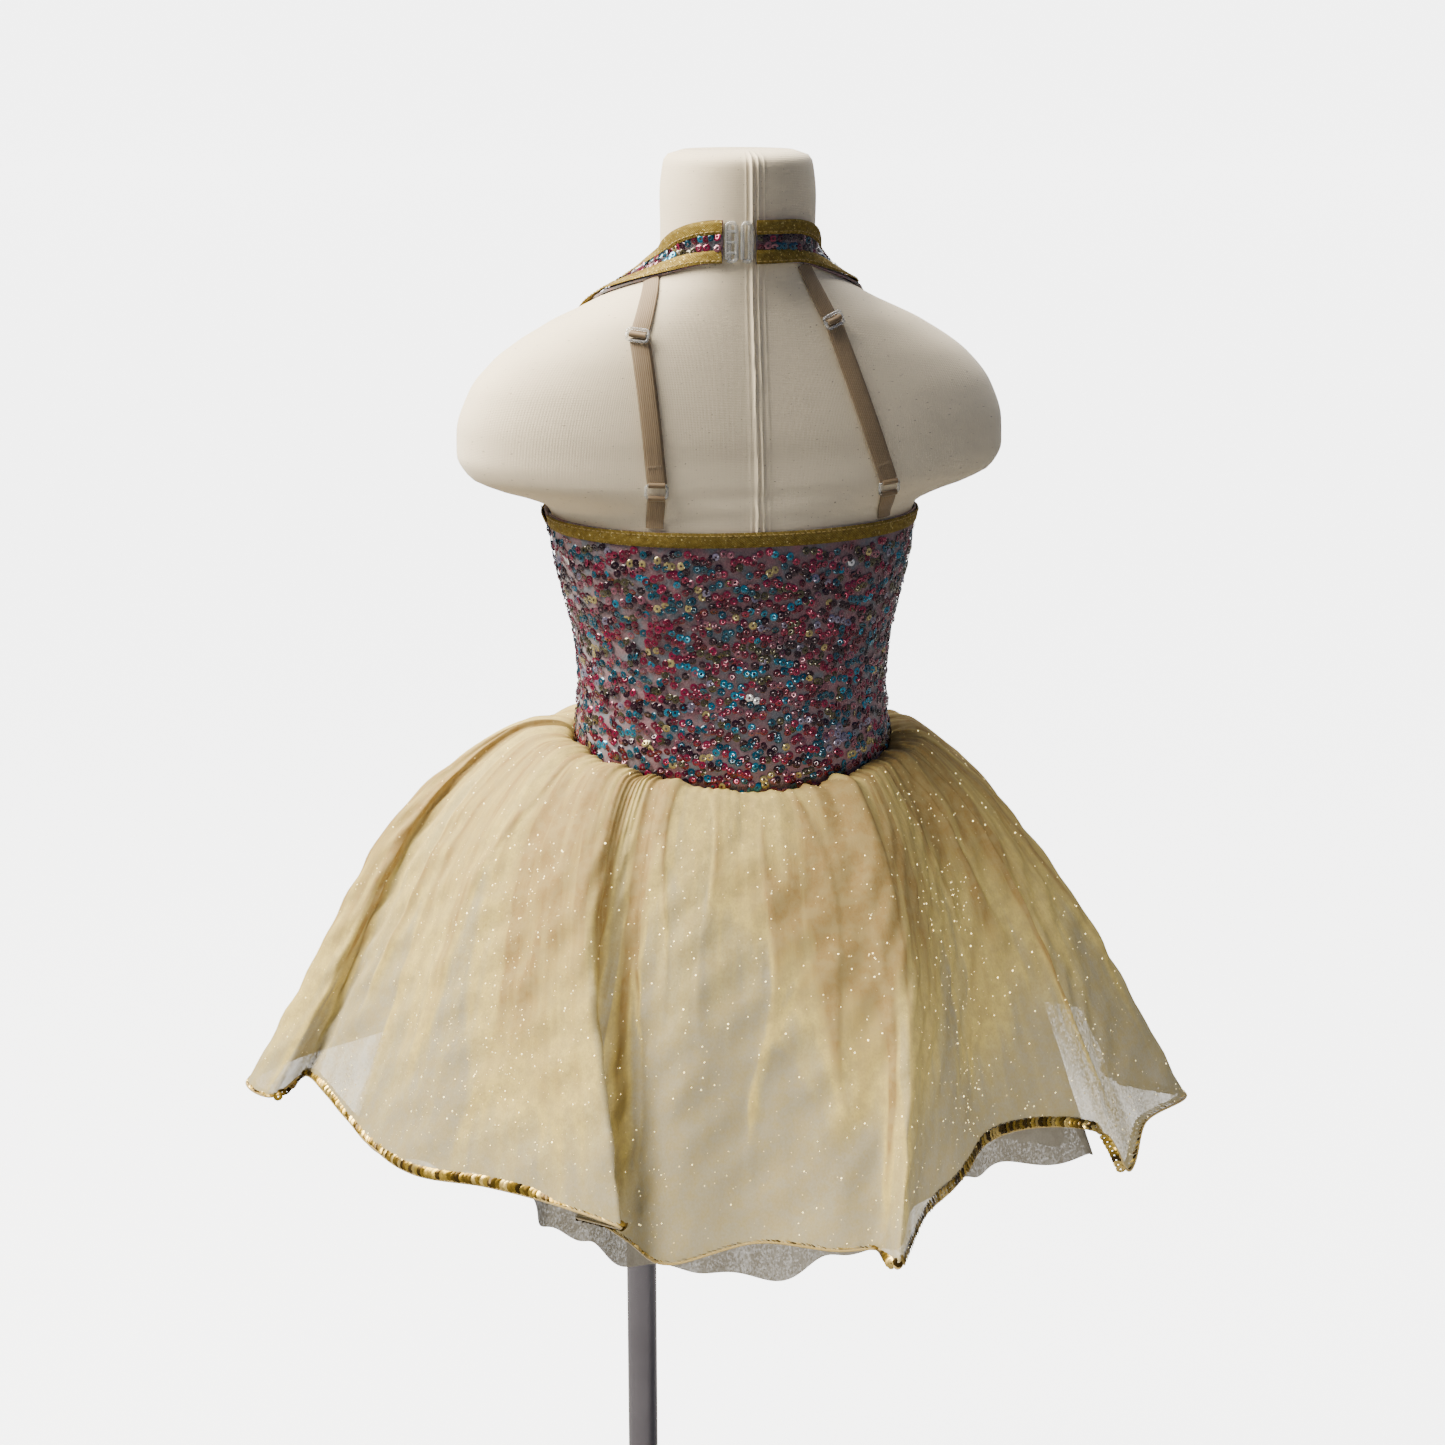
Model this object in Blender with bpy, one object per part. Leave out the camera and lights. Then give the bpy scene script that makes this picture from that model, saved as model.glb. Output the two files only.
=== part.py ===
"""A child's halter dance dress with a gathered tulle skirt, on a limbless dress form and its stand.

Metres, +Z up. The origin is on the floor, below the body's axis. The back of the dress faces +Y,
and a turn round the body is measured from the centre back, towards -X.
"""

import math
from typing import NamedTuple

import bmesh
import bpy
from mathutils import Vector

# Stand
POLE_X = 0.058
POLE_RADIUS = 0.0093
BASE_RADIUS = 0.145
BASE_THICKNESS = 0.008
BASE_EDGE_ROUND = 0.003
BASE_EDGE_STEPS = 3
COLLAR_RADIUS = 0.019
COLLAR_HEIGHT = 0.026
FLANGE_RADIUS = 0.026
FLANGE_HEIGHT = 0.008
ROUND_SIDES = 24

# Gaps and cloth
SEAM_GAP = 0.0003
CLOTH_CLEAR = 0.0009
BINDING_CLEAR = 0.0009
BAND_SEAM_GAP = 0.0009
ARMHOLE_CLEAR = 0.0010
BODICE_WALL = 0.0012
BINDING_WALL = 0.0010
STRAP_CLEAR = 0.0006
STRAP_WALL = 0.0010
TULLE_WALL = 0.0011
NET_WALL = 0.0010
TRIM_WALL = 0.0012

# Dress
BACK_TOP_CENTRE = 0.8150
BACK_TOP_SIDE = 0.8170
BODICE_HEM_SIDE = 0.6730
BODICE_HEM_BACK = 0.6640
BODICE_HEM_FRONT = 0.6680
BINDING_WIDTH = 0.0085
BAND_WIDTH = 0.0240
BAND_BINDING_WIDTH = 0.0078
BAND_MID_HEIGHT = 0.9510
BAND_TILT = 0.0220
BAND_RIGHT_END_TURN = 0.0
BAND_LEFT_END_TURN = 23.0
BAND_LEVEL_TURN = 24.0
BAND_EASED_TURN = 96.0
BAND_FRONT_TURN = 52.0
STRAP_WIDTH = 0.0100
STRAP_END_GAP = 0.0013
TRIM_WIDTH = 0.0065

# Meshes
FORM_COLUMNS = 30
FORM_ROW_STEP = 0.018
NECK_ROW_STEP = 0.0055
NECK_SECTIONS = ("slope", "neck root", "neck base")
PANEL_COLUMNS = 16
PANEL_ROW_STEP = 0.017
ARMHOLE_ROW_STEP = 0.015
BAND_STEPS = 28
BAND_STEPS_TO_CORNER = 6
BAND_CORNER_MARGIN = 14.0
ARMHOLE_BINDING_INSET = 0.45
ARMHOLE_BINDING_STEPS = 3
ARMHOLE_BINDING_END_TURN = 91.0
BACK_BINDING_END_TURN = 89.0
STRAP_STEPS_STUB = 3
STRAP_STEPS_LOWER = 10
STRAP_STEPS_UPPER = 4
COLUMNS_PER_FOLD = 4
NET_COLUMNS = 60
WALK_STEP = 0.003
NUDGE = 1e-4
SHARP_ANGLE = 40.0
CARRIER_NAME = "dress_and_form"


class FormSection(NamedTuple):
    """One level section of the form: a rounded oval, with its middle moved towards the back."""

    name: str
    height: float
    half_width: float
    half_depth: float
    back_shift: float
    squareness: float


FORM_SECTIONS = (
    FormSection("hip end", 0.5600, 0.0960, 0.0790, 0.000, 2.2),
    FormSection("hip", 0.6000, 0.0975, 0.0810, 0.000, 2.2),
    FormSection("high hip", 0.6400, 0.0950, 0.0790, 0.000, 2.2),
    FormSection("seam", 0.6700, 0.0915, 0.0770, 0.000, 2.2),
    FormSection("waist", 0.7080, 0.0885, 0.0745, 0.000, 2.2),
    FormSection("under rib", 0.7390, 0.0905, 0.0745, 0.000, 2.2),
    FormSection("rib", 0.7630, 0.0957, 0.0755, 0.000, 2.2),
    FormSection("chest", 0.7870, 0.1016, 0.0765, 0.000, 2.2),
    FormSection("underarm", 0.8150, 0.1062, 0.0760, 0.000, 2.2),
    FormSection("cap root", 0.8210, 0.1090, 0.0755, 0.000, 2.2),
    FormSection("cap under", 0.8280, 0.1230, 0.0745, 0.001, 2.25),
    FormSection("cap floor", 0.8340, 0.1430, 0.0735, 0.001, 2.3),
    FormSection("cap edge", 0.8400, 0.1545, 0.0725, 0.002, 2.3),
    FormSection("cap", 0.8520, 0.1605, 0.0710, 0.002, 2.3),
    FormSection("cap upper", 0.8660, 0.1600, 0.0690, 0.003, 2.25),
    FormSection("shoulder", 0.8870, 0.1530, 0.0650, 0.004, 2.2),
    FormSection("shoulder slope", 0.9055, 0.1380, 0.0600, 0.006, 2.1),
    FormSection("slope", 0.9244, 0.1100, 0.0550, 0.008, 2.0),
    FormSection("neck root", 0.9409, 0.0755, 0.0505, 0.010, 2.0),
    FormSection("neck base", 0.9560, 0.0520, 0.0475, 0.012, 2.0),
    FormSection("nape", 0.9680, 0.0435, 0.0460, 0.013, 2.0),
    FormSection("neck", 0.9950, 0.0440, 0.0450, 0.014, 2.0),
    FormSection("neck rim", 1.0140, 0.0420, 0.0440, 0.014, 2.0),
    FormSection("neck edge", 1.0195, 0.0380, 0.0400, 0.014, 2.0),
    FormSection("neck top", 1.0210, 0.0310, 0.0330, 0.014, 2.0),
)


class ArmholePoint(NamedTuple):
    """How far the front reaches to each side at one height."""

    height: float
    half_width: float


ARMHOLE = (
    ArmholePoint(0.8170, 0.1068),
    ArmholePoint(0.8205, 0.0990),
    ArmholePoint(0.8290, 0.0925),
    ArmholePoint(0.8450, 0.0865),
    ArmholePoint(0.8700, 0.0790),
    ArmholePoint(0.9000, 0.0725),
    ArmholePoint(0.9300, 0.0715),
)


class SoftFold(NamedTuple):
    """A soft ridge round the bodice."""

    height: float
    size: float
    spread: float


SOFT_FOLDS = (
    SoftFold(0.7010, 0.0010, 0.0060),
    SoftFold(0.6840, 0.0016, 0.0065),
)
UNDERARM_BRIDGE = SoftFold(0.8240, 0.0026, 0.0130)
FRONT_FOLDS = (*SOFT_FOLDS, UNDERARM_BRIDGE)


class StrapPoint(NamedTuple):
    """A place on the back of the form, where a strap's run ends."""

    name: str
    side: str
    x: float
    height: float


STRAP_POINTS = (
    StrapPoint("bodice", "left", 0.0583, 0.8175),
    StrapPoint("ring", "left", 0.0583, 0.8390),
    StrapPoint("slider", "left", 0.0645, 0.9220),
    StrapPoint("band", "left", 0.0539, 0.9478),
    StrapPoint("bodice", "right", -0.0755, 0.8175),
    StrapPoint("ring", "right", -0.0755, 0.8367),
    StrapPoint("slider", "right", -0.0437, 0.9285),
    StrapPoint("band", "right", -0.0325, 0.9522),
)
RING_LENGTH = 0.0090
RING_BAR = 0.0016
RING_THICKNESS = 0.0018
SLIDER_LENGTH = 0.0085
SLIDER_WIDTH = 0.0135
CLASP_WIDTH = 0.0082
CLASP_LENGTH = 0.0230
CLASP_BAR = 0.0022
CLASP_THICKNESS = 0.0022


class HemFold(NamedTuple):
    """One ridge, valley or turned edge of a skirt layer: where it starts and where its hem lies."""

    name: str
    seam_turn: float
    hem_turn: float
    radius: float
    height: float


OUTER_FOLDS = (
    HemFold("left tip", -106, -104.0, 0.304, 0.4500),
    HemFold("left pocket", -103, -98.5, 0.285, 0.4505),
    HemFold("left notch", -100, -100.5, 0.267, 0.4600),
    HemFold("left panel start", -97, -95.5, 0.255, 0.4640),
    HemFold("left panel fall", -91, -89.0, 0.241, 0.4560),
    HemFold("left panel turn", -83, -80.0, 0.231, 0.4500),
    HemFold("left panel trim", -74, -66.0, 0.226, 0.4530),
    HemFold("back left", -63, -52.0, 0.214, 0.4600),
    HemFold("back left inner", -52, -39.0, 0.214, 0.4620),
    HemFold("first fold edge", -42, -27.5, 0.226, 0.4615),
    HemFold("first fold under", -38, -38.5, 0.193, 0.4450),
    HemFold("first fold turn", -34, -38.0, 0.182, 0.4410),
    HemFold("second panel", -29, -29.5, 0.194, 0.4370),
    HemFold("second panel low", -20, -21.5, 0.214, 0.4365),
    HemFold("second panel mid", -6, -8.5, 0.201, 0.4440),
    HemFold("third panel low", 9, 2.5, 0.219, 0.4450),
    HemFold("second fold", 22, 8.5, 0.226, 0.4455),
    HemFold("second fold tip", 29, 9.0, 0.249, 0.4455),
    HemFold("sweep start", 36, 18.0, 0.212, 0.4510),
    HemFold("sweep", 42, 29.0, 0.196, 0.4560),
    HemFold("sweep crest", 49, 41.0, 0.187, 0.4645),
    HemFold("sweep far", 56, 52.5, 0.203, 0.4620),
    HemFold("right curl", 62, 57.5, 0.235, 0.4550),
    HemFold("right curl edge", 66, 58.0, 0.2510, 0.4330),
    HemFold("right curl back", 71, 64.5, 0.256, 0.4530),
    HemFold("right tip", 76, 74.0, 0.280, 0.4530),
    HemFold("right pocket", 83, 78.5, 0.238, 0.4560),
    HemFold("right side", 90, 90.5, 0.258, 0.4500),
    HemFold("right side flute", 96, 98.5, 0.284, 0.4510),
    HemFold("right side turn", 102, 106.5, 0.274, 0.4500),
    HemFold("front right valley", 113, 121.0, 0.228, 0.4560),
    HemFold("front right flute", 125, 136.0, 0.270, 0.4460),
    HemFold("front valley", 137, 149.5, 0.216, 0.4570),
    HemFold("front flute", 149, 165.0, 0.258, 0.4470),
    HemFold("front fold edge", 161, 181.0, 0.238, 0.4560),
    HemFold("front fold under", 166, 173.5, 0.210, 0.4460),
    HemFold("front fold turn", 171, 173.5, 0.198, 0.4430),
    HemFold("front panel", 177, 182.5, 0.209, 0.4400),
    HemFold("front panel low", 187, 197.0, 0.243, 0.4430),
    HemFold("front left valley", 200, 211.0, 0.212, 0.4560),
    HemFold("front left flute", 214, 225.5, 0.272, 0.4470),
    HemFold("front left dip", 228, 237.5, 0.234, 0.4580),
    HemFold("left rise", 242, 248.5, 0.272, 0.4540),
)

LONG_NET_FOLDS = (
    HemFold("left", -100, -97.0, 0.232, 0.4330),
    HemFold("left back", -80, -76.0, 0.204, 0.4400),
    HemFold("back left", -63, -60.0, 0.176, 0.4400),
    HemFold("back step", -51, -47.0, 0.180, 0.4240),
    HemFold("under first fold", -38, -38.0, 0.169, 0.4170),
    HemFold("back", -16, -18.0, 0.186, 0.4165),
    HemFold("back right", 6, 2.0, 0.183, 0.4165),
    HemFold("under second fold", 22, 16.0, 0.186, 0.4240),
    HemFold("under sweep", 40, 34.0, 0.164, 0.4330),
    HemFold("right sweep", 54, 50.0, 0.182, 0.4350),
    HemFold("right flute", 68, 62.5, 0.226, 0.4290),
    HemFold("right", 84, 79.0, 0.208, 0.4350),
    HemFold("front right", 104, 104.0, 0.240, 0.4330),
    HemFold("front right valley", 120, 124.0, 0.200, 0.4320),
    HemFold("front flute", 140, 143.0, 0.200, 0.4270),
    HemFold("front", 163, 166.0, 0.186, 0.4240),
    HemFold("front left", 186, 188.0, 0.186, 0.4270),
    HemFold("front left valley", 206, 210.0, 0.192, 0.4290),
    HemFold("front left flute", 226, 228.0, 0.214, 0.4310),
    HemFold("left front", 246, 248.0, 0.226, 0.4330),
)
NET_RUFFLE = 0.0045
SHORT_NET_SHRINK = 0.018
SHORT_NET_RISE = 0.014
NET_RUFFLES = 15
NET_LEVELS = (0, 2, 3, 4, 6, 7)


class BellPoint(NamedTuple):
    """One level of a skirt layer, as shares of the way from the seam to its hem."""

    name: str
    out: float
    down: float
    fan: float
    lean: float


BELL = (
    BellPoint("seam", 0.000, 0.000, 0.00, 0.000),
    BellPoint("gathers", 0.026, -0.010, 0.02, 0.004),
    BellPoint("puff", 0.130, -0.016, 0.08, 0.024),
    BellPoint("crown", 0.320, 0.070, 0.24, 0.052),
    BellPoint("shoulder", 0.505, 0.240, 0.42, 0.048),
    BellPoint("fall", 0.668, 0.460, 0.60, 0.022),
    BellPoint("lower fall", 0.812, 0.700, 0.79, 0.008),
    BellPoint("hem", 1.000, 1.000, 1.00, 0.000),
)
PUFF_RISE = 0.009
PUFF_LEVELS = 3
PUFF_BACK_SHARE = 0.25
PUFF_RIGHT_DROP = 0.70
GATHER_SIZE = 0.0011
GATHER_STEEPEST = 0.3
GATHER_SPREAD = 1.1
OUTER_SEAM_LIFT = 0.0027
NET_SEAM_LIFT = 0.0012
NET_SEAM_DROP = 0.0035


class Finish(NamedTuple):
    """The plain colour and gloss of one material."""

    colour: tuple
    roughness: float
    metallic: float


FINISHES = {
    "sequin_mesh": Finish((0.42, 0.20, 0.30), 0.40, 0.2),
    "gold_binding": Finish((0.62, 0.48, 0.14), 0.40, 0.7),
    "gold_tulle": Finish((0.80, 0.70, 0.45), 0.50, 0.1),
    "ivory_net": Finish((0.85, 0.82, 0.72), 0.60, 0.0),
    "sequin_trim": Finish((0.55, 0.42, 0.10), 0.25, 0.8),
    "nude_elastic": Finish((0.52, 0.40, 0.28), 0.70, 0.0),
    "clear_plastic": Finish((0.85, 0.87, 0.88), 0.10, 0.0),
    "linen": Finish((0.80, 0.76, 0.68), 0.85, 0.0),
    "chrome": Finish((0.70, 0.70, 0.72), 0.12, 1.0),
    "base_metal": Finish((0.60, 0.60, 0.62), 0.30, 1.0),
}


def smooth_curve(points):
    """Returns a function that passes through (x, y) points and never overshoots them."""
    places = [point[0] for point in points]
    values = [point[1] for point in points]
    last = len(points) - 1
    slopes = [(values[i + 1] - values[i]) / (places[i + 1] - places[i]) for i in range(last)]
    tangents = [slopes[0]]
    for before, after in zip(slopes, slopes[1:]):
        tangents.append(2 * before * after / (before + after) if before * after > 0 else 0.0)
    tangents.append(slopes[-1])

    def value(place):
        place = min(max(place, places[0]), places[-1])
        i = 0
        while i < last - 1 and place > places[i + 1]:
            i += 1
        step = places[i + 1] - places[i]
        t = (place - places[i]) / step
        start = (1 + 2 * t) * (1 - t) ** 2 * values[i] + t * (1 - t) ** 2 * step * tangents[i]
        end = t * t * (3 - 2 * t) * values[i + 1] + t * t * (t - 1) * step * tangents[i + 1]
        return start + end

    return value


def section_curve(field):
    """Returns one size of the form as a function of the height."""
    return smooth_curve([(row.height, getattr(row, field)) for row in FORM_SECTIONS])


FORM_WIDTH = section_curve("half_width")
FORM_DEPTH = section_curve("half_depth")
FORM_SHIFT = section_curve("back_shift")
FORM_POWER = section_curve("squareness")
ARMHOLE_WIDTH = smooth_curve([(row.height, row.half_width) for row in ARMHOLE])
ARMHOLE_DROP = smooth_curve([
    (ARMHOLE[0].height, 0.5),
    (ARMHOLE[3].height, 0.15),
    (ARMHOLE[-1].height, 0.0),
])


def signed_power(value, power):
    """Raises a value's size to a power and keeps its sign."""
    return math.copysign(abs(value) ** power, value)


def form_point(turn, height):
    """Returns the form's surface point at a turn (radians from the centre back) and a height."""
    power = 2 / FORM_POWER(height)
    x = -FORM_WIDTH(height) * signed_power(math.sin(turn), power)
    y = FORM_SHIFT(height) + FORM_DEPTH(height) * signed_power(math.cos(turn), power)
    return Vector((x, y, height))


def form_slopes(turn, height):
    """Returns how the form's surface point moves with the turn and with the height."""
    round_way = (form_point(turn + NUDGE, height) - form_point(turn - NUDGE, height)) / (2 * NUDGE)
    up_way = (form_point(turn, height + NUDGE) - form_point(turn, height - NUDGE)) / (2 * NUDGE)
    return round_way, up_way


def form_normal(turn, height):
    """Returns the direction straight out of the form's surface."""
    round_way, up_way = form_slopes(turn, height)
    return round_way.cross(up_way).normalized()


def lifted(turn, height, lift):
    """Returns a point that stands off the form's surface."""
    return form_point(turn, height) + form_normal(turn, height) * lift


def turn_at(x, height, front=False):
    """Returns the turn where the form's surface has a given x, on its back or its front."""
    share = min(abs(x) / FORM_WIDTH(height), 1.0)
    turn = math.asin(share ** (FORM_POWER(height) / 2))
    turn = math.pi - turn if front else turn
    return -math.copysign(turn, x)


def place_under(point):
    """Returns the turn and height of the form's surface under a point near it."""
    power = FORM_POWER(point.z) / 2
    across = signed_power(-point.x / FORM_WIDTH(point.z), power)
    back = signed_power((point.y - FORM_SHIFT(point.z)) / FORM_DEPTH(point.z), power)
    return math.atan2(across, back), point.z


def walk(turn, height, direction, distance):
    """Moves a surface point in a direction by a distance, and keeps it on the form."""
    steps = max(1, math.ceil(abs(distance) / WALK_STEP))
    for _ in range(steps):
        round_way, up_way = form_slopes(turn, height)
        rr, ru, uu = round_way.dot(round_way), round_way.dot(up_way), up_way.dot(up_way)
        along, rising = round_way.dot(direction), up_way.dot(direction)
        scale = distance / steps / (rr * uu - ru * ru)
        turn += (uu * along - ru * rising) * scale
        height += (rr * rising - ru * along) * scale
    return turn, height


def material(name):
    """Makes one of the named materials, or returns the one already made."""
    made = bpy.data.materials.get(name)
    if made:
        return made
    made = bpy.data.materials.new(name)
    made.use_nodes = True
    shader = made.node_tree.nodes["Principled BSDF"]
    finish = FINISHES[name]
    shader.inputs["Base Color"].default_value = (*finish.colour, 1.0)
    shader.inputs["Roughness"].default_value = finish.roughness
    shader.inputs["Metallic"].default_value = finish.metallic
    return made


def assembly():
    """Makes the empty that carries every piece, or returns the one already made."""
    carrier = bpy.data.objects.get(CARRIER_NAME)
    if carrier is None:
        carrier = bpy.data.objects.new(CARRIER_NAME, None)
        bpy.context.scene.collection.objects.link(carrier)
    return carrier


def add_object(name, vertices, faces, finish, smooth=True, x=0.0):
    """Makes an object from points and faces, with its faces pointing out, and places it at x."""
    mesh = bpy.data.meshes.new(name)
    work = bmesh.new()
    made = [work.verts.new(vertex) for vertex in vertices]
    for face in faces:
        work.faces.new([made[index] for index in face])
    bmesh.ops.recalc_face_normals(work, faces=work.faces)
    work.to_mesh(mesh)
    work.free()
    if smooth:
        mesh.shade_smooth()
        mesh.set_sharp_from_angle(angle=math.radians(SHARP_ANGLE))
    mesh.materials.append(material(finish))
    piece = bpy.data.objects.new(name, mesh)
    piece.location.x = x
    piece.parent = assembly()
    bpy.context.scene.collection.objects.link(piece)


def wall(name, outer, inner, finish, closed):
    """Makes a wall between two grids of points, given in rows, closed round or open at its sides."""
    rows = len(outer)
    columns = len(outer[0])
    vertices = [point for grid in (outer, inner) for row in grid for point in row]

    def at(side, row, column):
        return side * rows * columns + row * columns + column % columns

    faces = []
    for row in range(rows - 1):
        for column in range(columns if closed else columns - 1):
            for side in (0, 1):
                corners = [(row, column), (row, column + 1), (row + 1, column + 1), (row + 1, column)]
                faces.append([at(side, *corner) for corner in corners])
    for row in (0, rows - 1):
        for column in range(columns if closed else columns - 1):
            faces.append([at(0, row, column), at(0, row, column + 1),
                          at(1, row, column + 1), at(1, row, column)])
    if not closed:
        for column in (0, columns - 1):
            for row in range(rows - 1):
                faces.append([at(0, row, column), at(0, row + 1, column),
                              at(1, row + 1, column), at(1, row, column)])
    add_object(name, vertices, faces, finish)


def strip(name, path, width, lift, thickness, finish, across=2, folds=()):
    """Makes a flat strip of even width on the form, or on the folds of the cloth under it."""
    points = [form_point(*place) for place in path]
    outer, inner = [], []
    for index, (turn, height) in enumerate(path):
        before = points[max(index - 1, 0)]
        after = points[min(index + 1, len(points) - 1)]
        side = form_normal(turn, height).cross(after - before).normalized()
        places = []
        for step in range(across + 1):
            distance = (step / across - 0.5) * width
            places.append(walk(turn, height, side, distance))
        clear = [lift + fold_lift(place[1], folds) for place in places]
        outer.append([lifted(*place, gap + thickness) for place, gap in zip(places, clear)])
        inner.append([lifted(*place, gap) for place, gap in zip(places, clear)])
    wall(name, outer, inner, finish, closed=False)


def smooth_path(points, per_step):
    """Returns a smooth path through points of any size, with per_step points to each stretch."""
    ends = [[2 * a - b for a, b in zip(points[0], points[1])]]
    tails = [[2 * a - b for a, b in zip(points[-1], points[-2])]]
    padded = ends + [list(point) for point in points] + tails
    path = []
    for i in range(1, len(padded) - 2):
        for step in range(per_step):
            path.append(spline_point(padded[i - 1:i + 3], step / per_step))
    path.append(list(points[-1]))
    return path


def spline_point(four, t):
    """Returns the point at t on the smooth curve between the middle two of four points."""
    return [0.5 * (2 * b + (c - a) * t + (2 * a - 5 * b + 4 * c - d) * t * t
                   + (3 * b - a - 3 * c + d) * t ** 3) for a, b, c, d in zip(*four)]


def band_path(turn_degrees):
    """Returns the neck band's middle line, level at the nape, as a turn and a height."""
    away = abs((turn_degrees + 180) % 360 - 180)
    eased = max(away - BAND_LEVEL_TURN, 0) * BAND_EASED_TURN / (BAND_EASED_TURN - BAND_LEVEL_TURN)
    fallen = min(eased, away)
    return math.radians(turn_degrees), BAND_MID_HEIGHT + BAND_TILT * math.cos(math.radians(fallen))


def band_offset(turn_degrees, distance):
    """Returns the place on the form that lies a distance above the neck band's middle line."""
    turn, height = band_path(turn_degrees)
    ahead = form_point(*band_path(turn_degrees + 1)) - form_point(*band_path(turn_degrees - 1))
    upward = ahead.cross(form_normal(turn, height)).normalized()
    upward = upward if upward.z > 0 else -upward
    return walk(turn, height, upward, distance)


def fold_lift(height, folds=SOFT_FOLDS):
    """Returns how far soft folds of the bodice stand out at a height."""
    return sum(fold.size * math.exp(-((height - fold.height) / fold.spread) ** 2) for fold in folds)


def front_lift(height):
    """Returns how far the front stands off the form, as it bridges the hollow under the arm."""
    return CLOTH_CLEAR + fold_lift(height, FRONT_FOLDS)


def bodice_hem(turn):
    """Returns the height of the bodice's lower edge at a turn."""
    level = math.cos(turn)
    middle = BODICE_HEM_BACK if level > 0 else BODICE_HEM_FRONT
    return BODICE_HEM_SIDE + (middle - BODICE_HEM_SIDE) * level * level


def back_top(turn):
    """Returns the height of the back's top edge at a turn."""
    return BACK_TOP_SIDE + (BACK_TOP_CENTRE - BACK_TOP_SIDE) * math.cos(turn) ** 2


def make_bodice_back():
    """Makes the back: one panel from side seam to side seam."""
    outer, inner = [], []
    rows = math.ceil((BACK_TOP_SIDE - BODICE_HEM_BACK) / PANEL_ROW_STEP)
    seam = SEAM_GAP / 2 / FORM_WIDTH(BACK_TOP_SIDE)
    for row in range(rows + 1):
        outer_row, inner_row = [], []
        for column in range(PANEL_COLUMNS + 1):
            turn = (column / PANEL_COLUMNS - 0.5) * (math.pi - 2 * seam)
            low, high = bodice_hem(turn), back_top(turn)
            height = low + (high - low) * row / rows
            lift = CLOTH_CLEAR + fold_lift(height)
            outer_row.append(lifted(turn, height, lift + BODICE_WALL))
            inner_row.append(lifted(turn, height, lift))
        outer.append(outer_row)
        inner.append(inner_row)
    wall("bodice_back", outer, inner, "sequin_mesh", closed=False)


def front_half_turn(height):
    """Returns how far the front reaches from its centre at a height, as a turn."""
    if height <= ARMHOLE[0].height:
        return math.pi / 2
    return math.pi - turn_at(-ARMHOLE_WIDTH(height), height, front=True)


def make_bodice_front():
    """Makes the front: full width to the underarm, then narrowed by the armholes to the neck band."""
    seam = SEAM_GAP / 2 / FORM_WIDTH(BACK_TOP_SIDE)
    side_top = band_offset(180 - BAND_FRONT_TURN, -BAND_WIDTH / 2 - BAND_SEAM_GAP)[1]
    plain_rows = math.ceil((ARMHOLE[0].height - BODICE_HEM_SIDE) / PANEL_ROW_STEP)
    levels = [row / plain_rows * (ARMHOLE[0].height - BODICE_HEM_SIDE) + BODICE_HEM_SIDE
              for row in range(plain_rows)]
    for low, high in zip(ARMHOLE, (*ARMHOLE[1:-1], ARMHOLE[-1]._replace(height=side_top))):
        count = math.ceil((high.height - low.height) / ARMHOLE_ROW_STEP)
        levels += [low.height + (high.height - low.height) * i / count for i in range(count)]
    levels.append(side_top)
    outer, inner = [], []
    for level in levels:
        share = (level - BODICE_HEM_SIDE) / (side_top - BODICE_HEM_SIDE)
        reach = front_half_turn(level) - seam
        outer_row, inner_row = [], []
        for column in range(PANEL_COLUMNS + 1):
            across = 2 * column / PANEL_COLUMNS - 1
            turn = math.pi + across * reach
            top_degrees = 180 + across * BAND_FRONT_TURN
            top_turn, high = band_offset(top_degrees, -BAND_WIDTH / 2 - BAND_SEAM_GAP)
            low = bodice_hem(turn)
            height = low + (high - low) * share
            turn = top_turn if level == side_top else turn
            lift = front_lift(height)
            outer_row.append(lifted(turn, height, lift + BODICE_WALL))
            inner_row.append(lifted(turn, height, lift))
        outer.append(outer_row)
        inner.append(inner_row)
    wall("bodice_front", outer, inner, "sequin_mesh", closed=False)


def make_neck_band():
    """Makes the band round the neck, open at the nape for the clasp, and its upper binding."""
    reach = 360 - BAND_RIGHT_END_TURN - BAND_LEFT_END_TURN
    turns = [BAND_RIGHT_END_TURN + reach * i / BAND_STEPS for i in range(BAND_STEPS + 1)]
    path = [band_path(turn) for turn in turns]
    strip("neck_band", path, BAND_WIDTH, CLOTH_CLEAR, BODICE_WALL, "sequin_mesh", across=4)
    upper = [band_offset(turn, (BAND_WIDTH - BAND_BINDING_WIDTH) / 2) for turn in turns]
    lift = CLOTH_CLEAR + BODICE_WALL + BINDING_CLEAR
    strip("neck_binding", upper, BAND_BINDING_WIDTH, lift, BINDING_WALL, "gold_binding")


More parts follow.
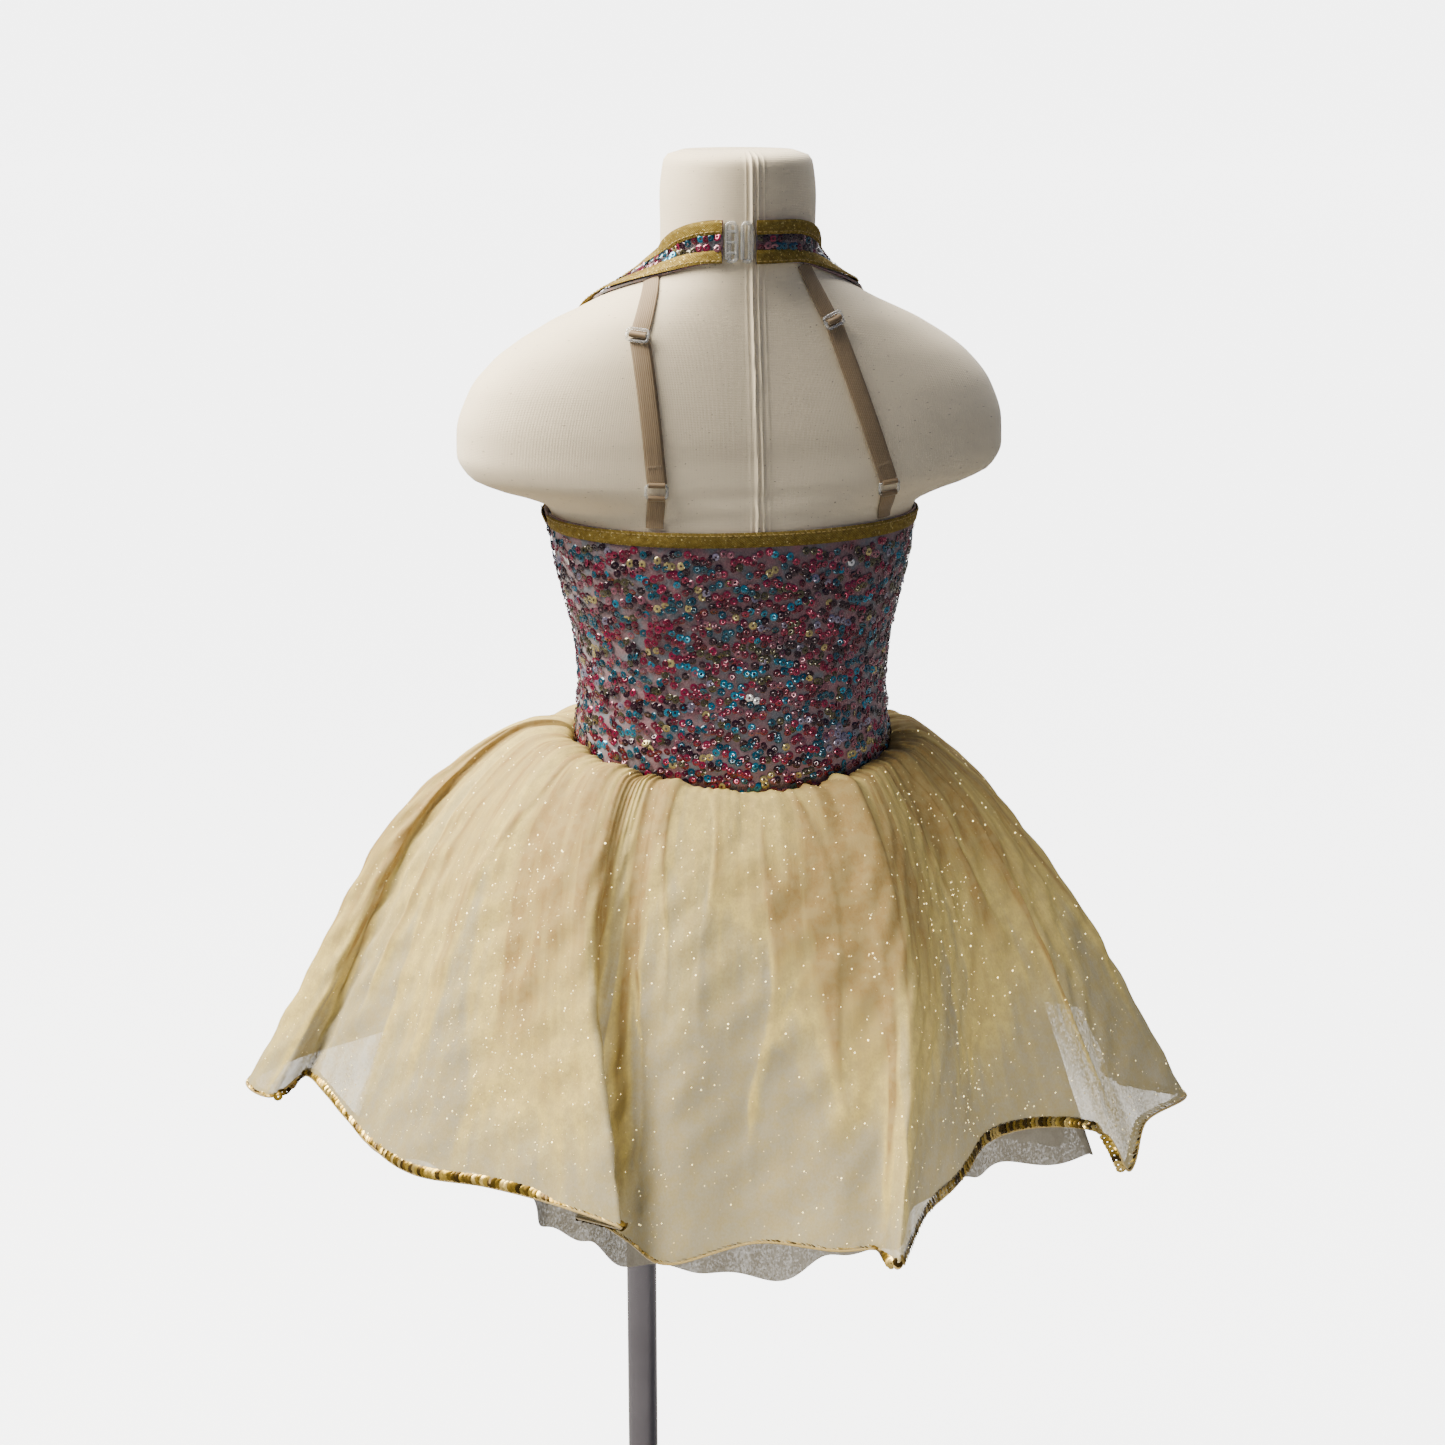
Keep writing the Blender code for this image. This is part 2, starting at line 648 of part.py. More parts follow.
def make_armhole_binding(side):
    """Makes a binding that runs along the band's lower edge and on down the armhole."""
    inset = (BAND_WIDTH - BAND_BINDING_WIDTH) / 2
    first = BAND_LEFT_END_TURN if side == "left" else BAND_RIGHT_END_TURN
    reach = 180 - BAND_FRONT_TURN - BAND_CORNER_MARGIN - first
    path = [band_offset(first + reach * i / BAND_STEPS_TO_CORNER, -inset)
            for i in range(BAND_STEPS_TO_CORNER + 1)]
    for point in reversed(ARMHOLE[1:-1]):
        half = point.half_width - BAND_BINDING_WIDTH * ARMHOLE_BINDING_INSET
        level = point.height - BAND_BINDING_WIDTH * ARMHOLE_DROP(point.height)
        path.append((turn_at(-half, level, front=True), level))
    end_turn = math.radians(ARMHOLE_BINDING_END_TURN)
    path.append((end_turn, ARMHOLE[0].height - BAND_BINDING_WIDTH / 2))
    path = smooth_path([form_point(*place) for place in path], ARMHOLE_BINDING_STEPS)
    path = [place_under(Vector(point)) for point in path]
    if side == "left":
        path = [(-turn, height) for turn, height in path]
    lift = CLOTH_CLEAR + BODICE_WALL + ARMHOLE_CLEAR
    strip(f"armhole_binding_{side}", path, BAND_BINDING_WIDTH, lift, BINDING_WALL, "gold_binding",
          folds=FRONT_FOLDS)


def make_back_binding():
    """Makes the binding along the back's top edge."""
    lift = CLOTH_CLEAR + BODICE_WALL + BINDING_CLEAR
    path = []
    for i in range(BAND_STEPS + 1):
        turn = math.radians(BACK_BINDING_END_TURN * (2 * i / BAND_STEPS - 1))
        path.append((turn, back_top(turn) - BINDING_WIDTH / 2 + SEAM_GAP))
    strip("back_binding", path, BINDING_WIDTH, lift, BINDING_WALL, "gold_binding")


def frame_piece(name, turn, height, along, size, bar, lift, thickness, finish):
    """Makes a flat frame with one window, laid on the form with its length in a direction."""
    out = form_normal(turn, height)
    along = (along - out * along.dot(out)).normalized()
    across = out.cross(along)
    middle = form_point(turn, height) + out * lift
    width, length = size
    vertices = []
    for level in (0.0, thickness):
        for inset in (0.0, bar):
            for sx, sy in ((-1, -1), (1, -1), (1, 1), (-1, 1)):
                reach_across = across * sx * (width / 2 - inset)
                reach_along = along * sy * (length / 2 - inset)
                vertices.append(middle + reach_across + reach_along + out * level)
    faces = []
    for i in range(4):
        j = (i + 1) % 4
        faces.append([i, j, 4 + j, 4 + i])
        faces.append([8 + i, 8 + j, 12 + j, 12 + i])
        faces.append([i, j, 8 + j, 8 + i])
        faces.append([4 + i, 4 + j, 12 + j, 12 + i])
    add_object(name, vertices, faces, finish, smooth=False)


def strap_run(start, end, trim_start, trim_end, count):
    """Returns the path of one run of a strap, cut short at its ends."""
    a = form_point(turn_at(start.x, start.height), start.height)
    b = form_point(turn_at(end.x, end.height), end.height)
    length = (b - a).length
    path = []
    for i in range(count + 1):
        share = trim_start / length + (1 - (trim_start + trim_end) / length) * i / count
        x = start.x + (end.x - start.x) * share
        height = start.height + (end.height - start.height) * share
        path.append((turn_at(x, height), height))
    return path


def make_strap(side):
    """Makes one elastic strap: stub, ring, doubled lower run, slider and upper run."""
    bodice, ring, slider, band = [point for point in STRAP_POINTS if point.side == side]
    half_ring = RING_LENGTH / 2 + STRAP_END_GAP
    stub = strap_run(bodice, ring, 0.0, half_ring, STRAP_STEPS_STUB)
    strip(f"strap_stub_{side}", stub, STRAP_WIDTH, STRAP_CLEAR, STRAP_WALL, "nude_elastic")
    lower = strap_run(ring, slider, half_ring, STRAP_END_GAP, STRAP_STEPS_LOWER)
    doubled = 2 * STRAP_WALL
    strip(f"strap_lower_{side}", lower, STRAP_WIDTH, STRAP_CLEAR, doubled, "nude_elastic")
    upper = strap_run(slider, band, STRAP_END_GAP, 0.0, STRAP_STEPS_UPPER)
    strip(f"strap_upper_{side}", upper, STRAP_WIDTH, STRAP_CLEAR, STRAP_WALL, "nude_elastic")
    for name, point, size, lift in (
        ("ring", ring, (SLIDER_WIDTH, RING_LENGTH), STRAP_CLEAR),
        ("slider", slider, (SLIDER_WIDTH, SLIDER_LENGTH), STRAP_CLEAR + doubled + SEAM_GAP * 2),
    ):
        turn = turn_at(point.x, point.height)
        run = stub if name == "ring" else upper
        along = form_point(*run[-1]) - form_point(*run[0])
        frame_piece(f"strap_{name}_{side}", turn, point.height, along, size, RING_BAR, lift,
                    RING_THICKNESS, "clear_plastic")


def make_clasp():
    """Makes the two halves of the nape clasp, side by side between the ends of the band."""
    turn, height = band_path((BAND_RIGHT_END_TURN - BAND_LEFT_END_TURN) / 2)
    shift = CLASP_WIDTH / 2 + SEAM_GAP / 2
    for name, sign in (("clasp_loop", -1), ("clasp_hook", 1)):
        place = walk(turn, height, Vector((sign, 0, 0)), shift)
        frame_piece(name, *place, Vector((0, 0, 1)), (CLASP_WIDTH - SEAM_GAP, CLASP_LENGTH),
                    CLASP_BAR, CLOTH_CLEAR, CLASP_THICKNESS, "clear_plastic")


class SkirtLayer:
    """A gathered skirt layer: folds that fan out from the seam to a waved hem."""

    def __init__(self, folds, seam_lift, seam_drop, columns, levels, puff=0.0, ruffle=0.0):
        self.folds = folds
        self.levels = levels
        self.puff = puff
        self.seam_lift = seam_lift
        self.seam_drop = seam_drop
        self.ruffle = ruffle
        self.out = smooth_curve([(i, row.out) for i, row in enumerate(BELL)])
        self.down = smooth_curve([(i, row.down) for i, row in enumerate(BELL)])
        self.fan = smooth_curve([(i, row.fan) for i, row in enumerate(BELL)])
        self.lean = smooth_curve([(i, row.lean) for i, row in enumerate(BELL)])
        self.columns = [self.fold_at(i * len(folds) / columns) for i in range(columns)]

    def fold_at(self, place):
        """Returns seam turn, hem x, hem y and hem height at a place along the row of folds."""
        index = int(place)
        four = [self.corner(index + step) for step in (-1, 0, 1, 2)]
        return spline_point(four, place - index)

    def corner(self, index):
        """Returns a fold's numbers, the seam turn growing by a full circle each time round."""
        laps, index = divmod(index, len(self.folds))
        fold = self.folds[index]
        turn = math.radians(fold.hem_turn)
        x, y = -fold.radius * math.sin(turn), fold.radius * math.cos(turn)
        return fold.seam_turn + 360 * laps, x, y, fold.height

    def point(self, column, level):
        """Returns the cloth's middle at a column and a level of the bell."""
        seam_degrees, hem_x, hem_y, hem_height = self.columns[column]
        seam_turn = math.radians(seam_degrees)
        edge = bodice_hem(seam_turn)
        seam = lifted(seam_turn, edge, self.seam_lift)
        seam.z = edge - self.seam_drop
        out, down, fan = self.out(level), self.down(level), self.fan(level)
        seam_angle = math.atan2(-seam.x, seam.y)
        swing = math.atan2(-hem_x, hem_y) - seam_angle
        swing = (swing + math.pi) % (2 * math.pi) - math.pi
        angle = seam_angle + swing * fan
        out -= self.lean(level) * math.sin(angle)
        radius = seam.xy.length + (math.hypot(hem_x, hem_y) - seam.xy.length) * out
        height = seam.z + (hem_height - seam.z) * down
        rise = math.sin(math.pi * min(level / PUFF_LEVELS, 1.0))
        side = math.sin(seam_turn)
        side_share = (1 - PUFF_BACK_SHARE) * abs(side) - PUFF_RIGHT_DROP * max(side, 0.0)
        height += self.puff * rise * (PUFF_BACK_SHARE + side_share)
        wave = math.sin(2 * math.pi * NET_RUFFLES * column / len(self.columns))
        radius += self.ruffle * out * wave
        return Vector((-radius * math.sin(angle), radius * math.cos(angle), height))

    def grid(self, levels):
        """Returns the cloth's middle points and their outward directions, in rows."""
        middle = [[self.point(column, level) for column in range(len(self.columns))] for level in levels]
        outward = []
        for row, points in enumerate(middle):
            above = middle[max(row - 1, 0)]
            below = middle[min(row + 1, len(middle) - 1)]
            line = []
            for column in range(len(points)):
                ahead = points[(column + 1) % len(points)] - points[column - 1]
                line.append((below[column] - above[column]).cross(ahead).normalized())
            outward.append(line)
        return middle, outward


def make_layer(name, layer, thickness, gathers, finish):
    """Makes a skirt layer as a wall, with fine gathers that fade away from the seam."""
    middle, outward = layer.grid(layer.levels)
    outer, inner = [], []
    for row, (points, directions) in enumerate(zip(middle, outward)):
        fade = gathers * math.exp(-((row - 1) / GATHER_SPREAD) ** 2) if row else 0.0
        outer_row, inner_row = [], []
        for column, (point, direction) in enumerate(zip(points, directions)):
            pitch = (points[(column + 1) % len(points)] - points[column - 1]).length / 2
            shift = min(fade, pitch * GATHER_STEEPEST) * (1 if column % 2 else -1)
            outer_row.append(point + direction * (shift + thickness / 2))
            inner_row.append(point + direction * (shift - thickness / 2))
        outer.append(outer_row)
        inner.append(inner_row)
    wall(name, outer, inner, finish, closed=True)


def make_hem_trim(layer):
    """Makes the braid that lies on the outer skirt along its hem."""
    middle, outward = layer.grid(layer.levels)
    low, above = middle[-1], middle[-2]
    directions = outward[-1]
    gap = TULLE_WALL / 2 + SEAM_GAP
    outer, inner = [[], []], [[], []]
    for point, upper, direction in zip(low, above, directions):
        rising = (upper - point).normalized()
        for row, distance in enumerate((0.0, TRIM_WIDTH)):
            place = point + rising * distance
            inner[row].append(place + direction * gap)
            outer[row].append(place + direction * (gap + TRIM_WALL))
    wall("hem_trim", outer, inner, "sequin_trim", closed=True)


def make_skirt():
    """Makes the outer skirt, its trim and the two net layers under it."""
    outer = SkirtLayer(OUTER_FOLDS, OUTER_SEAM_LIFT, SEAM_GAP * 3,
                       len(OUTER_FOLDS) * COLUMNS_PER_FOLD, range(len(BELL)), PUFF_RISE)
    make_layer("skirt_tulle", outer, TULLE_WALL, GATHER_SIZE, "gold_tulle")
    make_hem_trim(outer)
    long_net = SkirtLayer(LONG_NET_FOLDS, NET_SEAM_LIFT, NET_SEAM_DROP, NET_COLUMNS, NET_LEVELS,
                          ruffle=NET_RUFFLE)
    make_layer("net_long", long_net, NET_WALL, 0.0, "ivory_net")
    short_folds = [fold._replace(radius=fold.radius - SHORT_NET_SHRINK,
                                 height=fold.height + SHORT_NET_RISE) for fold in LONG_NET_FOLDS]
    short_net = SkirtLayer(short_folds, NET_SEAM_LIFT, 2 * NET_SEAM_DROP, NET_COLUMNS,
                           NET_LEVELS, ruffle=NET_RUFFLE)
    make_layer("net_short", short_net, NET_WALL, 0.0, "ivory_net")


def make_form():
    """Makes the limbless form: a closed loft through its level sections."""
    levels = []
    for low, high in zip(FORM_SECTIONS, FORM_SECTIONS[1:]):
        step = NECK_ROW_STEP if low.name in NECK_SECTIONS else FORM_ROW_STEP
        count = max(1, round((high.height - low.height) / step))
        levels += [low.height + (high.height - low.height) * i / count for i in range(count)]
    levels.append(FORM_SECTIONS[-1].height)
    vertices = [form_point(2 * math.pi * column / FORM_COLUMNS, level)
                for level in levels for column in range(FORM_COLUMNS)]
    faces = []
    for row in range(len(levels) - 1):
        for column in range(FORM_COLUMNS):
            ahead = (column + 1) % FORM_COLUMNS
            faces.append([row * FORM_COLUMNS + column, row * FORM_COLUMNS + ahead,
                          (row + 1) * FORM_COLUMNS + ahead, (row + 1) * FORM_COLUMNS + column])
    last = (len(levels) - 1) * FORM_COLUMNS
    faces.append(list(range(FORM_COLUMNS)))
    faces.append([last + column for column in range(FORM_COLUMNS)])
    add_object("form_body", vertices, faces, "linen")


def turned(name, profile, x, finish, solid):
    """Turns a profile of (radius, height) points round the upright line at x."""
    vertices = []
    for radius, height in profile:
        for side in range(ROUND_SIDES):
            angle = 2 * math.pi * side / ROUND_SIDES
            vertices.append((radius * math.cos(angle), radius * math.sin(angle), height))
    faces = []
    count = len(profile)
    for row in range(count - 1 if solid else count):
        for side in range(ROUND_SIDES):
            ahead = (side + 1) % ROUND_SIDES
            above = (row + 1) % count
            faces.append([row * ROUND_SIDES + side, row * ROUND_SIDES + ahead,
                          above * ROUND_SIDES + ahead, above * ROUND_SIDES + side])
    if solid:
        faces.append(list(range(ROUND_SIDES)))
        faces.append([(count - 1) * ROUND_SIDES + side for side in range(ROUND_SIDES)])
    add_object(name, vertices, faces, finish, x=x)


def ring_profile(inner, outer, low, high):
    """Returns the profile of a plain ring."""
    return [(inner, low), (outer, low), (outer, high), (inner, high)]


def make_stand():
    """Makes the round base, the collar on it, the pole and the flange under the form."""
    edge = BASE_RADIUS - BASE_EDGE_ROUND
    shoulder = BASE_THICKNESS - BASE_EDGE_ROUND
    profile = [(BASE_RADIUS, 0.0), (BASE_RADIUS, shoulder)]
    for step in range(1, BASE_EDGE_STEPS + 1):
        angle = math.pi / 2 * step / BASE_EDGE_STEPS
        profile.append((edge + BASE_EDGE_ROUND * math.cos(angle),
                        shoulder + BASE_EDGE_ROUND * math.sin(angle)))
    turned("base_plate", profile, POLE_X, "base_metal", solid=True)
    inner = POLE_RADIUS + SEAM_GAP
    low = BASE_THICKNESS + SEAM_GAP
    turned("base_collar", ring_profile(inner, COLLAR_RADIUS, low, low + COLLAR_HEIGHT), POLE_X,
           "chrome", solid=False)
    form_bottom = FORM_SECTIONS[0].height - SEAM_GAP
    turned("pole", [(POLE_RADIUS, low), (POLE_RADIUS, form_bottom)], POLE_X, "chrome", solid=True)
    turned("form_flange", ring_profile(inner, FLANGE_RADIUS, form_bottom - FLANGE_HEIGHT, form_bottom),
           POLE_X, "chrome", solid=False)


def main():
    """Clears the scene and makes every piece."""
    for old in list(bpy.data.objects):
        bpy.data.objects.remove(old, do_unlink=True)
    make_form()
    make_stand()
    make_bodice_back()
    make_bodice_front()
    make_neck_band()
    make_back_binding()
    make_clasp()
    for side in ("left", "right"):
        make_armhole_binding(side)
        make_strap(side)
    make_skirt()


if __name__ == "__main__":
    main()
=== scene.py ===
"""Looks of a child's halter dance dress with a gathered tulle skirt, worn by a limbless dress form.

Metres, +Z up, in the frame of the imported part. The floor is z = 0 and the wearer's back faces +Y.
A turn round the body is in radians from the centre back, and it grows towards -X.
"""

import logging
import math
from dataclasses import dataclass, field
from enum import Enum
from typing import NamedTuple, Sequence

import bmesh
import bpy
import numpy as np
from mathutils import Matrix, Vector


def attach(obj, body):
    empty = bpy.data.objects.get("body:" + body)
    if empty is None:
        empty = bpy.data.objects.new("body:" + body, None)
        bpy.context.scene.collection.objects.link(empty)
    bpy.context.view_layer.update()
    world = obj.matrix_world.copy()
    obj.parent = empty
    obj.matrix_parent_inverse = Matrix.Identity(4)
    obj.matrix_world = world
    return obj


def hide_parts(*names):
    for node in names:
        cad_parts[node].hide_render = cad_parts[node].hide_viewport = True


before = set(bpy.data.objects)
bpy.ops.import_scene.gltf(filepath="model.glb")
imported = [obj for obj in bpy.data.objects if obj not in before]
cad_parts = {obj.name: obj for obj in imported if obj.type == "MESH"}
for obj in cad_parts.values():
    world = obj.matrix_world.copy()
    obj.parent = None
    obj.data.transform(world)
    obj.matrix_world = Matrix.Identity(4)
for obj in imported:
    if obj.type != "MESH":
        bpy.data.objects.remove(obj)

Array = np.ndarray
Colour = tuple[float, float, float]
# The turns and heights of a line on the form
Path = tuple[np.ndarray, np.ndarray]
Object = bpy.types.Object
Mesh = bpy.types.Mesh
Material = bpy.types.Material
Socket = bpy.types.NodeSocket
LOG = logging.getLogger("dress")
BODY = "root"
# A small step for slopes, and the longest step of a walk over the form
NUDGE = 1e-4
WALK_STEP = 0.003
UP = np.array((0.0, 0.0, 1.0))


class Held(Enum):
    """How a sheet of cloth is held."""

    STRETCHED = "stretched"
    GATHERED = "gathered"


class Slot(Enum):
    """The record's material slots."""

    SEQUIN_MESH = "sequin_mesh"
    GOLD_BINDING = "gold_binding"
    GOLD_TULLE = "gold_tulle"
    IVORY_NET = "ivory_net"
    SEQUIN_TRIM = "sequin_trim"
    NUDE_ELASTIC = "nude_elastic"
    CLEAR_PLASTIC = "clear_plastic"
    LINEN = "linen"
    CHROME = "chrome"
    BASE_METAL = "base_metal"


# Numbers and curves


class SmoothCurve:
    """A curve through points that never overshoots them."""

    def __init__(self, points: Sequence[tuple[float, float]]) -> None:
        """Works out the slopes.

        Args:
            points: Places and values, in order of place.
        """
        self.places = np.array([point[0] for point in points], float)
        self.values = np.array([point[1] for point in points], float)
        slopes = np.diff(self.values) / np.diff(self.places)
        before, after = slopes[:-1], slopes[1:]
        same_way = before * after > 0
        total = np.where(same_way, before + after, 1.0)
        middle = np.where(same_way, 2 * before * after / total, 0.0)
        self.tangents = np.concatenate((slopes[:1], middle, slopes[-1:]))

    def __call__(self, place: Array | float) -> Array:
        """Reads the curve.

        Args:
            place: Places, held within the curve's ends.

        Returns:
            The values there.
        """
        place = np.clip(place, self.places[0], self.places[-1])
        index = np.clip(np.searchsorted(self.places, place) - 1, 0, len(self.places) - 2)
        step = self.places[index + 1] - self.places[index]
        t = (place - self.places[index]) / step
        start = (1 + 2 * t) * (1 - t) ** 2 * self.values[index]
        start = start + t * (1 - t) ** 2 * step * self.tangents[index]
        end = t * t * (3 - 2 * t) * self.values[index + 1]
        return start + end + t * t * (t - 1) * step * self.tangents[index + 1]


def signed_power(value: Array, power: Array) -> Array:
    """Raises sizes to a power and keeps their signs."""
    return np.sign(value) * np.abs(value) ** power


def unit(vectors: Array) -> Array:
    """Returns vectors at length one."""
    return vectors / np.maximum(np.linalg.norm(vectors, axis=-1, keepdims=True), 1e-12)


def wrapped(value: Array, total: float) -> Array:
    """Returns differences round a closed length, taken the shorter way."""
    return (value + total / 2) % total - total / 2


def ring_mean(values: Array, kernel: Array) -> Array:
    """Returns running means of rows that close on themselves, weighted by a kernel."""
    width = len(kernel)
    padded = np.concatenate((values[:, -width:], values, values[:, :width]), axis=1)
    return np.stack([np.convolve(row, kernel / kernel.sum(), mode="same") for row in padded])[:, width:-width]


def soft_step(value: Array, low: float, high: float) -> Array:
    """Returns a smooth rise from 0 at low to 1 at high."""
    t = np.clip((value - low) / (high - low), 0, 1)
    return t * t * (3 - 2 * t)


def spline(rows: Array, places: Array, closed: bool) -> Array:
    """Reads a smooth curve through rows of numbers.

    Args:
        rows: One row of numbers for each knot.
        places: Where to read, in knots from the first.
        closed: Whether the row after the last is the first.

    Returns:
        One row of numbers for each place.
    """
    count = len(rows)
    index = np.floor(places).astype(int)
    t = (places - index)[:, None]

    def knot(step: int) -> Array:
        """Returns the knots a number of steps on, past the ends too."""
        at = index + step
        if closed:
            return rows[at % count]
        inside = rows[np.clip(at, 0, count - 1)]
        low = (at < 0)[:, None] * (rows[0] - rows[1])
        high = (at > count - 1)[:, None] * (rows[-1] - rows[-2])
        return inside + low + high

    a, b, c, d = knot(-1), knot(0), knot(1), knot(2)
    cubic = (3 * b - a - 3 * c + d) * t ** 3
    return 0.5 * (2 * b + (c - a) * t + (2 * a - 5 * b + 4 * c - d) * t * t + cubic)


class Ripple:
    """A repeatable wavy function of one or two numbers, made of a few sines."""

    def __init__(self, seed: int, lengths: Sequence[float], closed_over: float = 0.0) -> None:
        """Draws the sines.

        Args:
            seed: Fixes the drawing.
            lengths: Wavelengths, one for each sine.
            closed_over: Where given, each sine fits a whole number of times into this length.
        """
        draw = np.random.default_rng(seed)
        self.waves = []
        for length in lengths:
            repeats = 1 / length
            if closed_over:
                repeats = max(1, round(closed_over / length)) / closed_over
            self.waves.append((repeats, draw.uniform(-0.6, 0.6) / length, draw.uniform(0, 2 * math.pi)))

    def __call__(self, first: Array, second: Array | float = 0.0) -> Array:
        """Reads the ripple.

        Args:
            first: The number along which it repeats.
            second: The number that shifts it.

        Returns:
            Values from about -1 to 1.
        """
        total = 0.0
        for repeats, drift, phase in self.waves:
            total = total + np.sin(2 * math.pi * (first * repeats + second * drift) + phase)
        return total / len(self.waves) ** 0.5


# Meshes


def grid_quads(rows: int, columns: int, closed: bool) -> Array:
    """Returns the corners of a grid's faces, as indices row by row.

    Args:
        rows: How many rows of points.
        columns: How many points in a row.
        closed: Whether each row closes on itself.

    Returns:
        Four indices for each face.
    """
    row, column = np.meshgrid(np.arange(rows - 1), np.arange(columns if closed else columns - 1), indexing="ij")
    ahead = (column + 1) % columns
    corners = (row * columns + column, row * columns + ahead,
               (row + 1) * columns + ahead, (row + 1) * columns + column)
    return np.stack(corners, axis=-1).reshape(-1, 4)


def new_object(name: str, mesh: Mesh, material: Material | None) -> Object:
    """Puts a mesh into the scene under a name, with a material.

    Args:
        name: The name.
        mesh: The mesh.
        material: Its finish, if it has one.

    Returns:
        The object.
    """
    mesh.name = name
    if material:
        mesh.materials.clear()
        mesh.materials.append(material)
    piece = bpy.data.objects.new(name, mesh)
    bpy.context.scene.collection.objects.link(piece)
    return piece


def set_attribute(mesh: Mesh, name: str, values: Array) -> None:
    """Stores a number, a direction or a colour on each of a mesh's points.

    Args:
        mesh: The mesh.
        name: The name it is stored under.
        values: One row for each point.
    """
    width = 1 if values.ndim == 1 else values.shape[-1]
    kind = {1: "FLOAT", 3: "FLOAT_VECTOR", 4: "FLOAT_COLOR"}[width]
    key = {1: "value", 3: "vector", 4: "color"}[width]
    made = mesh.attributes.new(name, kind, "POINT")
    made.data.foreach_set(key, np.ascontiguousarray(values, np.float32).ravel())


def plain_mesh(name: str, points: list, faces: list) -> Mesh:
    """Makes a mesh from points and faces."""
    mesh = bpy.data.meshes.new(name)
    mesh.from_pydata(points, [], faces)
    return mesh


def write_map(mesh: Mesh, mapped: Array) -> None:
    """Stores a mesh's map: two lengths in metres for each corner of its faces."""
    mesh.uv_layers.new(name="cloth").uv.foreach_set("vector", mapped.astype(np.float32).ravel())


def corner_points(mesh: Mesh) -> Array:
    """Returns the index of the point at each corner of a mesh's faces."""
    corners = np.zeros(len(mesh.loops), int)
    mesh.loops.foreach_get("vertex_index", corners)
    return corners


def distances(points: Array) -> Array:
    """Returns how far along a line each of its points lies."""
    return np.concatenate(([0.0], np.cumsum(np.linalg.norm(np.diff(points, axis=0), axis=1))))


def read_line(values: Array, length: Array, places: Array) -> Array:
    """Reads rows of three numbers, stored along a line, at other places on it."""
    return np.stack([np.interp(places, length, values[:, axis]) for axis in range(3)], axis=-1)


def sheet_mesh(name: str, points: Array, material: Material, closed: bool = False,
               across: Array | None = None, attributes: dict[str, Array] | None = None) -> Object:
    """Makes a thin shell from a grid of points, with a map in metres and its faces pointing out.

    Args:
        name: The piece's name.
        points: The points, by row and column.
        material: Its finish.
        closed: Whether each row closes on itself.
        across: The map's first number for each column, and for the first column come round again.
        attributes: Numbers to store on each point, by name.

    Returns:
        The piece.
    """
    rows, columns = points.shape[:2]
    quads = grid_quads(rows, columns, closed)
    flat = points.reshape(-1, 3)
    corner = flat[quads]
    facing = np.cross(corner[:, 2] - corner[:, 0], corner[:, 3] - corner[:, 1])
    outward = corner.mean(axis=1) * (1, 1, 0)
    if (facing * outward).sum() < 0:
        quads = quads[:, ::-1]
    mesh = plain_mesh(name, flat.tolist(), quads.tolist())
    mesh.shade_smooth()
    if across is not None:
        down = np.concatenate(([0.0], np.cumsum(np.linalg.norm(np.diff(points, axis=0), axis=-1).mean(axis=1))))
        row, column = np.divmod(quads, columns)
        wraps = (column == 0) & (column.max(axis=1, keepdims=True) == columns - 1) & closed
        column = np.where(wraps, columns, column)
        write_map(mesh, np.stack((across[column], down[row]), axis=-1))
    for key, values in (attributes or {}).items():
        set_attribute(mesh, key, values.reshape(len(flat), -1).squeeze())
    return new_object(name, mesh, material)


def closed_mesh(name: str, vertices: Array, faces: list, material: Material,
                sharp_degrees: float = 40.0) -> Object:
    """Makes a closed piece from points and faces, with its faces pointing out.

    Args:
        name: The piece's name.
        vertices: Its points.
        faces: Its faces, as lists of indices.
        material: Its finish.
        sharp_degrees: Edges that turn by more than this stay sharp.

    Returns:
        The piece.
    """
    mesh = plain_mesh(name, vertices.tolist(), faces)
    work = bmesh.new()
    work.from_mesh(mesh)
    bmesh.ops.recalc_face_normals(work, faces=work.faces)
    work.to_mesh(mesh)
    work.free()
    mesh.shade_smooth()
    mesh.set_sharp_from_angle(angle=math.radians(sharp_degrees))
    return new_object(name, mesh, material)


def wall_faces(rows: int, columns: int, closed: bool) -> list:
    """Returns the faces of a wall whose outer grid of points is followed by its inner one.

    Args:
        rows: How many rows of points.
        columns: How many points in a row.
        closed: Whether each row closes on itself.

    Returns:
        Faces as lists of indices.
    """
    outer = grid_quads(rows, columns, closed)
    total = rows * columns
    rims = [(row * columns + column, row * columns + (column + 1) % columns)
            for row in (0, rows - 1) for column in range(columns if closed else columns - 1)]
    if not closed:
        rims += [(row * columns + column, (row + 1) * columns + column)
                 for column in (0, columns - 1) for row in range(rows - 1)]
    return outer.tolist() + (outer[:, ::-1] + total).tolist() + [[a, b, total + b, total + a] for a, b in rims]


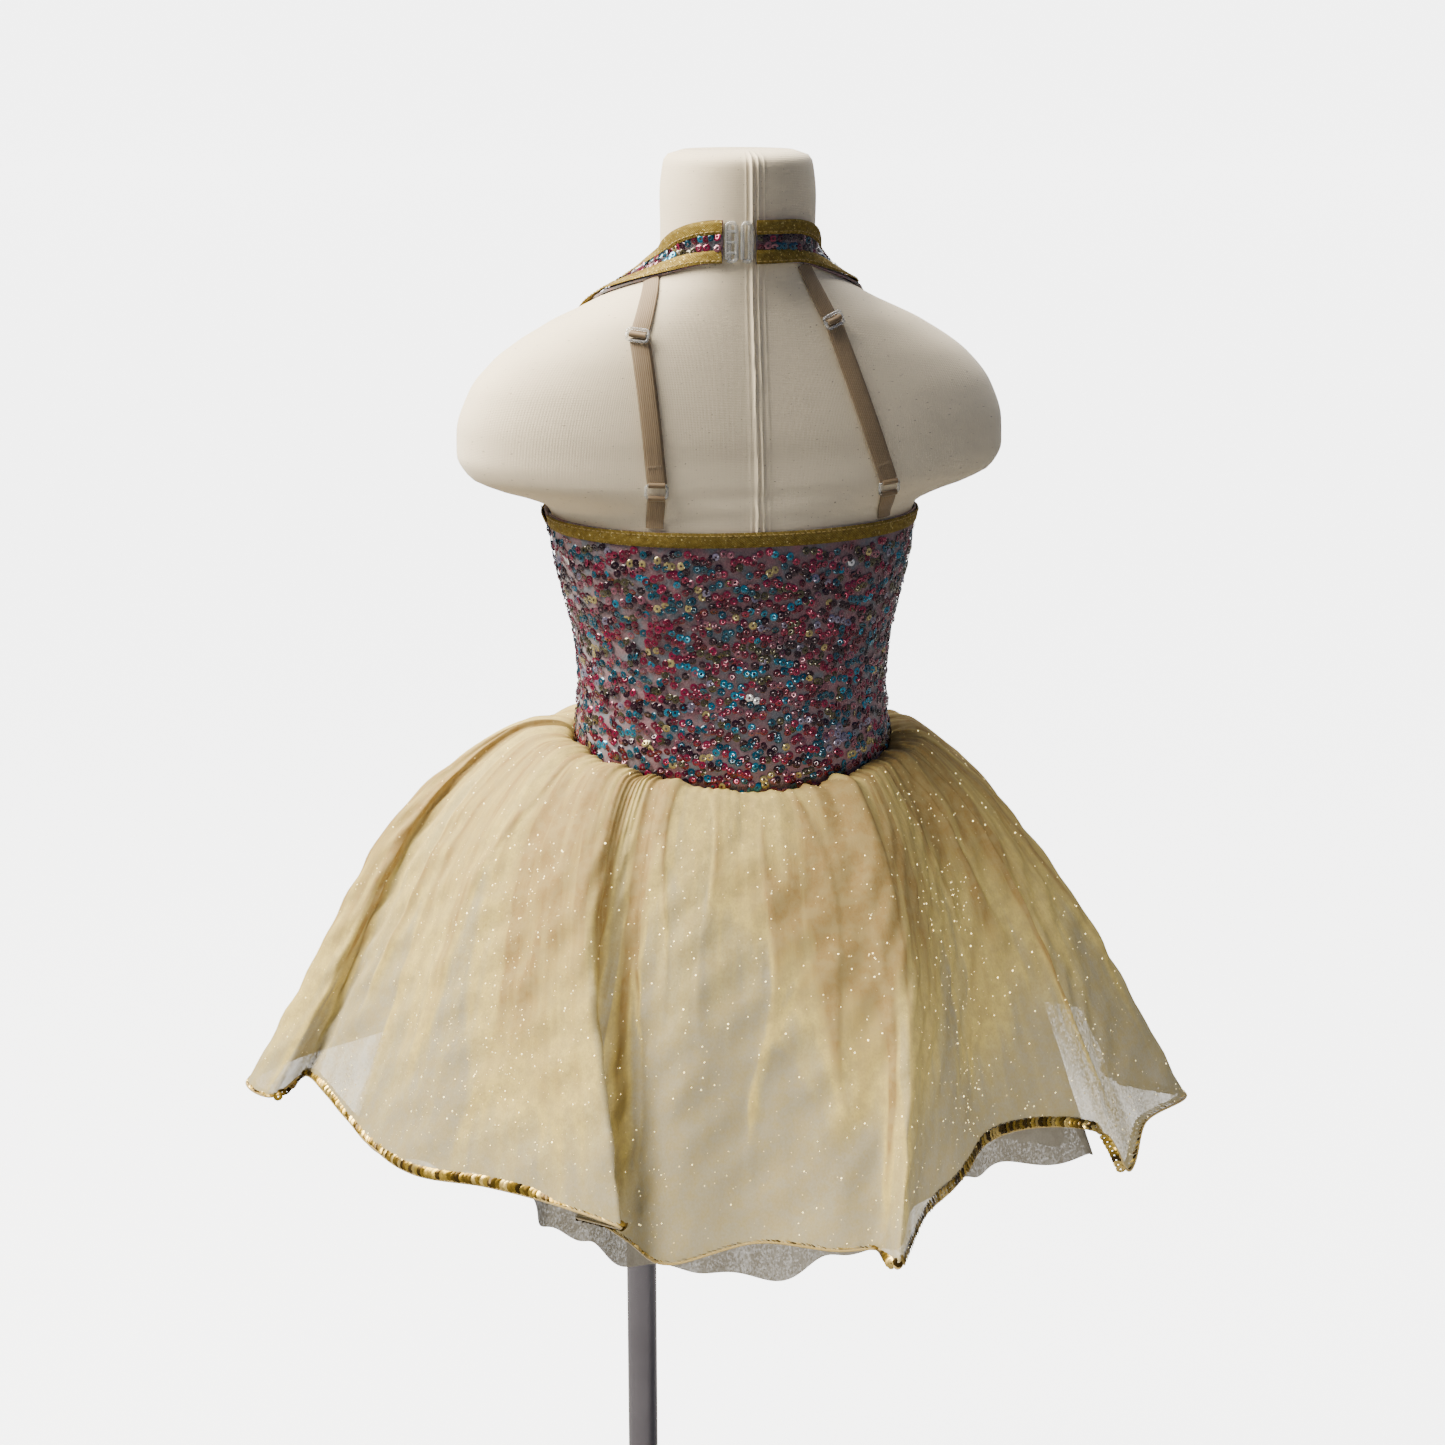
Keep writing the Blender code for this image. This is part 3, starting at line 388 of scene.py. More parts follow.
def wall_mesh(name: str, outer: Array, inner: Array, material: Material,
              closed: bool = False) -> Object:
    """Makes a wall of cloth between two grids of points.

    Args:
        name: The piece's name.
        outer: The outer points, by row and column.
        inner: The inner points, in the same order.
        material: Its finish.
        closed: Whether each row closes on itself.

    Returns:
        The piece, with a map in metres.
    """
    rows, columns = outer.shape[:2]
    vertices = np.concatenate((outer.reshape(-1, 3), inner.reshape(-1, 3)))
    piece = closed_mesh(name, vertices, wall_faces(rows, columns, closed), material, 55.0)
    lengths = np.linalg.norm(np.diff(outer, axis=0), axis=-1)
    down = np.concatenate((np.zeros((1, columns)), np.cumsum(lengths, axis=0)))
    widths = np.linalg.norm(np.diff(outer, axis=1), axis=-1)
    over = np.concatenate((np.zeros((rows, 1)), np.cumsum(widths, axis=1)), axis=1)
    mapped = np.stack((over, down), axis=-1).reshape(-1, 2)
    write_map(piece.data, np.concatenate((mapped, mapped))[corner_points(piece.data)])
    return piece


def tube(path: Array, radius: Array | float, sides: int, closed: bool) -> tuple[Array, list]:
    """Returns the points and faces of a round tube along a path.

    Args:
        path: The points it follows.
        radius: Its radius, one or one for each point.
        sides: How many sides it has.
        closed: Whether the path closes on itself.

    Returns:
        The points, and the faces as lists of indices.
    """
    count = len(path)
    ahead = np.roll(path, -1, axis=0) if closed else np.concatenate((path[1:], path[-1:] * 2 - path[-2:-1]))
    behind = np.roll(path, 1, axis=0) if closed else np.concatenate((path[:1] * 2 - path[1:2], path[:-1]))
    along = unit(ahead - behind)
    helper = np.where(np.abs(along[:, 2:]) > 0.9, (1.0, 0.0, 0.0), (0.0, 0.0, 1.0))
    first = unit(np.cross(along, helper))
    second = np.cross(along, first)
    angles = 2 * math.pi * np.arange(sides) / sides
    sizes = np.broadcast_to(radius, (count,))[:, None, None]
    ring = first[:, None] * np.cos(angles)[:, None] + second[:, None] * np.sin(angles)[:, None]
    points = (path[:, None] + ring * sizes).reshape(-1, 3)
    faces = (grid_quads(count + closed, sides, True) % (count * sides)).tolist()
    if not closed:
        faces += [list(range(sides)), [(count - 1) * sides + side for side in range(sides)]]
    return points, faces


def rounded_frame(half_x: float, half_z: float, corner: float) -> list[tuple[float, float]]:
    """Returns a round-cornered frame's outline, as places across and along from its middle.

    Args:
        half_x: Half its width.
        half_z: Half its length.
        corner: Its corners' radius.

    Returns:
        The outline's points, in order.
    """
    outline = []
    for x, z, start in ((1, 1, 0), (-1, 1, 90), (-1, -1, 180), (1, -1, 270)):
        for step in range(5):
            angle = math.radians(start + 22.5 * step)
            outline.append((x * (half_x - corner) + corner * math.cos(angle),
                            z * (half_z - corner) + corner * math.sin(angle)))
    return outline


def quarter_turn(steps: int) -> list[tuple[float, float]]:
    """Returns the sines and cosines of even steps through a quarter turn."""
    angles = [math.pi / 2 * step / steps for step in range(steps + 1)]
    return [(math.sin(angle), math.cos(angle)) for angle in angles]


def join_parts(parts: Sequence[tuple[Array, list]]) -> tuple[Array, list]:
    """Joins several sets of points and faces into one.

    Args:
        parts: Points and faces of each part.

    Returns:
        The points and faces of them all.
    """
    vertices, faces, start = [], [], 0
    for points, part_faces in parts:
        vertices.append(points)
        faces += [[start + index for index in face] for face in part_faces]
        start += len(points)
    return np.concatenate(vertices), faces


# Finishes


class Board:
    """A material's nodes, with short ways to add and join them."""

    def __init__(self, name: str, colour: Colour, roughness: float, metallic: float = 0.0, **inputs: float) -> None:
        """Starts a material with a Principled shader.

        Args:
            name: The material's name.
            colour: Its plain colour, linear.
            roughness: Its roughness.
            metallic: How much of a metal it is.
            inputs: More of the shader's plain inputs, with underscores for spaces.
        """
        self.material = bpy.data.materials.new(name)
        self.material.use_nodes = True
        self.tree = self.material.node_tree
        self.shader = self.tree.nodes["Principled BSDF"]
        self.shader.inputs["Base Color"].default_value = (*colour, 1.0)
        self.shader.inputs["Roughness"].default_value = roughness
        self.shader.inputs["Metallic"].default_value = metallic
        for key, value in inputs.items():
            self.shader.inputs[key.replace("_", " ")].default_value = value

    def node(self, kind: str, **settings: object) -> bpy.types.Node:
        """Adds a node and sets its properties."""
        made = self.tree.nodes.new(kind)
        for key, value in settings.items():
            setattr(made, key, value)
        return made

    def feed(self, socket: Socket, value: object) -> None:
        """Joins an output to an input, or sets the input to a plain value."""
        if isinstance(value, Socket):
            self.tree.links.new(value, socket)
        else:
            socket.default_value = value

    def to_shader(self, name: str, value: object) -> None:
        """Feeds one of the shader's inputs."""
        self.feed(self.shader.inputs[name], value)

    def place(self, scale: Sequence[float] = (1, 1, 1), mapped: bool = False) -> Socket:
        """Returns places on the piece, stretched: its own map's, or the object's."""
        source = self.node("ShaderNodeTexCoord").outputs["UV" if mapped else "Object"]
        mapping = self.node("ShaderNodeMapping")
        self.feed(mapping.inputs["Vector"], source)
        mapping.inputs["Scale"].default_value = tuple(scale)
        return mapping.outputs["Vector"]

    def stored(self, name: str, colour: bool = False) -> Socket:
        """Returns what is stored on the piece's points under a name."""
        made = self.node("ShaderNodeAttribute", attribute_name=name)
        return made.outputs["Color" if colour else "Fac"]

    def noise(self, vector: Socket, scale: float, detail: float = 3.0) -> Socket:
        """Returns smooth noise from 0 to 1."""
        made = self.node("ShaderNodeTexNoise")
        self.feed(made.inputs["Vector"], vector)
        made.inputs["Scale"].default_value = scale
        made.inputs["Detail"].default_value = detail
        return made.outputs["Fac"]

    def threads(self, vector: Socket, pitch: float, direction: str,
                distortion: float = 0.0) -> Socket:
        """Returns even bands at a pitch in metres, along X, Y or a diagonal.

        Args:
            vector: Places on the piece.
            pitch: The distance from band to band.
            direction: X, Y or DIAGONAL.
            distortion: How uneven the bands are.

        Returns:
            Numbers from 0 to 1.
        """
        made = self.node("ShaderNodeTexWave", bands_direction=direction)
        self.feed(made.inputs["Vector"], vector)
        made.inputs["Scale"].default_value = 2 * math.pi / 20 / pitch
        made.inputs["Distortion"].default_value = distortion
        return made.outputs["Fac"]

    def cells(self, vector: Socket, scale: float, output: str = "Distance") -> Socket:
        """Returns one output of a cell pattern."""
        made = self.node("ShaderNodeTexVoronoi")
        self.feed(made.inputs["Vector"], vector)
        made.inputs["Scale"].default_value = scale
        return made.outputs[output]

    def sum(self, operation: str, *values: object) -> Socket:
        """Returns one sum of numbers."""
        made = self.node("ShaderNodeMath", operation=operation)
        for socket, value in zip(made.inputs, values):
            self.feed(socket, value)
        return made.outputs[0]

    def spread(self, value: Socket, source: Sequence[float], target: Sequence[float]) -> Socket:
        """Maps a range of numbers to another, and holds them within it.

        Args:
            value: The numbers.
            source: Their range.
            target: The new range.

        Returns:
            The new numbers.
        """
        made = self.node("ShaderNodeMapRange")
        self.feed(made.inputs["Value"], value)
        for key, number in zip(("From Min", "From Max", "To Min", "To Max"), (*source, *target)):
            made.inputs[key].default_value = number
        return made.outputs["Result"]

    def blend(self, factor: object, first: object, second: object, mode: str = "MIX") -> Socket:
        """Returns a mix of two colours.

        Args:
            factor: How much of the second.
            first: The first colour.
            second: The second colour.
            mode: How they mix.

        Returns:
            The mixed colour.
        """
        made = self.node("ShaderNodeMix", data_type="RGBA", blend_type=mode)
        self.feed(made.inputs["Factor"], factor)
        self.feed(made.inputs[6], first if isinstance(first, Socket) else (*first, 1.0))
        self.feed(made.inputs[7], second if isinstance(second, Socket) else (*second, 1.0))
        return made.outputs[2]

    def ramp(self, factor: Socket, stops: Sequence[tuple[float, Colour]]) -> Socket:
        """Returns a colour read from stops by a number from 0 to 1.

        Args:
            factor: The number.
            stops: Places from 0 to 1 with their colours.

        Returns:
            The colour.
        """
        made = self.node("ShaderNodeValToRGB")
        self.feed(made.inputs["Fac"], factor)
        elements = made.color_ramp.elements
        while len(elements) < len(stops):
            elements.new(0.5)
        for element, (position, colour) in zip(elements, stops):
            element.position = position
            element.color = (*colour, 1.0)
        return made.outputs["Color"]

    def bump(self, height: Socket, distance: float, strength: float = 1.0) -> None:
        """Raises the surface by a height from 0 to 1 times a distance in metres."""
        made = self.node("ShaderNodeBump")
        self.feed(made.inputs["Height"], height)
        made.inputs["Distance"].default_value = distance
        made.inputs["Strength"].default_value = strength
        self.to_shader("Normal", made.outputs["Normal"])


@dataclass(frozen=True)
class Linen:
    """Cream linen pulled over the form: a plain weave with a few dark slubs."""

    colour: Colour = (0.80, 0.685, 0.49)
    shade: Colour = (0.68, 0.575, 0.41)
    slub: Colour = (0.26, 0.19, 0.12)
    thread: float = 0.0009

    def material(self) -> Material:
        """Returns the material."""
        board = Board("linen", self.colour, 0.82, Sheen_Weight=0.25, Sheen_Roughness=0.5)
        cloth = board.place(mapped=True)
        weave = board.sum("MULTIPLY", board.threads(cloth, self.thread, "X", 0.6),
                          board.threads(cloth, self.thread, "Y", 0.6))
        patches = board.noise(board.place(), 9.0, 4.0)
        tone = board.blend(board.spread(patches, (0.35, 0.7), (0.0, 0.55)), self.colour, self.shade)
        streaks = board.noise(board.place((900, 60, 1), mapped=True), 1.0, 2.0)
        tone = board.blend(board.spread(streaks, (0.45, 0.8), (0.0, 0.25)), tone, self.shade)
        specks = board.noise(board.place((420, 900, 1), mapped=True), 1.0, 1.0)
        tone = board.blend(board.spread(specks, (0.70, 0.78), (0.0, 0.75)), tone, self.slub)
        board.to_shader("Base Color", tone)
        board.bump(board.sum("ADD", weave, board.sum("MULTIPLY", streaks, 0.6)), 0.00025, 0.5)
        return board.material


@dataclass(frozen=True)
class MeshCloth:
    """The mauve stretch mesh under the sequins, with a blue haze in places."""

    colour: Colour = (0.165, 0.098, 0.112)
    hole: Colour = (0.05, 0.028, 0.034)
    haze: Colour = (0.090, 0.115, 0.140)
    blush: Colour = (0.215, 0.078, 0.100)
    thread: float = 0.0012

    def material(self) -> Material:
        """Returns the material."""
        board = Board("sequin_mesh", self.colour, 0.75, Sheen_Weight=0.3)
        cloth = board.place(mapped=True)
        holes = board.cells(cloth, 1 / self.thread)
        tone = board.blend(board.spread(holes, (0.05, 0.35), (0.75, 0.0)), self.colour, self.hole)
        patches = board.noise(board.place(), 110.0, 3.0)
        tone = board.blend(board.spread(patches, (0.50, 0.62), (0.0, 0.75)), tone, self.haze)
        tone = board.blend(board.spread(patches, (0.34, 0.46), (0.65, 0.0)), tone, self.blush)
        board.to_shader("Base Color", tone)
        board.bump(holes, 0.0003, 0.6)
        return board.material


@dataclass(frozen=True)
class SequinFilm:
    """Glossy coloured film, in the colour stored on each sequin."""

    name: str = "sequin_film"
    metallic: float = 0.55
    roughness: float = 0.16
    coat: float = 0.6

    def material(self) -> Material:
        """Returns the material."""
        board = Board(self.name, (0.4, 0.1, 0.2), self.roughness, self.metallic, Coat_Weight=self.coat,
                      Coat_Roughness=0.06, Specular_IOR_Level=self.coat)
        tint = board.stored("tint", colour=True)
        wear = board.noise(board.place(), 260.0, 2.0)
        worn = board.spread(wear, (0.4, 0.75), (0.0, 0.35))
        board.to_shader("Base Color", board.blend(worn, tint, (0.75, 0.72, 0.70), "MULTIPLY"))
        board.to_shader("Roughness", board.spread(wear, (0.3, 0.8), (self.roughness * 0.6, self.roughness * 1.8)))
        return board.material


@dataclass(frozen=True)
class GoldStretch:
    """Gold metallic stretch cloth, with a fine diagonal knit and a soft crinkle. Its colour carries painted glints, and
    painted shade and highlight that follow the crinkle.
    """

    colour: Colour = (0.185, 0.130, 0.030)
    bright: Colour = (0.29, 0.212, 0.058)
    dark: Colour = (0.122, 0.080, 0.018)
    knit: float = 0.0008

    def material(self) -> Material:
        """Returns the material."""
        board = Board("gold_binding", self.colour, 0.52, 0.25, Specular_IOR_Level=0.08)
        board.shader.inputs["Specular Tint"].default_value = (0.80, 0.58, 0.22, 1.0)
        cloth = board.place(mapped=True)
        knit = board.threads(cloth, self.knit, "DIAGONAL", 0.8)
        # The crinkle's tone varies at random, and is darker in its hollows and lighter on its ridges, following the
        # bump: partly painted shade and painted highlight.
        crinkle = board.noise(board.place((1, 1, 1.6)), 300.0, 3.0)
        tone = board.ramp(crinkle, ((0.2, self.dark), (0.5, self.colour), (0.8, self.bright)))
        # Painted glints: small pale gold spots lightened into the base colour, with lower roughness on them.
        painted_glints = board.noise(board.place(), 900.0, 1.0)
        tone = board.blend(board.spread(painted_glints, (0.66, 0.76), (0.0, 0.6)), tone, (1.0, 0.86, 0.42))
        board.to_shader("Base Color", tone)
        board.to_shader("Roughness", board.spread(painted_glints, (0.3, 0.7), (0.68, 0.36)))
        board.bump(board.sum("ADD", knit, board.sum("MULTIPLY", crinkle, 1.5)), 0.00025, 0.7)
        return board.material


@dataclass(frozen=True)
class Veil:
    """See-through cloth that gets thicker and deeper in colour where it is gathered. Where a veil's gathered tone is
    darker than its folded one, as on the tulle, the darkening is partly painted shade for dense gathers, and its
    glitter specks are painted bright as painted sparkle.
    """

    name: str
    single: Colour
    folded: Colour
    gathered: Colour
    shade: Colour
    cover: float
    glitter: float
    most_layers: float = 5.0

    def material(self) -> Material:
        """Returns the material."""
        board = Board(self.name, self.folded, 0.85, Specular_IOR_Level=0.15)
        layers = board.stored("layers")
        cloth = board.place(mapped=True)
        streaks = board.noise(board.place((90, 9, 1), mapped=True), 1.0, 4.0)
        clouds = board.noise(board.place(), 22.0, 4.0)
        mottle = board.noise(board.place(), 140.0, 6.0)
        grain = board.noise(board.place((1, 1, 0.7)), 900.0, 2.0)
        varied = board.sum("ADD", board.spread(streaks, (0.3, 0.7), (-0.24, 0.24)),
                           board.spread(clouds, (0.3, 0.7), (-0.03, 0.03)))
        stack = board.sum("MULTIPLY", layers, board.sum("ADD", varied, 1.0))
        share = board.spread(stack, (1.0, self.most_layers), (0.0, 1.0))
        # The gathered end of the ramp, darker on the tulle, is thicker cloth and also painted shade for the
        # self-shadowing of dense gathers.
        tone = board.ramp(share, ((0.05, self.single), (0.28, self.folded), (0.34, self.folded), (0.84, self.gathered)))
        tone = board.blend(board.spread(mottle, (0.42, 0.60), (0.0, 0.50)), tone, self.shade)
        tone = board.blend(board.spread(grain, (0.35, 0.65), (0.30, 0.0)), tone, self.shade)
        see_through = board.sum("POWER", 1.0 - self.cover, stack)
        cover = board.sum("SUBTRACT", 1.0, see_through)
        cover = board.sum("MULTIPLY", cover, board.spread(grain, (0.3, 0.7), (0.95, 1.05)))
        if self.glitter:
            # Glitter specks: real glitter, lightened to a pale gold in the base colour as painted sparkle.
            dust = board.cells(cloth, 520.0)
            chosen = board.cells(cloth, 520.0, "Color")
            picked = board.sum("MULTIPLY", board.spread(dust, (0.12, 0.20), (1.0, 0.0)),
                               board.sum("GREATER_THAN", chosen, 1.0 - self.glitter))
            tone = board.blend(picked, tone, (1.0, 0.78, 0.36))
            cover = board.sum("MAXIMUM", cover, picked)
            board.to_shader("Roughness", board.spread(picked, (0.0, 1.0), (0.75, 0.3)))
        board.to_shader("Base Color", tone)
        board.to_shader("Alpha", cover)
        wrinkles = board.noise(board.place((1, 1, 0.8)), 150.0, 5.0)
        crush = board.sum("ADD", board.sum("MULTIPLY", grain, 0.2), board.sum("MULTIPLY", wrinkles, 1.6))
        board.bump(board.sum("ADD", board.sum("MULTIPLY", streaks, 0.6), crush), 0.0009, 0.42)
        return board.material


@dataclass(frozen=True)
class Flake:
    """Bright white-gold glitter that glows though it is no lamp: painted glints."""

    colour: Colour = (1.0, 0.84, 0.40)
    glow: float = 7.0

    def material(self) -> Material:
        """Returns the material."""
        board = Board("glitter_flake", self.colour, 0.22, 0.65)
        # Painted glints: the flakes glow, most where the noise is high.
        board.shader.inputs["Emission Color"].default_value = (*self.colour, 1.0)
        tone = board.noise(board.place(), 260.0, 1.0)
        board.to_shader("Emission Strength", board.spread(tone, (0.42, 0.72), (0.5, self.glow)))
        board.to_shader("Base Color", board.ramp(tone, ((0.35, (0.85, 0.60, 0.22)), (0.6, self.colour))))
        return board.material


@dataclass(frozen=True)
class Elastic:
    """Nude woven elastic, with ribs along it and a fine cross weave."""

    colour: Colour = (0.270, 0.190, 0.105)
    shade: Colour = (0.16, 0.105, 0.055)
    rib: float = 0.0011

    def material(self) -> Material:
        """Returns the material."""
        board = Board("nude_elastic", self.colour, 0.68, Sheen_Weight=0.35, Sheen_Roughness=0.35)
        cloth = board.place(mapped=True)
        ribs = board.threads(cloth, self.rib, "X", 0.1)
        picks = board.threads(cloth, 0.0006, "Y", 0.3)
        weave = board.sum("ADD", ribs, board.sum("MULTIPLY", picks, 0.6))
        tone = board.blend(board.spread(weave, (0.2, 1.4), (0.55, 0.0)), self.colour, self.shade)
        board.to_shader("Base Color", tone)
        board.bump(weave, 0.0002, 0.6)
        return board.material


@dataclass(frozen=True)
class ClearPlastic:
    """Clear moulded plastic with faint flow marks."""

    colour: Colour = (0.93, 0.95, 0.96)

    def material(self) -> Material:
        """Returns the material."""
        board = Board("clear_plastic", self.colour, 0.12, Transmission_Weight=0.82, IOR=1.49, Coat_Weight=0.3)
        flow = board.noise(board.place((1, 1, 0.4)), 300.0, 2.0)
        board.to_shader("Roughness", board.spread(flow, (0.3, 0.7), (0.06, 0.2)))
        board.bump(flow, 0.00012, 0.5)
        return board.material


@dataclass(frozen=True)
class Metal:
    """Plated or brushed metal with fine marks."""

    name: str
    colour: Colour
    roughness: float
    marks: Sequence[float]

    def material(self) -> Material:
        """Returns the material."""
        board = Board(self.name, self.colour, self.roughness, 1.0)
        marks = board.noise(board.place(self.marks), 1.0, 4.0)
        board.to_shader("Roughness", board.spread(marks, (0.3, 0.75), (self.roughness * 0.7, self.roughness * 1.5)))
        dust = board.noise(board.place(), 30.0, 3.0)
        darker = tuple(0.72 * part for part in self.colour)
        board.to_shader("Base Color", board.blend(board.spread(dust, (0.4, 0.75), (0.0, 0.4)), self.colour, darker))
        board.bump(marks, 0.00004, 0.4)
        return board.material


@dataclass(frozen=True)
class Thread:
    """Sewing thread with a soft shine."""

    name: str
    colour: Colour

    def material(self) -> Material:
        """Returns the material."""
        board = Board(self.name, self.colour, 0.5, 0.1, Sheen_Weight=0.3)
        twist = board.noise(board.place(), 1500.0, 1.0)
        darker = tuple(0.6 * part for part in self.colour)
        board.to_shader("Base Color", board.blend(twist, self.colour, darker))
        return board.material


class Wardrobe:
    """Every finish of the dress, its form and its stand, made once."""

    def __init__(self) -> None:
        """Makes the materials."""
        self.linen = Linen().material()
        self.mesh_cloth = MeshCloth().material()
        self.sequins = SequinFilm().material()
        self.trim_sequins = SequinFilm("trim_sequin_film", 0.8, 0.30, 0.12).material()
        self.gold_stretch = GoldStretch().material()
        # The tulle's gathered tone is darker than its folded one as painted shade for dense gathers and bundles, and
        # its single tone is darkened and greyed, partly as painted shade for the lower centre.
        self.tulle = Veil("gold_tulle", (0.305, 0.268, 0.172), (0.52, 0.405, 0.130), (0.262, 0.168, 0.056),
                          (0.33, 0.255, 0.105), 0.93, 0.16).material()
        self.net = Veil("ivory_net", (0.19, 0.175, 0.145), (0.235, 0.20, 0.145), (0.25, 0.19, 0.125),
                        (0.135, 0.12, 0.095), 0.985, 0.0).material()
        self.flake = Flake().material()
        self.elastic = Elastic().material()
        self.plastic = ClearPlastic().material()
        # The chrome's colour is dark and purplish to stand in for the dark surroundings it reflects: painted
        # reflection.
        self.chrome = Metal("chrome", (0.20, 0.19, 0.215), 0.16, (300, 300, 12)).material()
        self.base_metal = Metal("base_metal", (0.58, 0.58, 0.60), 0.3, (400, 12, 12)).material()
        self.gold_thread = Thread("gold_thread", (0.42, 0.29, 0.08)).material()
        self.tan_thread = Thread("tan_thread", (0.30, 0.22, 0.13)).material()


# Small pieces in great number


class Spots(NamedTuple):
    """Places for small pieces: where each is, which way it faces, its length's way, size and colour."""

    points: Array
    facing: Array
    along: Array
    size: Array
    tint: Array


class GroupTree:
    """A Geometry Nodes tree with named inputs, built step by step."""

    def __init__(self, name: str, inputs: Sequence[tuple[str, str]]) -> None:
        """Starts the tree.

        Args:
            name: The tree's name.
            inputs: Names and socket kinds of its inputs after the geometry.
        """
        self.tree = bpy.data.node_groups.new(name, "GeometryNodeTree")
        face = self.tree.interface
        face.new_socket(name="Geometry", in_out="INPUT", socket_type="NodeSocketGeometry")
        self.keys = {}
        for label, kind in inputs:
            self.keys[label] = face.new_socket(name=label, in_out="INPUT", socket_type=kind).identifier
        face.new_socket(name="Geometry", in_out="OUTPUT", socket_type="NodeSocketGeometry")
        self.source = self.tree.nodes.new("NodeGroupInput")
        self.end = self.tree.nodes.new("NodeGroupOutput")

    def node(self, kind: str, settings: dict[str, object] | None = None, **feeds: object) -> bpy.types.Node:
        """Adds a node.

        Args:
            kind: The node's type.
            settings: Its properties.
            feeds: Its inputs, with underscores for spaces.

        Returns:
            The node.
        """
        made = self.tree.nodes.new(kind)
        for key, value in (settings or {}).items():
            setattr(made, key, value)
        for key, value in feeds.items():
            self.feed(made.inputs[key.replace("_", " ")], value)
        return made

    def feed(self, socket: Socket, value: object) -> None:
        """Joins an output to an input, or sets the input to a plain value."""
        if isinstance(value, Socket):
            self.tree.links.new(value, socket)
        else:
            socket.default_value = value

    def stored(self, name: str, kind: str) -> Socket:
        """Returns what is stored on the points under a name."""
        return self.node("GeometryNodeInputNamedAttribute", {"data_type": kind}, Name=name).outputs["Attribute"]

    def times(self, first: object, second: object) -> Socket:
        """Returns the product of two numbers."""
        made = self.node("ShaderNodeMath", {"operation": "MULTIPLY"})
        for socket, value in zip(made.inputs, (first, second)):
            self.feed(socket, value)
        return made.outputs[0]

    def random(self, low: Socket, high: Socket, **feeds: object) -> Socket:
        """Returns random numbers between two others.

        Args:
            low: The lowest.
            high: The highest.
            feeds: More of the node's inputs.

        Returns:
            The random numbers.
        """
        made = self.node("FunctionNodeRandomValue", {"data_type": "FLOAT"}, **feeds)
        ends = [socket for socket in made.inputs if socket.name in ("Min", "Max") and socket.enabled]
        for socket, value in zip(ends, (low, high)):
            self.feed(socket, value)
        return [socket for socket in made.outputs if socket.enabled][0]

    def realize(self, instances: Socket) -> None:
        """Turns the instances into plain faces, gives them their material and ends the tree."""
        real = self.node("GeometryNodeRealizeInstances", Geometry=instances)
        dressed = self.node("GeometryNodeSetMaterial", Geometry=real.outputs["Geometry"],
                            Material=self.source.outputs["Material"])
        self.tree.links.new(dressed.outputs["Geometry"], self.end.inputs["Geometry"])

    def run(self, name: str, mesh: Mesh, values: dict[str, object]) -> Object:
        """Runs the tree on a mesh and keeps the result as a plain mesh.

        Args:
            name: The new piece's name.
            mesh: What the tree reads.
            values: The tree's inputs by name.

        Returns:
            The new piece.
        """
        carrier = bpy.data.objects.new(name + ".source", mesh)
        bpy.context.scene.collection.objects.link(carrier)
        modifier = carrier.modifiers.new("pieces", "NODES")
        modifier.node_group = self.tree
        for label, value in values.items():
            modifier[self.keys[label]] = value
        graph = bpy.context.evaluated_depsgraph_get()
        made = bpy.data.meshes.new_from_object(carrier.evaluated_get(graph), preserve_all_data_layers=True,
                                               depsgraph=graph)
        carrier.modifiers.remove(modifier)
        bpy.data.objects.remove(carrier)
        for key in ("facing", "along", "size"):
            if key in made.attributes:
                made.attributes.remove(made.attributes[key])
        made.shade_smooth()
        return new_object(name, made, None)


class SpotTree(GroupTree):
    """Sets one small piece on each point, turned by the directions stored there."""

    def __init__(self) -> None:
        """Builds the tree."""
        super().__init__("set_on_spots", (("Piece", "NodeSocketObject"), ("Scale", "NodeSocketFloat"),
                                          ("Material", "NodeSocketMaterial")))
        piece = self.node("GeometryNodeObjectInfo", Object=self.source.outputs["Piece"])
        turn = self.node("FunctionNodeAxesToRotation", {"primary_axis": "Z", "secondary_axis": "X"},
                         Primary_Axis=self.stored("facing", "FLOAT_VECTOR"),
                         Secondary_Axis=self.stored("along", "FLOAT_VECTOR"))
        size = self.times(self.stored("size", "FLOAT"), self.source.outputs["Scale"])
        placed = self.node("GeometryNodeInstanceOnPoints", Points=self.source.outputs["Geometry"],
                           Instance=piece.outputs["Geometry"], Rotation=turn.outputs["Rotation"], Scale=size)
        self.realize(placed.outputs["Instances"])

    def lay(self, name: str, spots: Spots, piece: Object, scale: float,
            material: Material) -> Object:
        """Lays small pieces on spots.

        Args:
            name: The joined piece's name.
            spots: Where they go.
            piece: The small piece, at the origin.
            scale: A factor on every size.
            material: Their finish.

        Returns:
            One mesh of them all.
        """
        mesh = plain_mesh(name, spots.points.tolist(), [])
        for key in ("facing", "along", "size", "tint"):
            set_attribute(mesh, key, getattr(spots, key))
        return self.run(name, mesh, {"Piece": piece, "Scale": scale, "Material": material})


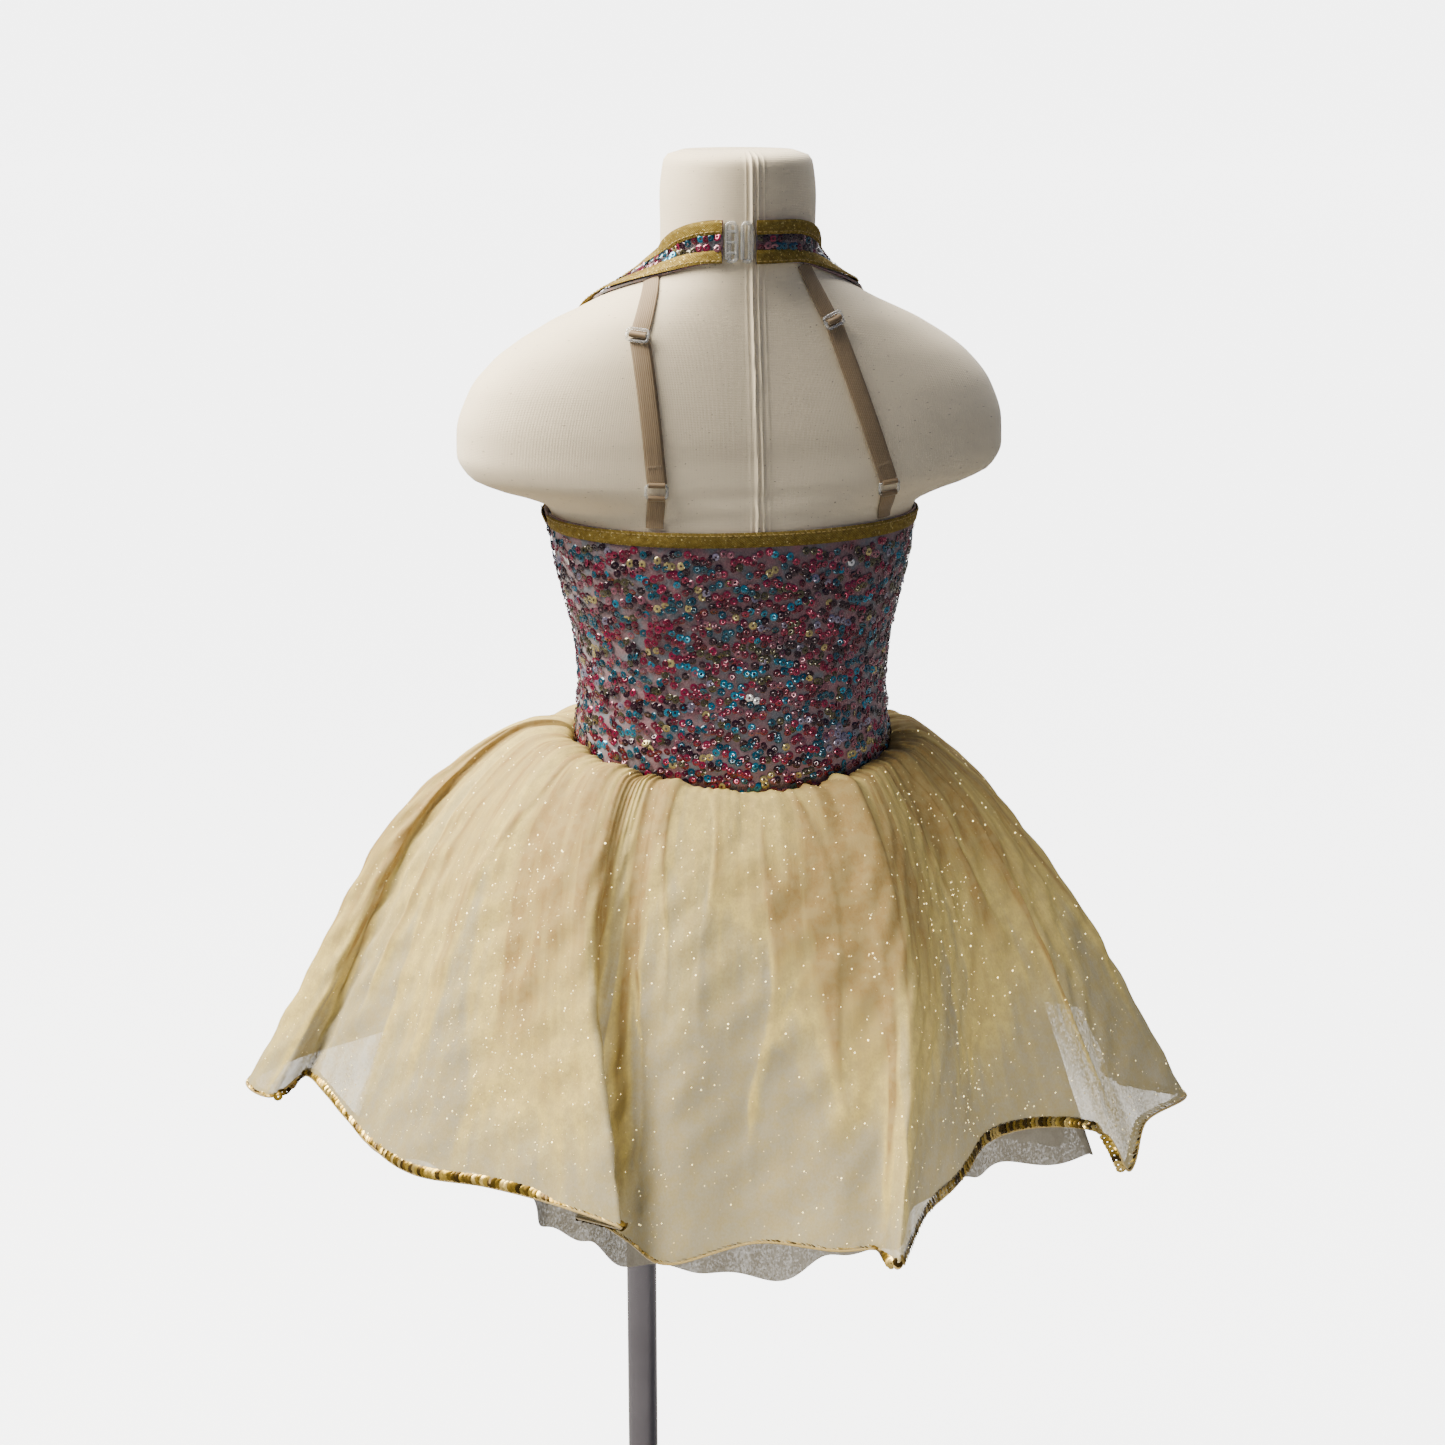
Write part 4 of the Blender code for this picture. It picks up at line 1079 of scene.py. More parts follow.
class ScatterTree(GroupTree):
    """Scatters flakes on cloth, more of them where its stored number is higher."""

    def __init__(self) -> None:
        """Builds the tree."""
        super().__init__("scatter_flakes", (
            ("Piece", "NodeSocketObject"), ("Density", "NodeSocketFloat"), ("Seed", "NodeSocketInt"),
            ("Smallest", "NodeSocketFloat"), ("Largest", "NodeSocketFloat"), ("Tilt", "NodeSocketFloat"),
            ("Material", "NodeSocketMaterial")))
        given = self.source.outputs
        piece = self.node("GeometryNodeObjectInfo", Object=given["Piece"])
        density = self.times(self.stored("glitter", "FLOAT"), given["Density"])
        spread = self.node("GeometryNodeDistributePointsOnFaces", Mesh=given["Geometry"],
                           Density=density, Seed=given["Seed"])
        lean = self.random(self.times(given["Tilt"], -1.0), given["Tilt"], Seed=given["Seed"])
        angles = self.node("ShaderNodeCombineXYZ", X=lean, Y=lean)
        turn = self.node("FunctionNodeEulerToRotation", Euler=angles.outputs["Vector"])
        tilted = self.node("FunctionNodeRotateRotation", {"rotation_space": "LOCAL"},
                           Rotation=spread.outputs["Rotation"], Rotate_By=turn.outputs["Rotation"])
        placed = self.node("GeometryNodeInstanceOnPoints", Points=spread.outputs["Points"],
                           Instance=piece.outputs["Geometry"], Rotation=tilted.outputs["Rotation"],
                           Scale=self.random(given["Smallest"], given["Largest"]))
        self.realize(placed.outputs["Instances"])


def small_disc(name: str, rings: Sequence[tuple[float, float]], sides: int) -> Object:
    """Makes a small dished disc from rings of (radius, height), or a low cone where the first radius is 0.

    Args:
        name: Its name.
        rings: Its rings from the middle out.
        sides: How many sides it has.

    Returns:
        The disc.
    """
    angles = [2 * math.pi * side / sides for side in range(sides)]
    points = [(radius * math.cos(angle), radius * math.sin(angle), height)
              for radius, height in rings for angle in angles]
    faces = grid_quads(len(rings), sides, True)[:, [0, 3, 2, 1]].tolist()
    if rings[0][0] == 0:
        points = [(0.0, 0.0, rings[0][1])] + points[sides:]
        faces = [[0, 1 + side, 1 + (side + 1) % sides] for side in range(sides)]
    return new_object(name, plain_mesh(name, points, faces), None)


def small_bar(name: str, length: float, width: float, height: float) -> Object:
    """Makes a stitch: a small bar with low ends.

    Args:
        name: Its name.
        length: Its length.
        width: Its width.
        height: Its height.

    Returns:
        The bar.
    """
    ends = ((-0.5, 0.1), (-0.35, 0.9), (0.0, 1.0), (0.35, 0.9), (0.5, 0.1))
    edges = ((-0.5, 0.0), (-0.35, 0.7), (0.0, 1.0), (0.35, 0.7), (0.5, 0.0))
    points = [(share * length, side * width, level * rise * height) for share, rise in ends for side, level in edges]
    faces = grid_quads(len(ends), len(edges), False)[:, [0, 3, 2, 1]].tolist()
    return new_object(name, plain_mesh(name, points, faces), None)


# Rings of small discs as (radius, height), and the stitch's length, width and height
SEQUIN_RINGS = ((0.00072, 0.00030), (0.00150, 0.00042), (0.00235, 0.0))
TRIM_SEQUIN_RINGS = ((0.00045, 0.00030), (0.0019, 0.00045), (0.0031, 0.0))
FLAKE_RINGS = ((0.0, 0.30), (0.5, 0.0))
STITCH_SIZE = (0.0021, 0.00048, 0.00035)


class Workbox:
    """The trees and the small pieces that they set."""

    def __init__(self) -> None:
        """Builds them."""
        self.spots = SpotTree()
        self.scatter = ScatterTree()
        self.sequin = small_disc("one_sequin", SEQUIN_RINGS, 9)
        self.trim_sequin = small_disc("one_trim_sequin", TRIM_SEQUIN_RINGS, 9)
        self.flake = small_disc("one_flake", FLAKE_RINGS, 6)
        self.stitch = small_bar("one_stitch", *STITCH_SIZE)

    def put_away(self) -> None:
        """Removes the small pieces once they have been set."""
        for piece in (self.sequin, self.trim_sequin, self.flake, self.stitch):
            bpy.data.objects.remove(piece)


def dress(piece: Object, slot: Slot, *nodes: str) -> Object:
    """Lets a piece ride on the part, hides the nodes that it stands for, and reports it with their names.

    Args:
        piece: The piece.
        slot: The record's slot; not used.
        nodes: The nodes it stands for, if any.

    Returns:
        The same piece.
    """
    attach(piece, BODY)
    if nodes:
        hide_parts(*nodes)
    LOG.info("%s: %d faces, %s", piece.name, len(piece.data.polygons), ", ".join(nodes) or "added")
    return piece


@dataclass
class Part:
    """A part of the whole, with its finishes and what sets its small pieces."""

    finishes: Wardrobe
    box: Workbox


# The form


class FormSection(NamedTuple):
    """One level section of the form: a rounded oval, with its middle moved towards the back."""

    name: str
    height: float
    half_width: float
    half_depth: float
    back_shift: float
    squareness: float


FORM_SECTIONS = tuple(FormSection(*row) for row in (
    ("hip end", 0.5600, 0.0960, 0.0790, 0.000, 2.2),
    ("hip", 0.6000, 0.0975, 0.0810, 0.000, 2.2),
    ("high hip", 0.6400, 0.0950, 0.0790, 0.000, 2.2),
    ("seam", 0.6700, 0.0915, 0.0770, 0.000, 2.2),
    ("waist", 0.7080, 0.0885, 0.0745, 0.000, 2.2),
    ("under rib", 0.7390, 0.0905, 0.0745, 0.000, 2.2),
    ("rib", 0.7630, 0.0957, 0.0755, 0.000, 2.2),
    ("chest", 0.7870, 0.1016, 0.0765, 0.000, 2.2),
    ("underarm", 0.8150, 0.1062, 0.0760, 0.000, 2.2),
    ("cap root", 0.8210, 0.1090, 0.0755, 0.000, 2.2),
    ("cap under", 0.8280, 0.1230, 0.0745, 0.001, 2.25),
    ("cap floor", 0.8340, 0.1430, 0.0735, 0.001, 2.3),
    ("cap edge", 0.8400, 0.1545, 0.0725, 0.002, 2.3),
    ("cap", 0.8520, 0.1605, 0.0710, 0.002, 2.3),
    ("cap upper", 0.8660, 0.1600, 0.0690, 0.003, 2.25),
    ("shoulder", 0.8870, 0.1530, 0.0650, 0.004, 2.2),
    ("shoulder slope", 0.9055, 0.1380, 0.0600, 0.006, 2.1),
    ("slope", 0.9244, 0.1100, 0.0550, 0.008, 2.0),
    ("neck root", 0.9409, 0.0755, 0.0505, 0.010, 2.0),
    ("neck base", 0.9560, 0.0520, 0.0475, 0.012, 2.0),
    ("nape", 0.9680, 0.0435, 0.0460, 0.013, 2.0),
    ("neck", 0.9950, 0.0440, 0.0450, 0.014, 2.0),
    ("neck rim", 1.0140, 0.0420, 0.0440, 0.014, 2.0),
    ("neck edge", 1.0195, 0.0380, 0.0400, 0.014, 2.0),
    ("neck top", 1.0210, 0.0310, 0.0330, 0.014, 2.0),
))


class FormShape:
    """The form's surface, as a function of a turn and a height."""

    def __init__(self, sections: Sequence[FormSection]) -> None:
        """Makes a curve of each size over the height."""
        self.sections = sections
        self.width = self.curve("half_width")
        self.depth = self.curve("half_depth")
        self.shift = self.curve("back_shift")
        self.power = self.curve("squareness")

    def curve(self, name: str) -> SmoothCurve:
        """Returns one size as a curve over the height."""
        return SmoothCurve([(row.height, getattr(row, name)) for row in self.sections])

    def point(self, turn: Array, height: Array) -> Array:
        """Returns surface points.

        Args:
            turn: Turns round the body.
            height: Heights above the floor.

        Returns:
            One point for each.
        """
        turn, height = np.broadcast_arrays(np.asarray(turn, float), np.asarray(height, float))
        power = 2 / self.power(height)
        x = -self.width(height) * signed_power(np.sin(turn), power)
        y = self.shift(height) + self.depth(height) * signed_power(np.cos(turn), power)
        return np.stack((x, y, height), axis=-1)

    def slopes(self, turn: Array, height: Array) -> tuple[Array, Array]:
        """Returns how surface points move with the turn and with the height."""
        round_way = (self.point(turn + NUDGE, height) - self.point(turn - NUDGE, height)) / (2 * NUDGE)
        up_way = (self.point(turn, height + NUDGE) - self.point(turn, height - NUDGE)) / (2 * NUDGE)
        return round_way, up_way

    def normal(self, turn: Array, height: Array) -> Array:
        """Returns the directions straight out of the surface."""
        round_way, up_way = self.slopes(turn, height)
        return unit(np.cross(round_way, up_way))

    def lifted(self, turn: Array, height: Array, lift: Array | float) -> Array:
        """Returns points that stand off the surface."""
        return self.point(turn, height) + self.normal(turn, height) * np.asarray(lift)[..., None]

    def turn_at(self, x: Array, height: Array, front: bool = False) -> Array:
        """Returns the turns where the surface has a given x, on its back or its front.

        Args:
            x: Places across the body.
            height: Heights above the floor.
            front: Whether the front is meant.

        Returns:
            The turns.
        """
        share = np.minimum(np.abs(x) / self.width(height), 1.0)
        turn = np.arcsin(share ** (self.power(height) / 2))
        turn = np.pi - turn if front else turn
        return -np.copysign(turn, x)

    def under(self, points: Array) -> Path:
        """Returns the turns and heights of the surface under points near it.

        Args:
            points: Points on the form or a little off it.

        Returns:
            Their turns and heights.
        """
        height = points[..., 2]
        power = self.power(height) / 2
        across = signed_power(-points[..., 0] / self.width(height), power)
        back = signed_power((points[..., 1] - self.shift(height)) / self.depth(height), power)
        return np.arctan2(across, back), height

    def walk(self, turn: Array, height: Array, direction: Array, distance: float) -> Path:
        """Moves surface points in a direction by a distance, and keeps them on the form.

        Args:
            turn: Turns to start from.
            height: Heights to start from.
            direction: Unit directions, one for each point.
            distance: How far to go, in metres.

        Returns:
            The new turns and heights.
        """
        steps = max(1, math.ceil(abs(distance) / WALK_STEP))
        for _ in range(steps):
            round_way, up_way = self.slopes(turn, height)
            rr = (round_way * round_way).sum(-1)
            ru = (round_way * up_way).sum(-1)
            uu = (up_way * up_way).sum(-1)
            along = (round_way * direction).sum(-1)
            rising = (up_way * direction).sum(-1)
            scale = distance / steps / (rr * uu - ru * ru)
            turn, height = turn + (uu * along - ru * rising) * scale, height + (rr * rising - ru * along) * scale
        return turn, height


FORM = FormShape(FORM_SECTIONS)


@dataclass
class DressForm(Part):
    """The linen-covered form, with a raised seam down its centre back."""

    around: int = 190
    seam_columns: int = 61
    seam_turn: float = 0.14
    row_step: float = 0.0028
    seam_ridges: tuple[tuple[float, float, float], ...] = (
        (-0.0019, 0.0015, 0.0008), (0.0016, 0.0011, 0.0007), (0.0052, 0.0004, 0.0006), (-0.0050, 0.0003, 0.0006))
    side_ridge: float = 0.0004
    map_middle: float = 0.005
    map_radius: float = 0.09

    def seam_height(self, points: Array) -> Array:
        """Returns how far the cloth stands out at the back seam and at the faint side seams.

        Args:
            points: The form's points.

        Returns:
            A height in metres for each.
        """
        raised = np.zeros(points.shape[:-1])
        for x, height, spread in self.seam_ridges:
            raised += height * np.exp(-((points[..., 0] + x) / spread) ** 2)
        raised *= points[..., 1] > 0
        side = np.exp(-(points[..., 1] / 0.0011) ** 2)
        return raised + self.side_ridge * side

    def build(self) -> None:
        """Builds the covered form."""
        back = np.linspace(-self.seam_turn, self.seam_turn, self.seam_columns)
        rest = np.linspace(self.seam_turn, 2 * math.pi - self.seam_turn, self.around)[1:-1]
        turns = np.concatenate((back, rest))
        low, high = FORM_SECTIONS[0].height, FORM_SECTIONS[-1].height
        levels = np.linspace(low, high, math.ceil((high - low) / self.row_step))
        points = FORM.point(turns[None, :], levels[:, None])
        normals = FORM.normal(turns[None, :], np.clip(levels, low + NUDGE, high - 0.0008)[:, None])
        fade = soft_step(levels, low, low + 0.01) * (1 - soft_step(levels, high - 0.004, high))
        points = points + normals * (self.seam_height(points) * fade[:, None])[..., None]
        middles = np.stack((points[0].mean(axis=0), points[-1].mean(axis=0)))
        rows, columns = points.shape[:2]
        faces = grid_quads(rows, columns, True).tolist()
        faces += [[column, (column + 1) % columns, rows * columns] for column in range(columns)]
        last = (rows - 1) * columns
        faces += [[last + column, last + (column + 1) % columns, rows * columns + 1] for column in range(columns)]
        vertices = np.concatenate((points.reshape(-1, 3), middles))
        piece = closed_mesh("form_cover", vertices, faces, self.finishes.linen, 60.0)
        self.map_cloth(piece.data)
        dress(piece, Slot.LINEN, "form_body")

    def map_cloth(self, mesh: Mesh) -> None:
        """Gives the cover a map of its own: metres round the body and up.

        Args:
            mesh: The cover's mesh.
        """
        places = np.zeros(len(mesh.vertices) * 3)
        mesh.vertices.foreach_get("co", places)
        places = places.reshape(-1, 3)
        corners = corner_points(mesh)
        turn = np.arctan2(-places[:, 0], places[:, 1] - self.map_middle)[corners]
        starts = np.zeros(len(mesh.polygons), int)
        mesh.polygons.foreach_get("loop_start", starts)
        first = np.repeat(turn[starts], np.diff(np.append(starts, len(corners))))
        turn = np.where(turn - first > math.pi, turn - 2 * math.pi, turn)
        turn = np.where(turn - first < -math.pi, turn + 2 * math.pi, turn)
        write_map(mesh, np.stack((turn * self.map_radius, places[corners, 2]), axis=-1))


@dataclass
class Stand(Part):
    """The pole, its collar and flange, and the round base."""

    pole_x: float = 0.058
    pole_radius: float = 0.0093
    base_radius: float = 0.145
    base_thickness: float = 0.008
    edge_round: float = 0.003
    collar_radius: float = 0.019
    collar_height: float = 0.026
    flange_radius: float = 0.026
    flange_height: float = 0.008
    gap: float = 0.0003
    sides: int = 96

    def turned(self, profile: Sequence[tuple[float, float]], name: str, material: Material,
               ring: bool = False) -> Object:
        """Turns a profile of (radius, height) points round the pole's line.

        Args:
            profile: The points, from the middle of the top down the outer side.
            name: The piece's name.
            material: Its finish.
            ring: Whether the profile closes on itself, round a hole.

        Returns:
            The piece.
        """
        angles = 2 * math.pi * np.arange(self.sides) / self.sides
        rows = np.array(profile)
        x = self.pole_x + rows[:, :1] * np.cos(angles)
        y = rows[:, :1] * np.sin(angles)
        z = np.broadcast_to(rows[:, 1:], x.shape)
        points = np.stack((x, y, z), axis=-1)
        faces = (grid_quads(len(rows) + ring, self.sides, True) % (len(rows) * self.sides)).tolist()
        if not ring:
            faces += [list(range(self.sides)), [(len(rows) - 1) * self.sides + side for side in range(self.sides)]]
        return closed_mesh(name, points.reshape(-1, 3), faces, material, 32.0)

    def rounded(self, inner: float, outer: float, low: float, high: float, edge: float) -> list[tuple[float, float]]:
        """Returns a ring's profile with rounded outer edges.

        Args:
            inner: The hole's radius.
            outer: The ring's radius.
            low: Its underside's height.
            high: Its top's height.
            edge: Its edges' radius.

        Returns:
            Points of (radius, height).
        """
        steps = quarter_turn(4)
        upper = [(outer - edge + edge * sine, high - edge + edge * cosine) for sine, cosine in steps]
        lower = [(outer - edge + edge * cosine, low + edge - edge * sine) for sine, cosine in steps]
        return [(inner, high), *upper, *lower, (inner, low)]

    def build(self) -> None:
        """Builds the stand."""
        base = [(self.base_radius * 0.5, self.base_thickness)]
        for sine, cosine in quarter_turn(6):
            base.append((self.base_radius - self.edge_round * (1 - sine),
                         self.base_thickness - self.edge_round * (1 - cosine)))
        base += [(self.base_radius, 0.0006), (self.base_radius - 0.0006, 0.0), (self.base_radius * 0.5, 0.0)]
        dress(self.turned(base, "base", self.finishes.base_metal), Slot.BASE_METAL, "base_plate")
        low = self.base_thickness + self.gap
        hip = FORM_SECTIONS[0].height - self.gap
        pole = [(self.pole_radius, hip), (self.pole_radius, hip / 2), (self.pole_radius, low)]
        dress(self.turned(pole, "pole_tube", self.finishes.chrome), Slot.CHROME, "pole")
        hole = self.pole_radius + self.gap
        collar = self.rounded(hole, self.collar_radius, low, low + self.collar_height, 0.0015)
        dress(self.turned(collar, "collar", self.finishes.chrome, ring=True), Slot.CHROME, "base_collar")
        flange = self.rounded(hole, self.flange_radius, hip - self.flange_height, hip, 0.0012)
        dress(self.turned(flange, "flange", self.finishes.chrome, ring=True), Slot.CHROME, "form_flange")


# The bodice


class SoftFold(NamedTuple):
    """A soft ridge round the bodice."""

    height: float
    size: float
    spread: float


@dataclass
class Cutting:
    """The bodice's sizes, which its panels, bindings, straps and skirt share."""

    clear: float = 0.0009
    wall: float = 0.0012
    binding_wall: float = 0.0010
    binding_clear: float = 0.0009
    seam_gap: float = 0.0003
    back_top_centre: float = 0.8150
    back_top_side: float = 0.8170
    hem_side: float = 0.6730
    hem_back: float = 0.6640
    hem_front: float = 0.6680
    binding_width: float = 0.0085
    band_width: float = 0.0240
    band_binding: float = 0.0078
    band_height: float = 0.9510
    band_tilt: float = 0.0220
    band_right_end: float = 0.0
    band_left_end: float = 23.0
    band_level: float = 24.0
    band_eased: float = 96.0
    band_front: float = 52.0
    folds: tuple[SoftFold, ...] = (SoftFold(0.7010, 0.0010, 0.0060), SoftFold(0.6840, 0.0016, 0.0065))
    bridge: SoftFold = SoftFold(0.8240, 0.0026, 0.0130)
    armhole: tuple[tuple[float, float], ...] = (
        (0.8170, 0.1068), (0.8205, 0.0990), (0.8290, 0.0925), (0.8450, 0.0865), (0.8700, 0.0790),
        (0.9000, 0.0725), (0.9300, 0.0715))

    def hem(self, turn: Array) -> Array:
        """Returns the heights of the bodice's lower edge."""
        level = np.cos(turn)
        middle = np.where(level > 0, self.hem_back, self.hem_front)
        return self.hem_side + (middle - self.hem_side) * level * level

    def back_top(self, turn: Array) -> Array:
        """Returns the heights of the back's top edge."""
        return self.back_top_side + (self.back_top_centre - self.back_top_side) * np.cos(turn) ** 2

    def fold_lift(self, turn: Array, height: Array, front: bool) -> Array:
        """Returns how far the cloth stands out in its soft folds, uneven round the body.

        Args:
            turn: Turns round the body.
            height: Heights above the floor.
            front: Whether the cloth is the front's.

        Returns:
            Metres for each place.
        """
        folds = (*self.folds, self.bridge) if front else self.folds
        sway = 0.0016 * np.sin(3 * turn + 0.5) + 0.0012 * np.sin(7 * turn)
        total = 0.0
        for fold in folds:
            moved = 0.0 if fold is self.bridge else sway
            total = total + fold.size * np.exp(-((height - fold.height - moved) / fold.spread) ** 2)
        pulls = np.sin(23 * turn + height * 120) * np.exp(-((height - 0.69) / 0.014) ** 2)
        return total + 0.00025 * pulls

    def band(self, degrees: Array) -> Path:
        """Returns the neck band's middle line, level at the nape.

        Args:
            degrees: Turns in degrees.

        Returns:
            The line's turns and heights.
        """
        away = np.abs((degrees + 180) % 360 - 180)
        eased = np.maximum(away - self.band_level, 0) * self.band_eased / (self.band_eased - self.band_level)
        fallen = np.radians(np.minimum(eased, away))
        return np.radians(degrees), self.band_height + self.band_tilt * np.cos(fallen)

    def band_offset(self, degrees: Array, distance: float) -> Path:
        """Returns the line on the form that lies a distance above the neck band's middle line.

        Args:
            degrees: Turns in degrees.
            distance: Metres above the middle line.

        Returns:
            The line's turns and heights.
        """
        turn, height = self.band(degrees)
        ahead = FORM.point(*self.band(degrees + 1)) - FORM.point(*self.band(degrees - 1))
        upward = unit(np.cross(ahead, FORM.normal(turn, height)))
        upward = np.where(upward[..., 2:] > 0, upward, -upward)
        return FORM.walk(turn, height, upward, distance)


CUT = Cutting()


class StripShape(NamedTuple):
    """A strip's two surfaces as grids of points, its middle line and its directions."""

    outer: Array
    inner: Array
    middle: Array
    facing: Array
    along: Array
    side: Array


def strip_shape(turn: Array, height: Array, width: float, lift: float, thickness: float,
                across: int = 9, roundness: float = 0.0, folds: bool = False, shift: float = 0.0) -> StripShape:
    """Lays a strip of even width on the form along a path.

    Args:
        turn: The path's turns.
        height: The path's heights.
        width: The strip's width.
        lift: How far its underside stands off the form.
        thickness: Its thickness.
        across: How many points lie across it.
        roundness: How much thinner its edges are than its middle, as a share.
        folds: Whether it follows the front's soft folds.
        shift: How far it is moved sideways.

    Returns:
        The strip's shape.
    """
    points = FORM.point(turn, height)
    along = unit(np.gradient(points, axis=0))
    facing = FORM.normal(turn, height)
    side = unit(np.cross(facing, along))
    outer, inner = [], []
    for share in np.linspace(-1, 1, across):
        place = FORM.walk(turn, height, side, share * width / 2 + shift)
        extra = CUT.fold_lift(place[0], place[1], True) if folds else 0.0
        edge = 1 - roundness * abs(share) ** 4
        outer.append(FORM.lifted(*place, lift + extra + thickness * edge))
        inner.append(FORM.lifted(*place, lift + extra + thickness * (1 - edge) * 0.5))
    outer, inner = np.stack(outer, axis=1), np.stack(inner, axis=1)
    return StripShape(outer, inner, outer[:, across // 2], facing, along, side)


def even_path(turn: Array, height: Array, step: float) -> Path:
    """Returns a path on the form again, with points an even step apart.

    Args:
        turn: The path's turns.
        height: The path's heights.
        step: About how far apart, in metres.

    Returns:
        The new turns and heights.
    """
    points = FORM.point(turn, height)
    length = distances(points)
    places = np.linspace(0, length[-1], max(3, int(length[-1] / step) + 1))
    return np.interp(places, length, turn), np.interp(places, length, height)


class SequinColour(NamedTuple):
    """One colour of sequin and its share of them all."""

    name: str
    colour: Colour
    share: float


SEQUIN_COLOURS = tuple(SequinColour(*row) for row in (
    ("raspberry", (0.215, 0.004, 0.040), 0.18),
    ("crimson", (0.11, 0.003, 0.018), 0.16),
    ("plum", (0.022, 0.002, 0.010), 0.16),
    ("teal", (0.004, 0.066, 0.110), 0.17),
    ("bright blue", (0.010, 0.18, 0.30), 0.055),
    ("clear pink", (0.22, 0.075, 0.105), 0.11),
    ("pale gold", (0.40, 0.32, 0.13), 0.045),
    ("olive", (0.070, 0.058, 0.024), 0.09),
    ("lilac silver", (0.22, 0.19, 0.28), 0.03),
    # A few near-white sequins stand in for bright glints: painted glints.
    ("white glint", (0.95, 0.95, 1.0), 0.003),
))


@dataclass
class SequinRows:
    """Rows of sequins that meander over a panel, in short runs of one colour."""

    seed: int
    pitch: float = 0.0041
    sway: float = 0.0019
    sway_length: float = 0.024
    missing: float = 0.07
    longest_run: int = 4
    tilt: float = 0.32

    def spots(self, lines: Sequence[Path], lift: float, front: bool) -> Spots:
        """Works out every sequin's place.

        Args:
            lines: The rows' turns and heights on the form.
            lift: How far the sequins stand off the form.
            front: Whether they follow the front's folds.

        Returns:
            The spots.
        """
        draw = np.random.default_rng(self.seed)
        turns, heights, kinds = [], [], []
        weights = np.array([colour.share for colour in SEQUIN_COLOURS])
        weights = weights / weights.sum()
        for turn, height in lines:
            length = distances(FORM.point(turn, height))
            count = int(length[-1] / self.pitch)
            if count < 1:
                continue
            places = (np.arange(count) + 0.5 + draw.uniform(-0.28, 0.28, count)) * length[-1] / count
            phase = draw.uniform(0, 2 * math.pi)
            sway = self.sway * np.sin(2 * math.pi * places / self.sway_length + phase)
            turns.append(np.interp(places, length, turn))
            heights.append(np.interp(places, length, height) + sway + draw.normal(0, 0.0004, count))
            row_kinds = []
            while len(row_kinds) < count:
                kind = draw.choice(len(SEQUIN_COLOURS), p=weights)
                row_kinds += [kind] * draw.integers(1, self.longest_run + 1)
            kinds.append(np.array(row_kinds[:count]))
        turn, height, kind = np.concatenate(turns), np.concatenate(heights), np.concatenate(kinds)
        kept = draw.uniform(size=len(turn)) > self.missing
        turn, height, kind = turn[kept], height[kept], kind[kept]
        stray = draw.uniform(size=len(turn)) < 0.3
        kind = np.where(stray, draw.choice(len(SEQUIN_COLOURS), len(turn), p=weights), kind)
        normal = FORM.normal(turn, height)
        raised = lift + CUT.fold_lift(turn, height, front) + draw.uniform(0.0, 0.0006, len(turn))
        points = FORM.point(turn, height) + normal * raised[:, None]
        facing = unit(normal + draw.normal(0, self.tilt, (len(turn), 3)) * 0.6)
        along = unit(np.cross(facing, draw.normal(size=(len(turn), 3))))
        palette = np.array([(*colour.colour, 1.0) for colour in SEQUIN_COLOURS])
        tint = palette[kind]
        tint[:, :3] *= draw.uniform(0.7, 1.25, (len(turn), 1))
        size = draw.uniform(0.92, 1.06, len(turn))
        return Spots(points, facing, along, size, np.clip(tint, 0, 1))


@dataclass
class BoundPart(Part):
    """A part whose edges are bound with folded strips of gold stretch cloth."""

    stitch_step: float = 0.0032
    stitch_inset: float = 0.30
    stitch_sink: float = 0.00008

    def edge(self, name: str, node: str, path: Path, width: float, inward: int, side: str = "",
             clear: float = CUT.binding_clear, folds: bool = False) -> Object:
        """Builds a binding along a path, with its stitches.

        Args:
            name: The binding's name.
            node: The node that it stands for.
            path: The turns and heights of its middle line.
            width: Its width.
            inward: On which side of its middle the stitches run, 1 or -1.
            side: The end of both names.
            clear: How far it stands off the cloth.
            folds: Whether it follows the front's soft folds.

        Returns:
            The binding.
        """
        shape = strip_shape(*path, width, CUT.clear + CUT.wall + clear, CUT.binding_wall, across=11,
                            roundness=0.7, folds=folds)
        piece = wall_mesh(name + side, shape.outer, shape.inner, self.finishes.gold_stretch)
        dress(piece, Slot.GOLD_BINDING, node + side)
        self.stitches(f"{name}_stitches{side}", shape, inward * width * self.stitch_inset)
        return piece

    def stitches(self, name: str, shape: StripShape, inset: float) -> None:
        """Sews a line of stitches along a strip, an inset away from its middle.

        Args:
            name: The line's name.
            shape: The strip.
            inset: The inset in metres.
        """
        line = shape.middle + shape.side * inset
        length = distances(line)
        places = np.arange(self.stitch_step / 2, length[-1], self.stitch_step)
        facing = unit(read_line(shape.facing, length, places))
        points = read_line(line, length, places) - facing * self.stitch_sink
        along = unit(read_line(shape.along, length, places))
        count = len(places)
        spots = Spots(points, facing, along, np.ones(count), np.ones((count, 4)))
        sewn = self.box.spots.lay(name, spots, self.box.stitch, 1.0, self.finishes.gold_thread)
        dress(sewn, Slot.GOLD_BINDING)


